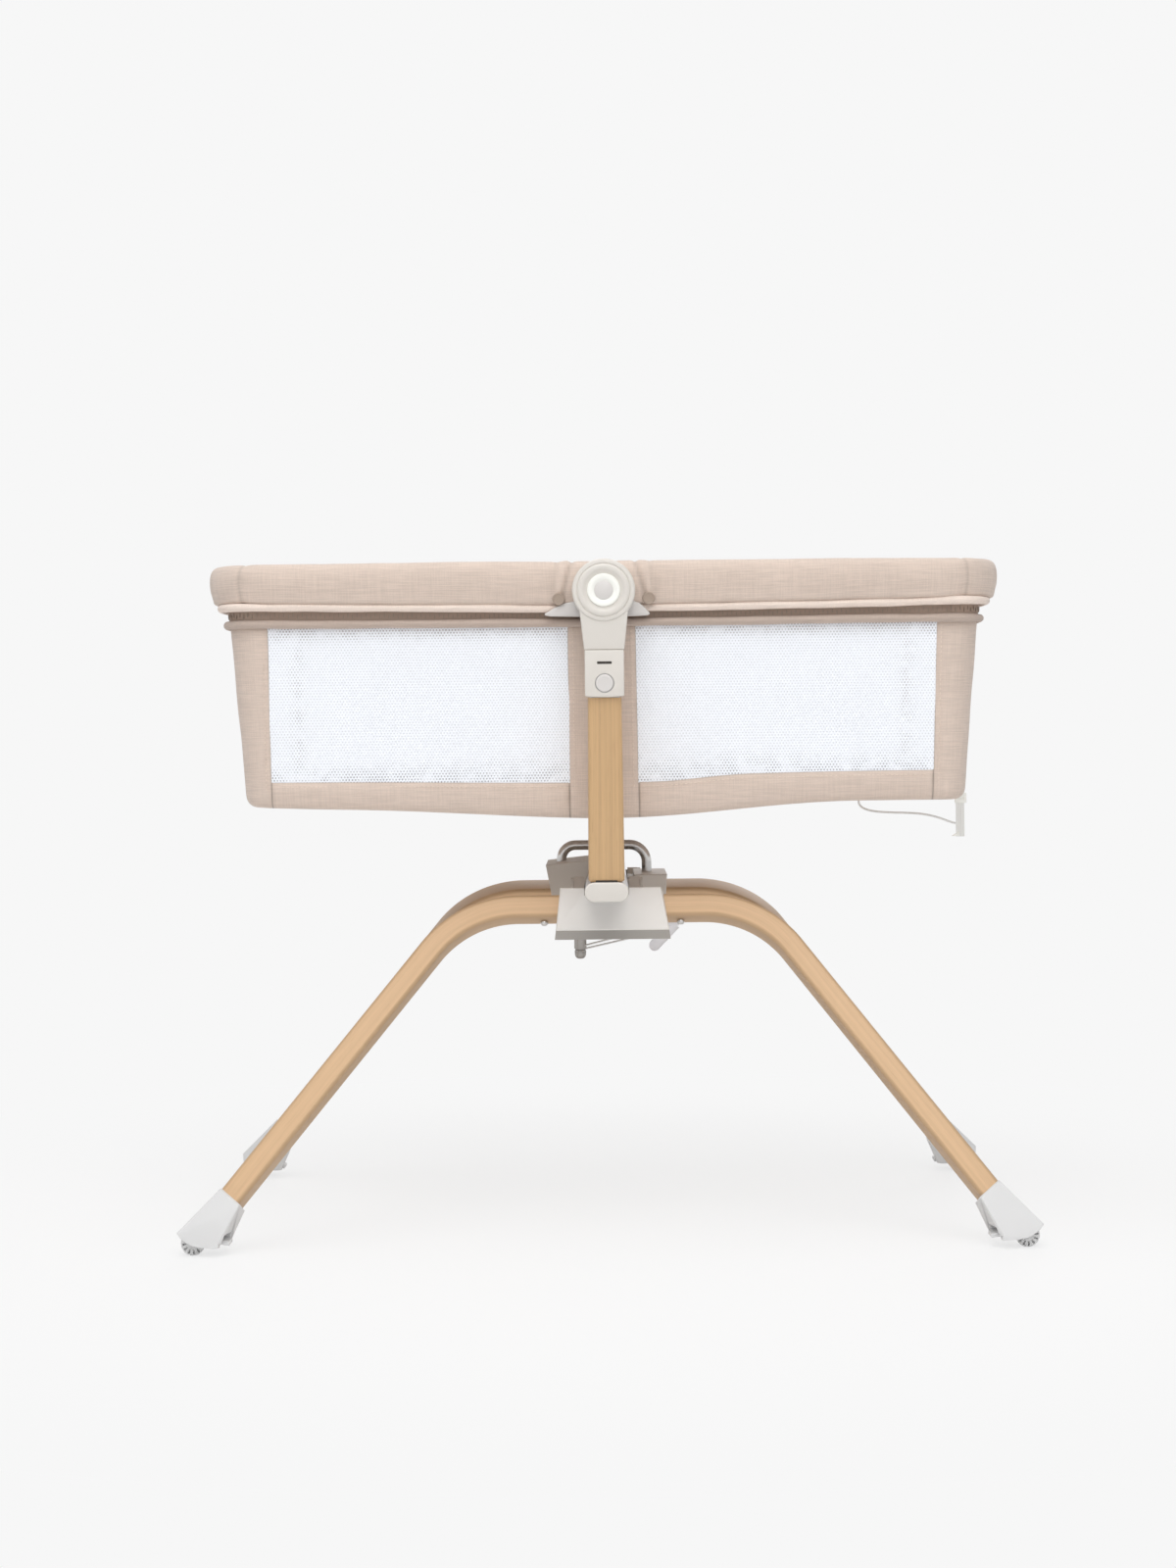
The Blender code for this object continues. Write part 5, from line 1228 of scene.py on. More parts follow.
def underside_z(x):
    """Height of the basket's underside, which sags in the middle and at the left."""
    return SHELL_FOOT - 0.0175 * hollow(x, 0.0, 0.30) - 0.0050 * hollow(x, -0.26, 0.22)


def window_foot_z(x):
    """Height of the net windows' lower edges along the basket."""
    lift = 0.0040 + 0.0072 * soft_step(x, 0.05, 0.17)
    return WINDOW_LOW.z + lift - 0.0032 * hollow(x, 0.0, 0.36)


def rim_rise(x):
    """How far the rim's foot and the hems lift towards the ends."""
    return RIM_END_RISE * min(1.0, abs(x) / 0.42) ** 1.5


def wall_columns():
    """Columns round the basket's near half: (kind, value)."""
    inner, outer = WINDOW_INNER, WINDOW_OUTER
    half = [mix(0, inner - SEAM_RUN, i / 3) for i in range(4)]
    half += [inner - SEAM_EDGE, inner, inner + SEAM_EDGE]
    half += [mix(inner + SEAM_RUN, outer - SEAM_RUN, i / 22) for i in range(23)]
    half += [outer - SEAM_EDGE, outer, outer + SEAM_EDGE, outer + SEAM_RUN]
    columns = [("end_left", (i - 5) / 5) for i in range(6)]
    columns += [("corner_left", i / 8) for i in range(8)]
    columns += [("near", -value) for value in reversed(half[1:])]
    columns += [("near", value) for value in half]
    columns += [("corner_right", (i + 1) / 8) for i in range(8)]
    columns += [("end_right", (i + 1) / 5) for i in range(5)]
    return columns


def near_x(value, z):
    """Where a near-wall column lies at a height, as the windows taper."""
    top, foot = LOWER_HEM_Z, WINDOW_LOW.z
    t = (top - z) / (top - foot)
    reach = abs(value)
    edges_top, edges_foot = WINDOW_EDGES[-1 if value < 0 else 1]
    inner, outer = (mix(a, b, t) for a, b in zip(edges_top, edges_foot))
    if reach <= WINDOW_INNER:
        return math.copysign(reach * inner / WINDOW_INNER, value)
    part = (reach - WINDOW_INNER) / (WINDOW_OUTER - WINDOW_INNER)
    return math.copysign(mix(inner, outer, part), value)


def wall_point(column, z):
    """A point on the basket's wall in the near half, and its outward direction."""
    kind, value = column
    half_x, half_y = wall_half_x(z), wall_half_y(z)
    corner = wall_corner(z)
    if kind == "near":
        return Vector((near_x(value, z), -half_y)), Vector((0, -1))
    if kind in ("end_left", "end_right"):
        sign = -1 if kind == "end_left" else 1
        share = 1 + value if sign < 0 else 1 - value
        return Vector((sign * half_x, -(half_y - corner) * share)), Vector((sign, 0))
    if kind == "corner_left":
        angle = math.pi + value * math.pi / 2
        centre = Vector((-(half_x - corner), -(half_y - corner)))
    else:
        angle = -math.pi / 2 + value * math.pi / 2
        centre = Vector((half_x - corner, -(half_y - corner)))
    out = ray(angle)
    return centre + out * corner, out


def seam_dip(x, z, kind, width=SEAM_WIDTH):
    """How far the cloth lies back at the seams, as a share."""
    if kind != "near":
        return 0.0
    dip = max(bell(x - near_x(value, z), width)
              for value in (-WINDOW_OUTER, -WINDOW_INNER, WINDOW_INNER, WINDOW_OUTER))
    band = window_foot_z(x) - z
    end = math.copysign(1, x)
    inner, outer = (near_x(end * value, z) * end for value in (WINDOW_INNER, WINDOW_OUTER))
    if band >= -0.0005 and inner < abs(x) < outer + 0.001:
        dip = max(dip, 0.7 * bell(band, width))
    return dip


def basket_rows():
    """Heights down the wall as (kind, share): wall to the window foot, band, round edge."""
    rows = [("wall", share) for share in (*(i / 20 for i in range(20)), 0.98, 0.993, 1.0)]
    rows += [("band", share) for share in (0.08, 0.2, 0.4, 0.6, 0.8, 1.0)]
    rows += [("edge", share) for share in (0.25, 0.5, 0.75, 1.0)]
    return rows


def basket_point(column, row):
    """A point of the sewn shell, with its waves and its seams' dips."""
    kind, share = row
    foot_x = wall_point(column, SHELL_FOOT)[0].x
    window_z = window_foot_z(foot_x)
    edge_top = underside_z(foot_x) + EDGE_ROUND
    pull = bulge = 0.0
    if kind == "wall":
        z = mix(LOWER_HEM_Z, window_z, share) if share else HEM_ROLL_Z + 0.35 * rim_rise(foot_x)
    elif kind == "band":
        z = mix(window_z, edge_top, share)
        if column[0] == "near" and WINDOW_INNER < abs(column[1]) < WINDOW_OUTER:
            bulge = 0.0018 * math.sin(math.pi * share)
    else:
        z = edge_top - EDGE_ROUND * math.sin(share * math.pi / 2)
        pull = EDGE_ROUND * (1 - math.cos(share * math.pi / 2))
    place, out = wall_point(column, max(z, SHELL_FOOT))
    dip = seam_dip(place.x, z, column[0]) * sizes().seam_depth
    wave = 0.0
    if kind != "wall" or share:
        wave = 0.0009 * soft_noise(place.x * 16, place.y * 16, z * 20)
        wave += 0.0004 * soft_noise(place.x * 60, place.y * 60 + 7, z * 30)
    place = place + out * (wave + bulge - dip - pull)
    return Vector((place.x, place.y, z))


def add_wall(bm, cloth, seam, columns, along):
    """Adds the wall but for the windows, and gives its points by column."""
    rows = basket_rows()
    order = list(zip(columns, along))
    grid = []
    for mirror, half in ((1, order), (-1, order[-2:0:-1])):
        for column, distance in half:
            line = []
            for row in rows:
                point = basket_point(column, row)
                vertex = bm.verts.new((point.x, point.y * mirror, point.z))
                vertex[cloth] = (distance if mirror > 0 else distance + 4.0, point.z, 0)
                # Painted shade: the cloth darkens in the seams' dips.
                vertex[seam] = seam_dip(point.x, point.z, column[0], SEAM_EDGE * 0.7)
                line.append(vertex)
            grid.append(line)
    all_columns = columns + columns[-2:0:-1]

    def beside_window(column):
        kind, value = column
        return kind == "near" and WINDOW_INNER - 1e-6 <= abs(value) <= WINDOW_OUTER + 1e-6

    wall_rows = sum(1 for kind, _ in rows if kind == "wall")
    for index, line in enumerate(grid):
        following = (index + 1) % len(grid)
        here, there = all_columns[index], all_columns[following]
        opened = beside_window(here) and beside_window(there) and here[1] * there[1] > 0
        for level in range(wall_rows - 1 if opened else 0, len(rows) - 1):
            bm.faces.new((line[level], grid[following][level],
                          grid[following][level + 1], line[level + 1]))
    return grid


def add_floor(bm, cloth, foot, half_count, steps=10):
    """Closes the underside between the near and the far half's lowest points."""
    previous = None
    for index in range(half_count):
        near, far = foot[index], foot[-index]
        chain = [near]
        if near is not far:
            for step in range(1, steps):
                t = step / steps
                x, y = mix(near.co.x, far.co.x, t), mix(near.co.y, far.co.y, t)
                lift = 0.0012 * soft_noise(x * 7, y * 7, 2.0)
                vertex = bm.verts.new((x, y, mix(near.co.z, far.co.z, t) - abs(lift)))
                vertex[cloth] = (x, y + 9.0, 0)
                chain.append(vertex)
            chain.append(far)
        if previous and len(previous) == len(chain):
            for k in range(len(chain) - 1):
                bm.faces.new((previous[k], chain[k], chain[k + 1], previous[k + 1]))
        elif previous:
            pole, fan = (previous[0], chain) if len(previous) == 1 else (chain[0], previous)
            for k in range(len(fan) - 1):
                bm.faces.new((pole, fan[k], fan[k + 1]))
        previous = chain


def make_basket_cloth():
    """The sewn linen shell with its window openings."""
    columns = wall_columns()
    bm = bmesh.new()
    cloth = bm.verts.layers.float_vector.new(CLOTH)
    seam = bm.verts.layers.float.new(PAINTED_SHADE)
    places = [wall_point(column, LOWER_HEM_Z)[0] for column in columns]
    along = [0.0]
    for a, b in zip(places, places[1:]):
        along.append(along[-1] + (b - a).length)
    grid = add_wall(bm, cloth, seam, columns, along)
    add_floor(bm, cloth, [line[-1] for line in grid], len(columns))
    piece = from_bmesh("basket_cloth", bm)
    lowest = min(piece.data.polygons, key=lambda f: f.center.z + abs(f.center.x))
    if lowest.normal.z > 0:
        piece.data.flip_normals()
    modified(piece, "SOLIDIFY", thickness=CLOTH_THICKNESS, offset=-1.0, use_rim=True)
    subdivided(piece, 1)
    finish(piece, 60, "linen_cloth", "linen", "basket", "basket_shell")


def perimeter_points(z, grow, corner_steps=10, long_steps=60, short_steps=20):
    """Points right round the basket's wall at a height, moved out by grow."""
    return rounded_loop(wall_half_x(z) + grow, wall_half_y(z) + grow, wall_corner(z) + grow,
                        corner_steps, long_steps, short_steps)


def piping(name, line, sides, section):
    """A closed tube along a level line, and its cloth places.

    section gives the tube's radius, its wander outwards, its height and its flatness at a spot.
    """
    rings, places = [], []
    along = 0.0
    for i, spot in enumerate(line):
        radius, wander, height, flat = section(spot)
        out = outward_at(line, i)
        ring = []
        for k in range(sides):
            angle = 2 * math.pi * k / sides
            away = spot + out * (radius * math.cos(angle) + wander)
            ring.append(Vector((away.x, away.y, height + radius * flat * math.sin(angle))))
            places.append(Vector((along, radius * angle, 0)))
        rings.append(ring)
        along += (line[(i + 1) % len(line)] - spot).length
    piece = skin(name, [*rings, rings[0]])
    outwards(piece)
    return piece, places


def rolled_hem(name, z, grow, radius, wave, finish_name, rise, sides=12, flat=1.0):
    """A rolled hem that runs right round the basket, with a soft wander."""
    def section(spot):
        wander = wave * soft_noise(spot.x * 12, spot.y * 12, z * 40)
        thick = radius * (1 + 0.14 * soft_noise(spot.x * 26, spot.y * 26, z * 11))
        return thick, wander, z + wander + rise * rim_rise(spot.x), flat

    piece, places = piping(name, perimeter_points(z, grow), sides, section)
    store(piece, CLOTH, places)
    finish(piece, 60, finish_name, "linen", "basket")


def make_hems():
    """The rolled hems, the zip tape between them and its teeth."""
    radius = sizes().piping_radius
    # The upper hem's lighter linen is painted light.
    rolled_hem("hem_upper", UPPER_ROLL_Z, 0.0085, radius * 1.15, 0.0010, "linen_hem", 1.0)
    # The lower hem's darker linen is partly darker thread and partly painted shade.
    rolled_hem("hem_lower", HEM_ROLL_Z, 0.0028, radius * 1.16, 0.0006, "linen_lower_hem", 0.35)
    tape_z = (HEM_ROLL_Z + SLEEVE_LOW.z + 0.0040) / 2
    rolled_hem("zip_tape", tape_z, -0.0010, 0.0012, 0.0, "zip_tape", 0.7, sides=8, flat=10.0)
    make_zip_teeth((UPPER_ROLL_Z + HEM_ROLL_Z) / 2)


def make_zip_teeth(z):
    """One moulded tooth, copied round the basket beside the tape."""
    line = perimeter_points(z, 0.0004, 12, 150, 74)
    tooth = slab("zip_tooth", (-0.0006, -0.0010, -0.0022), (0.0006, 0.0012, 0.0022))
    shape = [v.co.copy() for v in tooth.data.vertices]
    faces = [tuple(f.vertices) for f in tooth.data.polygons]
    discard(tooth)
    bm = bmesh.new()
    for i, spot in enumerate(line):
        out = outward_at(line, i)
        forward = Vector((-out.y, out.x))
        lift = (0.0008 if i % 2 else -0.0008) + 0.7 * rim_rise(spot.x)
        corners = []
        for corner in shape:
            at = spot + forward * corner.x + out * corner.y
            corners.append(bm.verts.new((at.x, at.y, z + lift + corner.z)))
        for face in faces:
            bm.faces.new([corners[k] for k in face])
    put_on(from_bmesh("zip_teeth", bm), "snap_brown", "shade_plastic", "basket")


STITCH_GAP, STITCH_RADIUS = 0.0024, 0.00045
STITCH_INSET, BAND_STITCH_DROP = 0.006, 0.0055
# Each stitch's rings: share of its length and of its radius
STITCH_SHARES = ((0.0, 0.35), (0.25, 1.0), (0.75, 1.0), (1.0, 0.35))


def stitched_line(bm, points, offset):
    """Short four-sided stitches laid end to end along a line of points."""
    length = sizes().stitch_length
    step = length + STITCH_GAP
    total = sum((b - a).length for a, b in zip(points, points[1:]))

    def at(distance):
        for a, b in zip(points, points[1:]):
            part = (b - a).length
            if distance <= part:
                return a.lerp(b, distance / part)
            distance -= part
        return points[-1]

    for i in range(int(total / step)):
        start, stop = at(i * step), at(i * step + length)
        side = (stop - start).normalized().cross(offset).normalized()
        rings = []
        for share, size in STITCH_SHARES:
            middle = start.lerp(stop, share) + offset * (STITCH_RADIUS * 0.4)
            rings.append([
                bm.verts.new(middle + (offset * b + side * a) * STITCH_RADIUS * size)
                for a, b in ((1, 0), (0, 1), (-1, 0), (0, -1))
            ])
        for first, second in zip(rings, rings[1:]):
            for k in range(4):
                bm.faces.new((first[k], first[(k + 1) % 4], second[(k + 1) % 4], second[k]))
        bm.faces.new(list(reversed(rings[0])))
        bm.faces.new(rings[-1])


def seam_stitches(value, side):
    """Points down the wall beside an upright seam."""
    base = math.copysign(min(abs(value), WINDOW_OUTER), value)
    line = []
    for i in range(25):
        z = mix(LOWER_HEM_Z - 0.004, SHELL_FOOT + 0.012, i / 24)
        x = near_x(base, z) + (value - base)
        wave = 0.0009 * soft_noise(x * 16, -wall_half_y(z) * 16, z * 20)
        line.append(Vector((x, side * (wall_half_y(z) + wave + 0.0001), z)))
    return line


def band_stitches(end, side):
    """Points along the bottom band under a window."""
    first = near_x(end * WINDOW_INNER, WINDOW_LOW.z) + end * 0.004
    last = near_x(end * WINDOW_OUTER, WINDOW_LOW.z) - end * 0.004
    line = []
    for i in range(33):
        x = mix(first, last, i / 32)
        z = window_foot_z(x) - BAND_STITCH_DROP
        line.append(Vector((x, side * (wall_half_y(z) + 0.0012), z)))
    return line


def make_stitches():
    """Top-stitching on the centre strip, the corner panels and the bottom band."""
    bm = bmesh.new()
    for side in SIDES.values():
        out = Vector((0, side, 0))
        for end in ENDS.values():
            for value in (WINDOW_INNER - STITCH_INSET, WINDOW_OUTER + STITCH_INSET):
                stitched_line(bm, seam_stitches(end * value, side), out)
            stitched_line(bm, band_stitches(end, side), out)
    put_on(from_bmesh("top_stitches", bm), "sewing_thread", "linen", "basket")


NET_COLUMNS, NET_ROWS = 48, 26
NET_OVERLAP, NET_SETBACK, NET_THICKNESS = 0.003, 0.0015, 0.0006


def make_window(side_name, side, end_name, end):
    """A stretched net panel with a faint slack, behind the cloth's edges."""
    top_z = LOWER_HEM_Z + 0.0050
    rows, places, net_edge_shade = [], [], []
    for j in range(NET_ROWS + 1):
        t = j / NET_ROWS
        level = mix(top_z, WINDOW_LOW.z, t)
        inner = near_x(end * WINDOW_INNER, level) * end - NET_OVERLAP
        outer = near_x(end * WINDOW_OUTER, level) * end + NET_OVERLAP
        line = []
        for i in range(NET_COLUMNS + 1):
            share = i / NET_COLUMNS
            x = mix(inner, outer, share)
            foot_z = window_foot_z(end * x)
            z = mix(top_z, foot_z - NET_OVERLAP, t)
            slack = 0.0016 * math.sin(math.pi * share) * math.sin(math.pi * t)
            slack += 0.0007 * soft_noise(x * 9 * end, z * 14, side * 3.0)
            y = wall_half_y(max(z, SHELL_FOOT)) - NET_SETBACK - slack
            line.append(Vector((end * x, side * y, z)))
            places.append(Vector((end * x, z, 0)))
            # Painted shade for the holes: high under the hem, over the foot and along one upright
            # band.
            over_foot = (z - foot_z) / mix(0.028, 0.014, share)
            under_top = (LOWER_HEM_Z - z) / 0.013
            column = 0.8 * bell(share - 0.90, 0.018)
            net_edge_shade.append(min(1.0, max(1.3 - over_foot, 1.3 - under_top, column, 0.0)))
        rows.append(line)
    piece = skin(f"net_{side_name}_{end_name}", rows, closed_round=False)
    store(piece, CLOTH, places)
    store(piece, PAINTED_SHADE, net_edge_shade, "FLOAT")
    if sum(f.normal.y * side for f in piece.data.polygons) < 0:
        piece.data.flip_normals()
    modified(piece, "SOLIDIFY", thickness=NET_THICKNESS, offset=-1.0, use_rim=True)
    finish(piece, 60, "net_mesh", "window_net", "basket", f"window_{side_name}_{end_name}")


# Mattress

PAD_SHRINK, PAD_CROWN, SWELL_CAP = 0.004, 0.004, 0.007
QUILT_PITCH, QUILT_HALF_WIDTH, QUILT_DEPTH = 0.075, 0.005, 0.0022
WELT_RADIUS = 0.0016
SWELL_FRAMES = 18


def quilt_depth(x, y):
    """Depth of the sewn quilting, a lattice of crossed lines."""
    depth = 0.0
    for a in ((x + y) / math.sqrt(2), (x - y) / math.sqrt(2)):
        away = abs((a / QUILT_PITCH + 0.5) % 1.0 - 0.5) * QUILT_PITCH
        depth = max(depth, bell(away, QUILT_HALF_WIDTH))
    return depth


def make_mattress():
    """A foam pad under cotton: swollen by a cloth simulation, quilted and piped."""
    half_x, half_y = MATTRESS_HIGH.x, MATTRESS_HIGH.y
    low, high = MATTRESS_LOW.z, MATTRESS_HIGH.z
    core = slab("mattress_pad", (-half_x + PAD_SHRINK, -half_y + PAD_SHRINK, low + 0.0005),
                (half_x - PAD_SHRINK, half_y - PAD_SHRINK, high - 0.010))
    begin_edit(core, "EDGE")
    pick(core, "edges", lambda e: abs(e.verts[0].co.z - e.verts[1].co.z) > 0.01)
    bpy.ops.mesh.bevel(offset=BASKET_CORNER - PAD_SHRINK, segments=8, affect="EDGES")
    end_edit()
    round_edges(core, 0.007, 3)
    modified(core, "REMESH", mode="VOXEL", voxel_size=0.0075)
    swell(core, SWELL_CAP)
    shape_pad(core, low, high)
    subdivided(core, 1)
    for vertex in core.data.vertices:
        if vertex.co.z > high - 0.012:
            vertex.co.z -= QUILT_DEPTH * quilt_depth(vertex.co.x, vertex.co.y)
    set_attribute(core, CLOTH, lambda p: Vector((p.x, p.y + p.z, 0)))
    finish(core, 60, "mattress_cotton", "mattress_cloth", "basket", "mattress")
    outline = rounded_loop(half_x - 0.0034, half_y - 0.0034, BASKET_CORNER - 0.003, 8, 40, 22)
    make_welt("mattress_welt_upper", outline, high - 0.0105)
    make_welt("mattress_welt_lower", outline, low + 0.006)


def swell(piece, cap):
    """Runs a short cloth simulation with pressure, and limits how far a point moves."""
    rest = [vertex.co.copy() for vertex in piece.data.vertices]
    only(piece)
    bpy.ops.object.modifier_add(type="CLOTH")
    cloth = piece.modifiers[-1]
    set_values(cloth.settings, {
        "quality": 5, "tension_stiffness": 18, "compression_stiffness": 18,
        "use_pressure": True, "uniform_pressure_force": 3.0})
    cloth.settings.effector_weights.gravity = 0
    set_values(cloth.point_cache, {"frame_start": 1, "frame_end": SWELL_FRAMES})
    scene = bpy.context.scene
    for step in range(1, SWELL_FRAMES + 1):
        scene.frame_set(step)
    bpy.ops.object.modifier_apply(modifier=cloth.name)
    scene.frame_set(1)
    for vertex, start in zip(piece.data.vertices, rest):
        moved = vertex.co - start
        if moved.length > cap:
            vertex.co = start + moved.normalized() * cap


def shape_pad(piece, low, high):
    """Keeps the pad in its space: flat below, crowned on top, inside the walls."""
    half_x, half_y = MATTRESS_HIGH.x, MATTRESS_HIGH.y
    for vertex in piece.data.vertices:
        p = vertex.co
        share_x, share_y = min(1, abs(p.x) / half_x), min(1, abs(p.y) / half_y)
        crown = PAD_CROWN * math.cos(share_x * math.pi / 2) * math.cos(share_y * math.pi / 2)
        if p.z > (low + high) / 2:
            p.z = min(p.z + crown, high)
        p.z = max(p.z, low)
        p.x = max(min(p.x, half_x), -half_x)
        p.y = max(min(p.y, half_y), -half_y)


def make_welt(name, outline, z):
    """Round piping sewn into the pad's edge."""
    piece, _ = piping(name, outline, 8, lambda spot: (WELT_RADIUS, 0.0, z, 1.0))
    set_attribute(piece, CLOTH, lambda p: Vector((p.x + p.y, p.z, 0)))
    finish(piece, 60, "mattress_cotton", "mattress_cloth", "basket")


# Pivots, heads and posts

# Turned faces as (radius, rise over the neck's face)
BOSS = [
    (DISC_RADIUS - 0.0006, -0.004), (DISC_RADIUS - 0.0006, -0.0012), (DISC_RADIUS - 0.0012, -0.0003),
    (DISC_RADIUS - 0.0022, 0.0), (0.0308, 0.0), (0.0302, -0.0007), (0.0296, 0.0), (0.0288, 0.0009),
    (0.0270, 0.0014), (0.0244, 0.0013), (0.0228, 0.0006), (0.0214, -0.0006), (0.0192, -0.0012),
]
FACE_RING = [
    (0.0186, -0.002), (0.0186, 0.0002), (0.0178, 0.0010), (0.0150, 0.0012), (0.0122, 0.0006),
    (0.0112, -0.0002),
]
FACE_CENTRE = [(0.0108, -0.002), (0.0108, 0.0002), (0.0100, 0.0007), (0.0010, 0.0010)]
SLOT_WIDTH, SLOT_HEIGHT, SLOT_CORNER, SLOT_RISE = 0.0165, 0.003, 0.0006, 0.039
SLOT_DEPTH, SLOT_BACK = 0.002, 0.0011
WELL_DEPTH, TUBE_PLAY, OVERRUN = 0.009, 0.0003, 0.01
POST_TAPER, POST_TUCK, POST_CORNER, POST_WALL = 0.0025, 0.004, 0.0050, 0.0025
POST_STEPS = 24
# Half width of the dark slab at each post's foot, a painted shadow over the bar cap.
FOOT_SHADOW_HALF_WIDTH = 0.0122


def make_pivots():
    """Neck and stepped disc in one moulding, a white ring and a plain centre."""
    half_top, half_foot = NECK_TOP_WIDTH / 2, NECK_FOOT_WIDTH / 2
    meet = math.asin(half_top / DISC_RADIUS)
    angles = [-math.pi / 2 + meet + (2 * math.pi - 2 * meet) * i / 64 for i in range(65)]
    outline = [Vector((0, PIVOT_Z)) + DISC_RADIUS * ray(angle) for angle in angles]
    outline += [(-half_foot, NECK_LOW.z), (half_foot, NECK_LOW.z)]
    neck = plate("pivot_neck", outline, NECK_LOW.y, NECK_HIGH.y - 0.0016)
    round_edges(neck, 0.0016, 4, 50)
    boss = faced("pivot_boss", NECK_HIGH.y, PIVOT_Z, BOSS, 128)
    moulding_and_boss = joined("pivot_moulding", [neck, boss])
    finish_both(moulding_and_boss, 40, "warm_grey_plastic", "grey_plastic", "carriage",
                "pivot_neck_{}")
    ring = faced("pivot_ring", NECK_HIGH.y, PIVOT_Z, FACE_RING, 96)
    finish_both(ring, 40, "white_face_ring", "grey_plastic", "carriage", "pivot_cap_{}")
    centre = faced("pivot_centre", NECK_HIGH.y, PIVOT_Z, FACE_CENTRE)
    finish_both(centre, 40, "grey_face_centre", "grey_plastic", "carriage")


def make_heads():
    """The moulded heads that the sliding tubes carry, each with its slot and button."""
    half = (HEAD_HIGH.x - HEAD_LOW.x) / 2
    outline = [(half, HEAD_HIGH.z), (-half, HEAD_HIGH.z)]
    for i in range(17):
        x = -half + 2 * half * i / 16
        outline.append((x, HEAD_LOW.z + HEAD_BULGE * (x / half) ** 2))
    head = plate("head_moulding", outline, HEAD_LOW.y, HEAD_HIGH.y)
    round_edges(head, 0.0014, 4, 50)
    button_z = (BUTTON_LOW.z + BUTTON_HIGH.z) / 2
    radius = (BUTTON_HIGH.z - BUTTON_LOW.z) / 2
    face = HEAD_HIGH.y
    well = [(radius + 0.0005, -WELL_DEPTH), (radius + 0.0005, OVERRUN)]
    cut_away(head, faced("button_well", face, button_z, well))
    tube_low, tube_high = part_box("sliding_tube_far")
    cavity = slab("head_cavity",
                  (tube_low.x - TUBE_PLAY, tube_low.y - TUBE_PLAY, HEAD_LOW.z - OVERRUN),
                  (tube_high.x + TUBE_PLAY, tube_high.y + TUBE_PLAY, tube_high.z + TUBE_PLAY))
    cut_away(head, cavity)
    slot_z = HEAD_LOW.z + SLOT_RISE
    outline = [(a, slot_z + b)
               for a, b in rounded_section(SLOT_WIDTH, SLOT_HEIGHT, SLOT_CORNER, 3)]
    cut_away(head, plate("slot_tool", outline, face - SLOT_DEPTH, face + OVERRUN))
    finish_both(head, 30, "warm_grey_plastic", "grey_plastic", "carriage", "height_head_{}")
    # The dark sheet behind the slot is painted shade.
    backing = plate("slot_backing", outline, face - 0.0019, face - SLOT_BACK)
    finish_both(backing, 0, "slot_shade", "shade_plastic", "carriage")
    button = faced("button", face, button_z, [
        (radius - 0.0002, -0.0045), (radius - 0.0002, -0.0001), (radius - 0.0008, 0.0006),
        (radius - 0.0020, 0.0008), (0.0050, 0.0005), (0.0010, 0.0004),
    ])
    finish_both(button, 40, "grey_face_centre", "grey_plastic", "{}_button", "height_button_{}")


def make_posts():
    """Veneered tubes, a little wider at the foot, open at the top for the sliding tubes."""
    low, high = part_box("post_far")
    middle_y = (low.y + high.y) / 2
    depth, height = high.y - low.y, high.z - low.z
    foot_width = high.x - low.x
    top_width = foot_width - POST_TAPER

    def ring(width, across, corner, z):
        return [Vector((a, middle_y + b, z)) for a, b in rounded_section(width, across, corner, 6)]

    levels = [POST_TUCK * (1 - math.cos(i * math.pi / 12)) for i in range(6)]
    levels += [mix(POST_TUCK, height, i / POST_STEPS) for i in range(POST_STEPS + 1)]
    rings = []
    for level in levels:
        from_foot = 1 - min(1, level / POST_TUCK)
        tuck = POST_TUCK * (1 - math.sqrt(max(0, 1 - from_foot ** 2))) * 0.8
        width = mix(foot_width, top_width, level / height)
        rings.append(ring(width - 2 * tuck, depth - 2 * tuck, POST_CORNER - tuck * 0.8, low.z + level))
    bore = [ring(top_width - 2 * POST_WALL, depth - 2 * POST_WALL, POST_CORNER / 2, z)
            for z in (high.z, low.z)]
    tube = skin("post_tube", [*rings, *bore, rings[0]])
    outwards(tube)
    for side_name, side, post in on_both_sides(tube):
        set_attribute(post, GRAIN, lambda p: Vector((p.z + side, p.x, p.y)))
        finish(post, 40, "post_ash", "ash_wood", "base", f"post_{side_name}")
    # A dark slab through the post's foot is a painted shadow, the dark gap over the bar cap.
    mouth = slab("post_mouth", (-FOOT_SHADOW_HALF_WIDTH, low.y - TUBE_PLAY, low.z - 0.0002),
                 (FOOT_SHADOW_HALF_WIDTH, high.y + TUBE_PLAY, low.z + 0.0019))
    finish_both(mouth, 0, "slot_shade", "shade_plastic", "base")


def make_bar_caps():
    """The moulded pills that close the crossbar's ends under the posts."""
    low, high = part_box("crossbar_cap_far")
    width, height = high.x - low.x, high.z - low.z
    middle_z = (low.z + high.z) / 2
    section = rounded_section(width, height, height / 2 - 0.0001, 12)
    cap = plate("bar_cap", [(a, middle_z + b) for a, b in section], low.y, high.y)
    round_edges(cap, 0.0018, 4, 50)
    finish_both(cap, 40, "warm_grey_plastic", "grey_plastic", "base", "crossbar_cap_{}")


# Arches, brackets and bolts

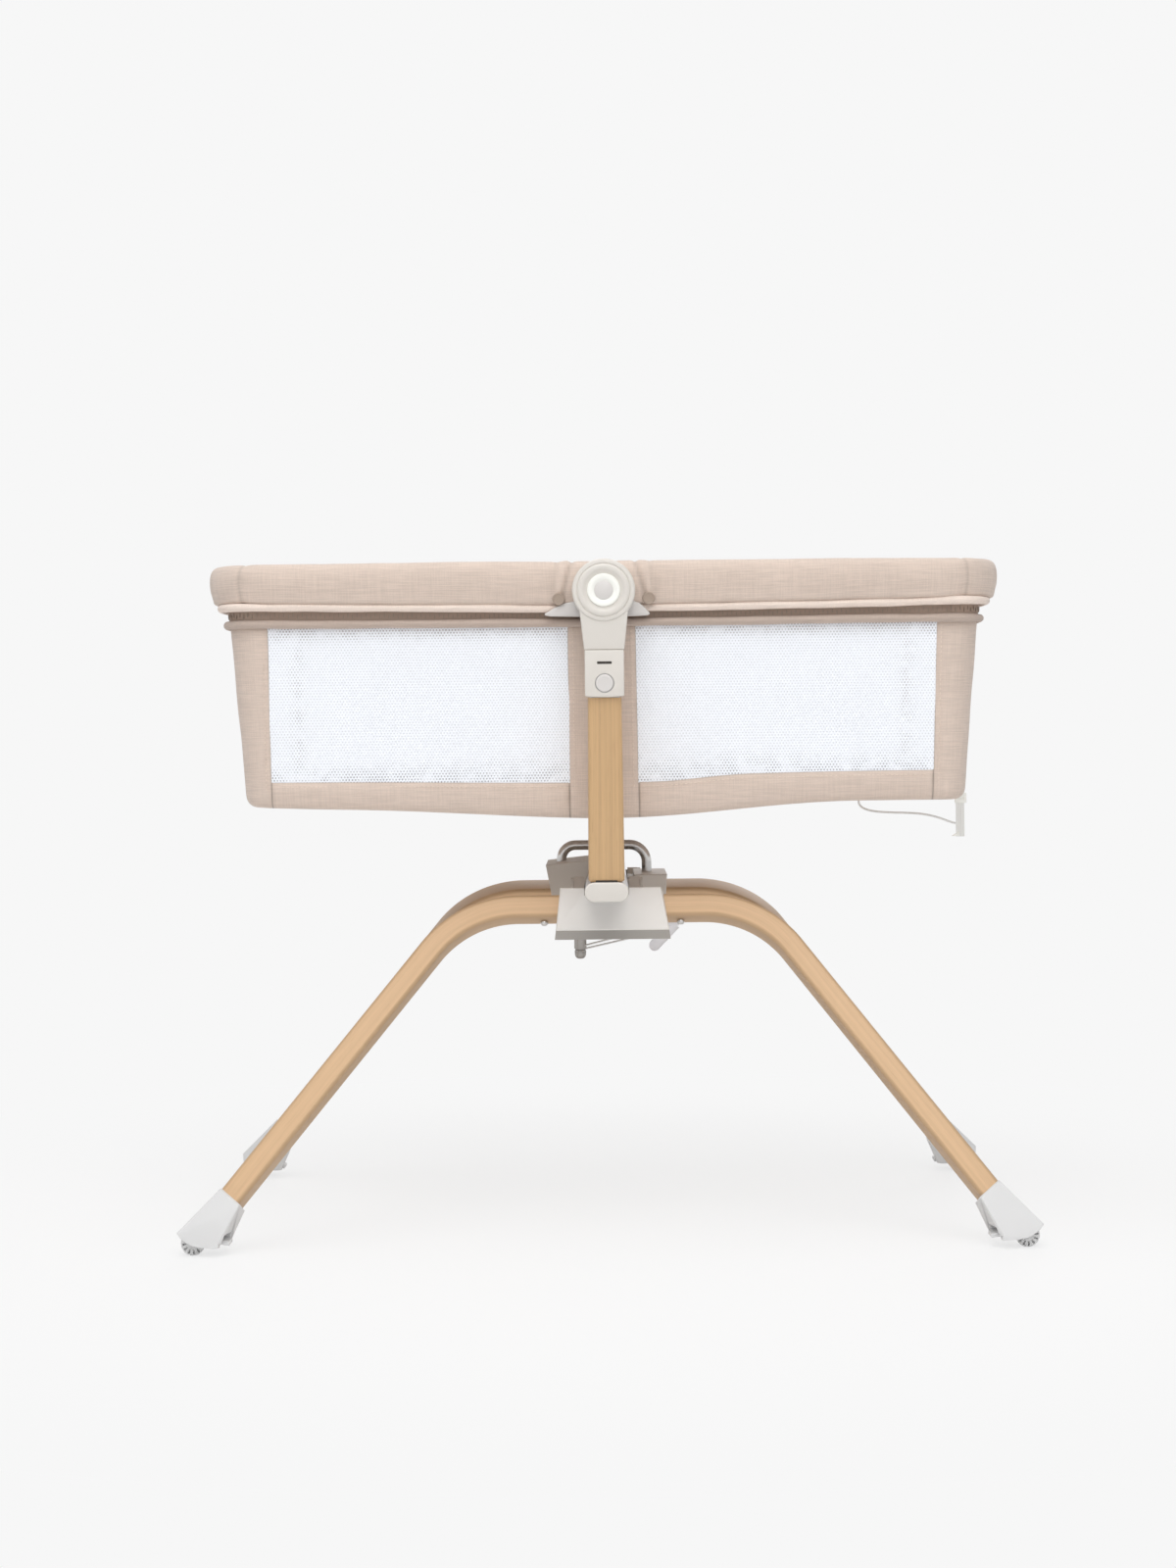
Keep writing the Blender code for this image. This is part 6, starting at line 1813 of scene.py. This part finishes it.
ARCH_Y, ARCH_TILT = 0.150, math.radians(18.9)
ARCH_HEIGHT, ARCH_THICKNESS, ARCH_ROUND = 0.027, 0.038, 0.005
ARCH_FLAT_HALF, ARCH_BEND_RADIUS, LEG_SLOPE = 0.110, 0.129, math.radians(52.6)
ARCH_RISE = ((ARCH_HEIGHT / 2 - ARCH_ROUND) * math.cos(ARCH_TILT)
             + (ARCH_THICKNESS / 2 - ARCH_ROUND) * math.sin(ARCH_TILT) + ARCH_ROUND)
ARCH_Z = CROSSBAR_FOOT_Z - 0.0003 - ARCH_RISE
LEG_MOUTH_X, LEG_MOUTH_Z = 0.4319, 0.0597
LEG_SOCKET = 0.020
ARCH_OFFSET, SADDLE_OFFSET = 0.0050, 0.0065
BOLT_REACH = 0.0805
# A dome-headed bolt's (radius, distance) down from the arch's underside
DOME_BOLT = [
    (0.0032, -0.0040), (0.0032, 0.0006), (0.0044, 0.0008), (0.0047, 0.0020), (0.0044, 0.0038),
    (0.0032, 0.0056), (0.0010, 0.0062),
]


def arch_frame(side):
    """Directions in an arch's own plane: along, down the plane and out of its face."""
    along = Vector((1, 0, 0))
    down = Vector((0, side * math.sin(ARCH_TILT), -math.cos(ARCH_TILT)))
    face = Vector((0, side * math.cos(ARCH_TILT), math.sin(ARCH_TILT)))
    return along, down, face


def arch_place(x, s):
    """How far a point of an arch's plane lies along the arch's line and outside it."""
    reach = abs(x) - ARCH_FLAT_HALF
    angle = math.atan2(reach, ARCH_BEND_RADIUS - s)
    if angle <= 0:
        return x, -s
    if angle < LEG_SLOPE:
        along = ARCH_FLAT_HALF + ARCH_BEND_RADIUS * angle
        return math.copysign(along, x), math.hypot(reach, ARCH_BEND_RADIUS - s) - ARCH_BEND_RADIUS
    away = Vector((reach - ARCH_BEND_RADIUS * math.sin(LEG_SLOPE),
                   s - ARCH_BEND_RADIUS * (1 - math.cos(LEG_SLOPE))))
    along = ARCH_FLAT_HALF + ARCH_BEND_RADIUS * LEG_SLOPE
    along += away.dot(ray(LEG_SLOPE))
    return math.copysign(along, x), away.dot(Vector((math.sin(LEG_SLOPE), -math.cos(LEG_SLOPE))))


def make_arches():
    """Bent ash arches: one section run up a leg, round two bends and down."""
    along, down, _ = arch_frame(1)
    mouth_s = (ARCH_Z - LEG_MOUTH_Z) / math.cos(ARCH_TILT)
    bend_s = ARCH_BEND_RADIUS * (1 - math.cos(LEG_SLOPE))
    leg = (mouth_s - bend_s) / math.sin(LEG_SLOPE) + LEG_SOCKET
    bend_end_x = ARCH_FLAT_HALF + ARCH_BEND_RADIUS * math.sin(LEG_SLOPE)
    heading = along * math.cos(LEG_SLOPE) - down * math.sin(LEG_SLOPE)
    start = Vector((0, ARCH_Y, ARCH_Z)) - along * bend_end_x + down * bend_s - heading * leg
    normal = heading.cross(down)
    if normal.cross(heading).dot(down) < 0:
        normal = -normal
    section = rounded_section(ARCH_HEIGHT, ARCH_THICKNESS, ARCH_ROUND, 5)
    bend = (LEG_SLOPE, ARCH_BEND_RADIUS, 28)
    arch = run("bent_arch", section, start, heading, normal,
               [leg, bend, 2 * ARCH_FLAT_HALF, bend, leg])
    for side_name, side, piece in on_both_sides(arch):
        finish_arch(side_name, side, piece)
    make_arch_bolts()


def finish_arch(side_name, side, piece):
    """Gives an arch its grain and painted shade on its rounded edges, and sets its flat a little over.
    """
    _, down, face = arch_frame(side)
    top = Vector((0, side * ARCH_Y, ARCH_Z))
    grain, edges = [], []
    for vertex in piece.data.vertices:
        away = vertex.co - top
        run_along, outside = arch_place(vertex.co.x, away.dot(down))
        grain.append(Vector((run_along + side * 2.0, outside, away.dot(face))))
        # Painted shade: the rounded top and bottom edges darken.
        from_edge = (abs(outside) - ARCH_HEIGHT / 2 + ARCH_ROUND) / (ARCH_ROUND * 0.6)
        edges.append(min(1.0, max(0.0, from_edge)))
    store(piece, GRAIN, grain)
    store(piece, PAINTED_SHADE, edges, "FLOAT")
    for vertex in piece.data.vertices:
        vertex.co.x += ARCH_OFFSET * (1 - soft_step(abs(vertex.co.x), 0.20, 0.41))
    finish(piece, 40, "arch_ash", "ash_wood", f"{side_name}_legs", f"arch_{side_name}")


def make_arch_bolts():
    """One dome bolt, copied under the arches beside their brackets."""
    bolt = turned("dome_bolt", DOME_BOLT, sides=24)
    for side_name, side in SIDES.items():
        along, down, _ = arch_frame(side)
        turn = Vector((0, 0, 1)).rotation_difference(down).to_matrix().to_4x4()
        foot = Vector((0, side * ARCH_Y, ARCH_Z)) + down * (ARCH_HEIGHT / 2)
        for end_name, end in ENDS.items():
            place = foot + along * (SADDLE_OFFSET + end * BOLT_REACH)
            head = copied(bolt, f"arch_bolt_{side_name}_{end_name}", Matrix.Translation(place) @ turn)
            finish(head, 50, "bright_steel", "bright_steel", f"{side_name}_legs")
    discard(bolt)


SADDLE_FACE_Y = ARCH_Y + 0.024
EAR_TOP_Z = 0.4148
# The saddle's band and its ears over EAR_SHADE_Z are darkened as painted shade.
EAR_INNER_Y, EAR_SHADE_Z, BAND_HEIGHT = SADDLE_FACE_Y - 0.049, 0.401, 0.0095


def make_bracket(side_name):
    """The trapezoid saddle on the arch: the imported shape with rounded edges."""
    node = f"arch_bracket_{side_name}"
    piece = refined(node, f"saddle_{side_name}", 0)
    foot_z = min(v.co.z for v in piece.data.vertices if abs(v.co.y) > SADDLE_FACE_Y)
    begin_edit(piece, select="SELECT")
    bpy.ops.mesh.bisect(plane_co=(0, 0, foot_z), plane_no=(0, 0, 1), use_fill=True,
                        clear_inner=True)
    end_edit()
    for vertex in piece.data.vertices:
        vertex.co.z = min(vertex.co.z, EAR_TOP_Z)
    round_edges(piece, 0.0010, 3, 25)
    for vertex in piece.data.vertices:
        beside_bar = soft_step(abs(vertex.co.x), 0.040, 0.050)
        vertex.co.x += SADDLE_OFFSET * beside_bar * (1 - soft_step(vertex.co.z, 0.398, 0.417))
    # The saddle's lighter grey is painted light against the basket's shadow.
    finish(piece, 35, "pale_grey_plastic", "grey_plastic", f"{side_name}_legs", node)
    piece.data.materials.append(look("saddle_band_plastic"))
    piece.data.materials.append(look("shade_grey_plastic"))
    # Painted shade: the band along the foot takes a darker grey, and the ears take the hub's darker
    # grey.
    for face in piece.data.polygons:
        if face.center.z < foot_z + BAND_HEIGHT:
            face.material_index = 1
        elif face.center.z > EAR_SHADE_Z and abs(face.center.y) < EAR_INNER_Y:
            face.material_index = 2


# Hub

# Each cover's look, shift, top height, top drop, hole and the hole's own shift
# The left cover's darker grey is painted shade and the right cover's lighter grey is painted light.
COVERS = {
    "hub_cover_left": ("shade_grey_plastic", 0.0030, 0.430, 0.0052, -0.0608, 0.0055),
    "hub_cover_right": ("light_grey_plastic", 0.0024, 0.421, 0.0078, 0.0430, 0.0064),
}
COVER_SLOPE = 0.102
HOLE_REACH = 0.0080
INFILL_LOW, INFILL_HIGH = (0.0254, -0.066, 0.3880), (0.0340, 0.066, 0.4085)
HANDLE_RADIUS, LEFT_BEND, RIGHT_BEND = 0.006, 0.017, 0.021
BOLT_SHANK, BOLT_SHIFT = 0.0076, 0.0038
# The bolt's dome nut as (radius, height over its lowest point)
DOME_NUT = [
    (0.0076, 0.0128), (0.0072, 0.0122), (0.0062, 0.0120), (0.0062, 0.0110), (0.0069, 0.0106),
    (0.0071, 0.0098), (0.0070, 0.0052), (0.0063, 0.0028), (0.0048, 0.0010), (0.0026, 0.0001),
    (0.0010, 0.0),
]
WIRE_RADIUS, WIRE_BEND, WIRE_X, WIRE_Y = 0.0011, 0.004, 0.003, 0.0035
# Each wire's side, starting height, slope and reach
WIRES = ((-1, 0.3240, 0.245, 0.060), (1, 0.3195, 0.222, 0.066))
TAB_HALF_THICKNESS, TAB_ROOT_HALF, TAB_TIP_RADIUS = 0.0022, 0.0046, 0.0070


def make_cover(node, finish_name, shift, top_z, drop, hole_x, hole_shift):
    """A cover of the hub, set a little over and down, its hole with the handle."""
    piece = refined(node, f"{node}_moulding", 0)
    for vertex in piece.data.vertices:
        at_hole = math.hypot(vertex.co.x - hole_x, vertex.co.y) < HOLE_REACH
        if vertex.co.z > top_z:
            vertex.co.z -= drop
            if at_hole and hole_x < 0:
                vertex.co.z += (hole_shift - shift) * COVER_SLOPE
        vertex.co.x += hole_shift if at_hole else shift
    round_edges(piece, 0.0018, 3, 25)
    finish(piece, 35, finish_name, "shade_plastic", "base", node)


def make_hub():
    """The hub's covers, its base and the infill between the covers."""
    for node, values in COVERS.items():
        make_cover(node, *values)
    # Base and infill take the hub's darker grey as painted shade.
    base = refined("hub_base", "hub_base_moulding", 0.0018, 3, 25)
    put_on(base, "shade_grey_plastic", "shade_plastic", "base", "hub_base")
    infill = slab("hub_infill", INFILL_LOW, INFILL_HIGH)
    round_edges(infill, 0.0008, 2)
    finish(infill, 35, "shade_grey_plastic", "shade_plastic", "base")


def make_handle():
    """The fold handle, a bright tube bent over twice, in the covers' holes."""
    left = HANDLE_LOW.x + HANDLE_RADIUS + COVERS["hub_cover_left"][-1]
    right = HANDLE_HIGH.x - HANDLE_RADIUS + COVERS["hub_cover_right"][-1]
    top = HANDLE_HIGH.z - HANDLE_RADIUS - HANDLE_LOW.z
    handle = run(
        "fold_handle_tube", ring_section(HANDLE_RADIUS, 24), (left, 0, HANDLE_LOW.z), (0, 0, 1),
        (0, 1, 0),
        [top - LEFT_BEND, (math.pi / 2, LEFT_BEND, 14), right - left - LEFT_BEND - RIGHT_BEND,
         (math.pi / 2, RIGHT_BEND, 16), top - RIGHT_BEND])
    finish(handle, 40, "bright_steel", "bright_steel", "fold_release", "fold_handle")


def make_lock():
    """The lock bolt with its dome nut, and two thin wires up to the hub."""
    low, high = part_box("lock_bolt")
    bolt_x = (low.x + high.x) / 2 + BOLT_SHIFT
    profile = [(BOLT_SHANK, high.z)] + [(radius, low.z + rise) for radius, rise in DOME_NUT]
    bolt = turned("lock_bolt_turned", profile, (bolt_x, 0, 0), "Z", 40)
    finish(bolt, 40, "dull_steel", "bright_steel", "base", "lock_bolt")
    wires = []
    for side, start_z, slope, reach in WIRES:
        angle = math.atan(slope)
        bend_top = start_z + reach * math.sin(angle) + WIRE_BEND * math.cos(angle)
        bend = (math.pi / 2 - angle, WIRE_BEND, 6)
        start = (bolt_x + WIRE_X, side * WIRE_Y, start_z)
        wires.append(run(f"wire_{side}", ring_section(WIRE_RADIUS, 12), start, (1, 0, slope),
                         (0, -1, 0), [reach, bend, high.z - bend_top]))
    wires = joined("lock_wires", wires)
    finish(wires, 40, "bright_steel", "bright_steel", "base", "lock_wire")


def make_tab():
    """The milky tongue that hangs from the hub, broad side to the front."""
    low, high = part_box("pull_tab")
    root, tip = Vector((high.x + 0.003, high.z - 0.003)), Vector((low.x + 0.0155, low.z + 0.0078))
    way = (tip - root).normalized()
    side = Vector((-way.y, way.x))
    outline = [root - side * TAB_ROOT_HALF, root + side * TAB_ROOT_HALF]
    for i in range(17):
        angle = math.pi * i / 16
        outline.append(tip + (side * math.cos(angle) + way * math.sin(angle)) * TAB_TIP_RADIUS)
    middle = (low.y + high.y) / 2
    near, far = middle - TAB_HALF_THICKNESS, middle + TAB_HALF_THICKNESS
    tab = plate("pull_tab_tongue", outline, near, far)
    begin_edit(tab)
    pick(tab, "faces", lambda f: abs(f.normal.y) > 0.9)
    bpy.ops.mesh.inset(thickness=0.0014, depth=-0.0009, use_individual=True)
    end_edit()
    lug = slab("pull_tab_lug", (low.x - 0.001, near, high.z - 0.0036),
               (root.x + 0.0030, far, high.z + 0.0006))
    for part in (tab, lug):
        round_edges(part, 0.0004, 2)
    tab = joined("pull_tab_tongue", [tab, lug])
    finish(tab, 35, "milky_tab", "milky_plastic", "base", "pull_tab")


# Feet, wheels and pedals

FOOT_SOLE = [
    (0.510, -0.010), (0.510, 0.0400), (0.4912, 0.0276), (0.4865, 0.0218), (0.4800, 0.0172),
    (0.4720, 0.0134), (0.4620, 0.0110), (0.4500, 0.0101), (0.4400, 0.0102), (0.4330, 0.0112),
    (0.4270, 0.0136), (0.4230, 0.0172), (0.4050, 0.0172), (0.4050, -0.010),
]
HEEL_X, HEEL_Z, HEEL_REACH = 0.4495, 0.030, 0.0075
MOUTH_Z, MOUTH_SLIM = 0.052, 0.0022
AXLE_RADIUS, HUB_RADIUS, SPOKE_RADIUS, WHEEL_HALF = 0.003, 0.0076, 0.0122, 0.011
WHEEL_STEPS = 60


def make_foot(side_name, end_name, end):
    """The moulded foot with its long heel, slim mouth and curved sole."""
    node = f"foot_{side_name}_{end_name}"
    piece = refined(node, f"{node}_moulding", 0)
    low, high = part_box(node)
    for vertex in piece.data.vertices:
        if abs(vertex.co.x) < HEEL_X and vertex.co.z < HEEL_Z:
            vertex.co.x -= end * HEEL_REACH * (1 - vertex.co.z / HEEL_Z)
        over = abs(vertex.co.x) - LEG_MOUTH_X + (vertex.co.z - LEG_MOUTH_Z) / math.tan(LEG_SLOPE)
        if vertex.co.z > MOUTH_Z and over > ARCH_HEIGHT * 0.45:
            vertex.co.x -= end * MOUTH_SLIM * math.sin(LEG_SLOPE)
            vertex.co.z -= MOUTH_SLIM * math.cos(LEG_SLOPE)
    sole = [(end * x, z) for x, z in FOOT_SOLE]
    cut_away(piece, plate("sole_tool", sole, low.y - 0.02, high.y + 0.02))
    begin_edit(piece, select="SELECT")
    bpy.ops.mesh.dissolve_limited(angle_limit=math.radians(2))
    end_edit()
    round_edges(piece, 0.0013, 3, 25)
    finish(piece, 40, "foot_grey_plastic", "foot_plastic", f"{side_name}_legs", node)


def make_wheels():
    """One wheel with a ribbed tread and slots beside its hub, copied to the axles."""
    low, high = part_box("wheel_far_right")
    tread_radius = (high.x - low.x) / 2 - 0.0002
    shoulder, edge = tread_radius - 0.0006, WHEEL_HALF - 0.0002
    groove = tread_radius - 0.0008
    half = [
        (groove, 0.0006), (tread_radius, 0.0012), (tread_radius, WHEEL_HALF - 0.0008),
        (shoulder, edge), (SPOKE_RADIUS, WHEEL_HALF), (HUB_RADIUS, WHEEL_HALF),
        (AXLE_RADIUS, WHEEL_HALF), (AXLE_RADIUS, (high.y - low.y) / 2),
    ]
    profile = [(radius, -distance) for radius, distance in reversed(half)] + half
    wheel = turned("ribbed_wheel", profile, axis="Y", sides=WHEEL_STEPS)

    def place(face):
        """A face's distance from the axle and its step round it."""
        spot = face.calc_center_median()
        turn = math.atan2(spot.z, spot.x) / (2 * math.pi)
        return math.hypot(spot.x, spot.z), math.floor(turn * WHEEL_STEPS)

    def on_rib_gap(face):
        away, step = place(face)
        return away > shoulder + 0.0002 and abs(face.normal.y) < 0.2 and step % 3 == 0

    def on_slot(face):
        away, step = place(face)
        at_spokes = HUB_RADIUS + 0.0002 < away < SPOKE_RADIUS - 0.0001
        return at_spokes and abs(face.normal.y) > 0.9 and step % 5 < 2

    begin_edit(wheel)
    pick(wheel, "faces", on_rib_gap)
    bpy.ops.mesh.inset(thickness=0.00012, depth=-0.0009, use_individual=False)
    bpy.ops.mesh.select_all(action="DESELECT")
    pick(wheel, "faces", on_slot)
    bpy.ops.mesh.inset(thickness=0.00015, depth=-0.0035, use_individual=False)
    end_edit()
    outwards(wheel)
    for side_name, _, end_name, _ in QUARTERS:
        node = f"wheel_{side_name}_{end_name}"
        low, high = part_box(node)
        made = copied(wheel, f"{node}_ribbed", Matrix.Translation((low + high) / 2))
        finish(made, 30, "wheel_tread", "wheel_plastic", f"{side_name}_{end_name}_wheel", node)
    discard(wheel)


def make_pedal(side_name, end_name):
    """A brake pedal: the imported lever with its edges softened."""
    node = f"brake_pedal_{side_name}_{end_name}"
    piece = refined(node, f"{node}_lever", 0.0003)
    put_on(piece, "foot_grey_plastic", "foot_plastic", f"{side_name}_{end_name}_brake", node)


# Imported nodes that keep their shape

KEPT_NODES = {
    "base_board": "fibre_board", "crossbar": "satin_aluminium",
    # The fold pins take the hub's darker grey as painted shade, in place of steel.
    "fold_pin_near": "shade_grey_plastic", "fold_pin_far": "shade_grey_plastic",
    "sliding_tube_near": "satin_aluminium", "sliding_tube_far": "satin_aluminium",
    "pivot_pin_near": "bright_steel", "pivot_pin_far": "bright_steel",
    "rim_tube_left": "satin_aluminium", "rim_tube_right": "satin_aluminium",
}


def finish_kept_nodes():
    for node, name in KEPT_NODES.items():
        shown = frame["nodes"][node]
        if shown.material_slots:
            shown.material_slots[0].material = look(name)
        else:
            shown.data.materials.append(look(name))


# Operators

class CribOperator(bpy.types.Operator):
    """Shared settings of the crib's operators"""

    bl_options = {"REGISTER", "UNDO"}


class CRIB_OT_camera(CribOperator):
    """Adds the camera at the photograph's viewing angle"""

    bl_idname = "crib.camera"
    bl_label = "Camera"

    def execute(self, context):
        make_camera()
        return {"FINISHED"}


class CRIB_OT_tether_cord(CribOperator):
    """Lays the thin cord under the basket"""

    bl_idname = "crib.tether_cord"
    bl_label = "Tether cord"

    def execute(self, context):
        make_tether_cord()
        return {"FINISHED"}


class CRIB_OT_tether_strap(CribOperator):
    """Makes the webbing strap, its buckle and the cord's eyelet"""

    bl_idname = "crib.tether_strap"
    bl_label = "Tether strap"

    def execute(self, context):
        make_tether_strap()
        return {"FINISHED"}


class CRIB_OT_rim(CribOperator):
    """Sews the two padded sleeves, their press studs and the moulded wings"""

    bl_idname = "crib.rim"
    bl_label = "Padded rim"

    def execute(self, context):
        for end_name, end in ENDS.items():
            make_sleeve(end_name, end)
        make_snaps()
        make_rim_brackets()
        make_rim_wings()
        return {"FINISHED"}


class CRIB_OT_basket(CribOperator):
    """Sews the basket's cloth, hems, zip and stitches"""

    bl_idname = "crib.basket"
    bl_label = "Basket cloth"

    def execute(self, context):
        make_basket_cloth()
        make_hems()
        make_stitches()
        return {"FINISHED"}


class CRIB_OT_windows(CribOperator):
    """Stretches the four net windows"""

    bl_idname = "crib.windows"
    bl_label = "Net windows"

    def execute(self, context):
        for quarter in QUARTERS:
            make_window(*quarter)
        return {"FINISHED"}


class CRIB_OT_mattress(CribOperator):
    """Swells, quilts and pipes the mattress"""

    bl_idname = "crib.mattress"
    bl_label = "Mattress"

    def execute(self, context):
        make_mattress()
        return {"FINISHED"}


class CRIB_OT_pivots(CribOperator):
    """Moulds the pivot discs, the heads and their buttons"""

    bl_idname = "crib.pivots"
    bl_label = "Pivots and heads"

    def execute(self, context):
        make_pivots()
        make_heads()
        return {"FINISHED"}


class CRIB_OT_posts(CribOperator):
    """Makes the posts and the caps on the crossbar's ends"""

    bl_idname = "crib.posts"
    bl_label = "Posts"

    def execute(self, context):
        make_posts()
        make_bar_caps()
        return {"FINISHED"}


class CRIB_OT_arches(CribOperator):
    """Bends the arches and seats their brackets and bolts"""

    bl_idname = "crib.arches"
    bl_label = "Arches and brackets"

    def execute(self, context):
        make_arches()
        for side_name in SIDES:
            make_bracket(side_name)
        return {"FINISHED"}


class CRIB_OT_hub(CribOperator):
    """Makes the hub's covers, fold handle, bolt and tab"""

    bl_idname = "crib.hub"
    bl_label = "Hub"

    def execute(self, context):
        make_hub()
        make_handle()
        make_lock()
        make_tab()
        return {"FINISHED"}


class CRIB_OT_feet(CribOperator):
    """Moulds the feet, the ribbed wheels and the brake pedals"""

    bl_idname = "crib.feet"
    bl_label = "Feet and wheels"

    def execute(self, context):
        for side_name, _, end_name, end in QUARTERS:
            make_foot(side_name, end_name, end)
            make_pedal(side_name, end_name)
        make_wheels()
        return {"FINISHED"}


class CRIB_OT_kept_nodes(CribOperator):
    """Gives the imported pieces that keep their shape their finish"""

    bl_idname = "crib.kept_nodes"
    bl_label = "Packed pieces"

    def execute(self, context):
        finish_kept_nodes()
        return {"FINISHED"}


class CRIB_OT_stage(CribOperator):
    """Adds the floor, the soft lights and the plain world"""

    bl_idname = "crib.stage"
    bl_label = "Stage"

    def execute(self, context):
        make_stage()
        return {"FINISHED"}


OPERATORS = (
    CRIB_OT_camera, CRIB_OT_tether_cord, CRIB_OT_rim, CRIB_OT_basket, CRIB_OT_windows,
    CRIB_OT_mattress, CRIB_OT_tether_strap, CRIB_OT_pivots, CRIB_OT_posts, CRIB_OT_arches,
    CRIB_OT_hub, CRIB_OT_feet, CRIB_OT_kept_nodes, CRIB_OT_stage,
)


class CRIB_PT_panel(bpy.types.Panel):
    """Lists the crib's sizes, colours and pieces"""

    bl_idname = "CRIB_PT_panel"
    bl_label = "Bedside crib"
    bl_space_type = "VIEW_3D"
    bl_region_type = "UI"
    bl_category = "Crib"

    def draw(self, context):
        for group in (context.scene.crib_sizes, context.scene.crib_colours):
            for key in group.__annotations__:
                self.layout.prop(group, key)
        for operator in OPERATORS:
            self.layout.operator(operator.bl_idname)


CLASSES = (CribSizes, CribColours, *OPERATORS, CRIB_PT_panel)


def register():
    for item in CLASSES:
        bpy.utils.register_class(item)
    bpy.types.Scene.crib_sizes = bpy.props.PointerProperty(type=CribSizes)
    bpy.types.Scene.crib_colours = bpy.props.PointerProperty(type=CribColours)


def unregister():
    del bpy.types.Scene.crib_sizes
    del bpy.types.Scene.crib_colours
    for item in reversed(CLASSES):
        bpy.utils.unregister_class(item)


def main():
    register()
    for operator in OPERATORS:
        group, name = operator.bl_idname.split(".")
        getattr(getattr(bpy.ops, group), name)()
    bpy.context.view_layer.update()


if __name__ == "__main__":
    main()
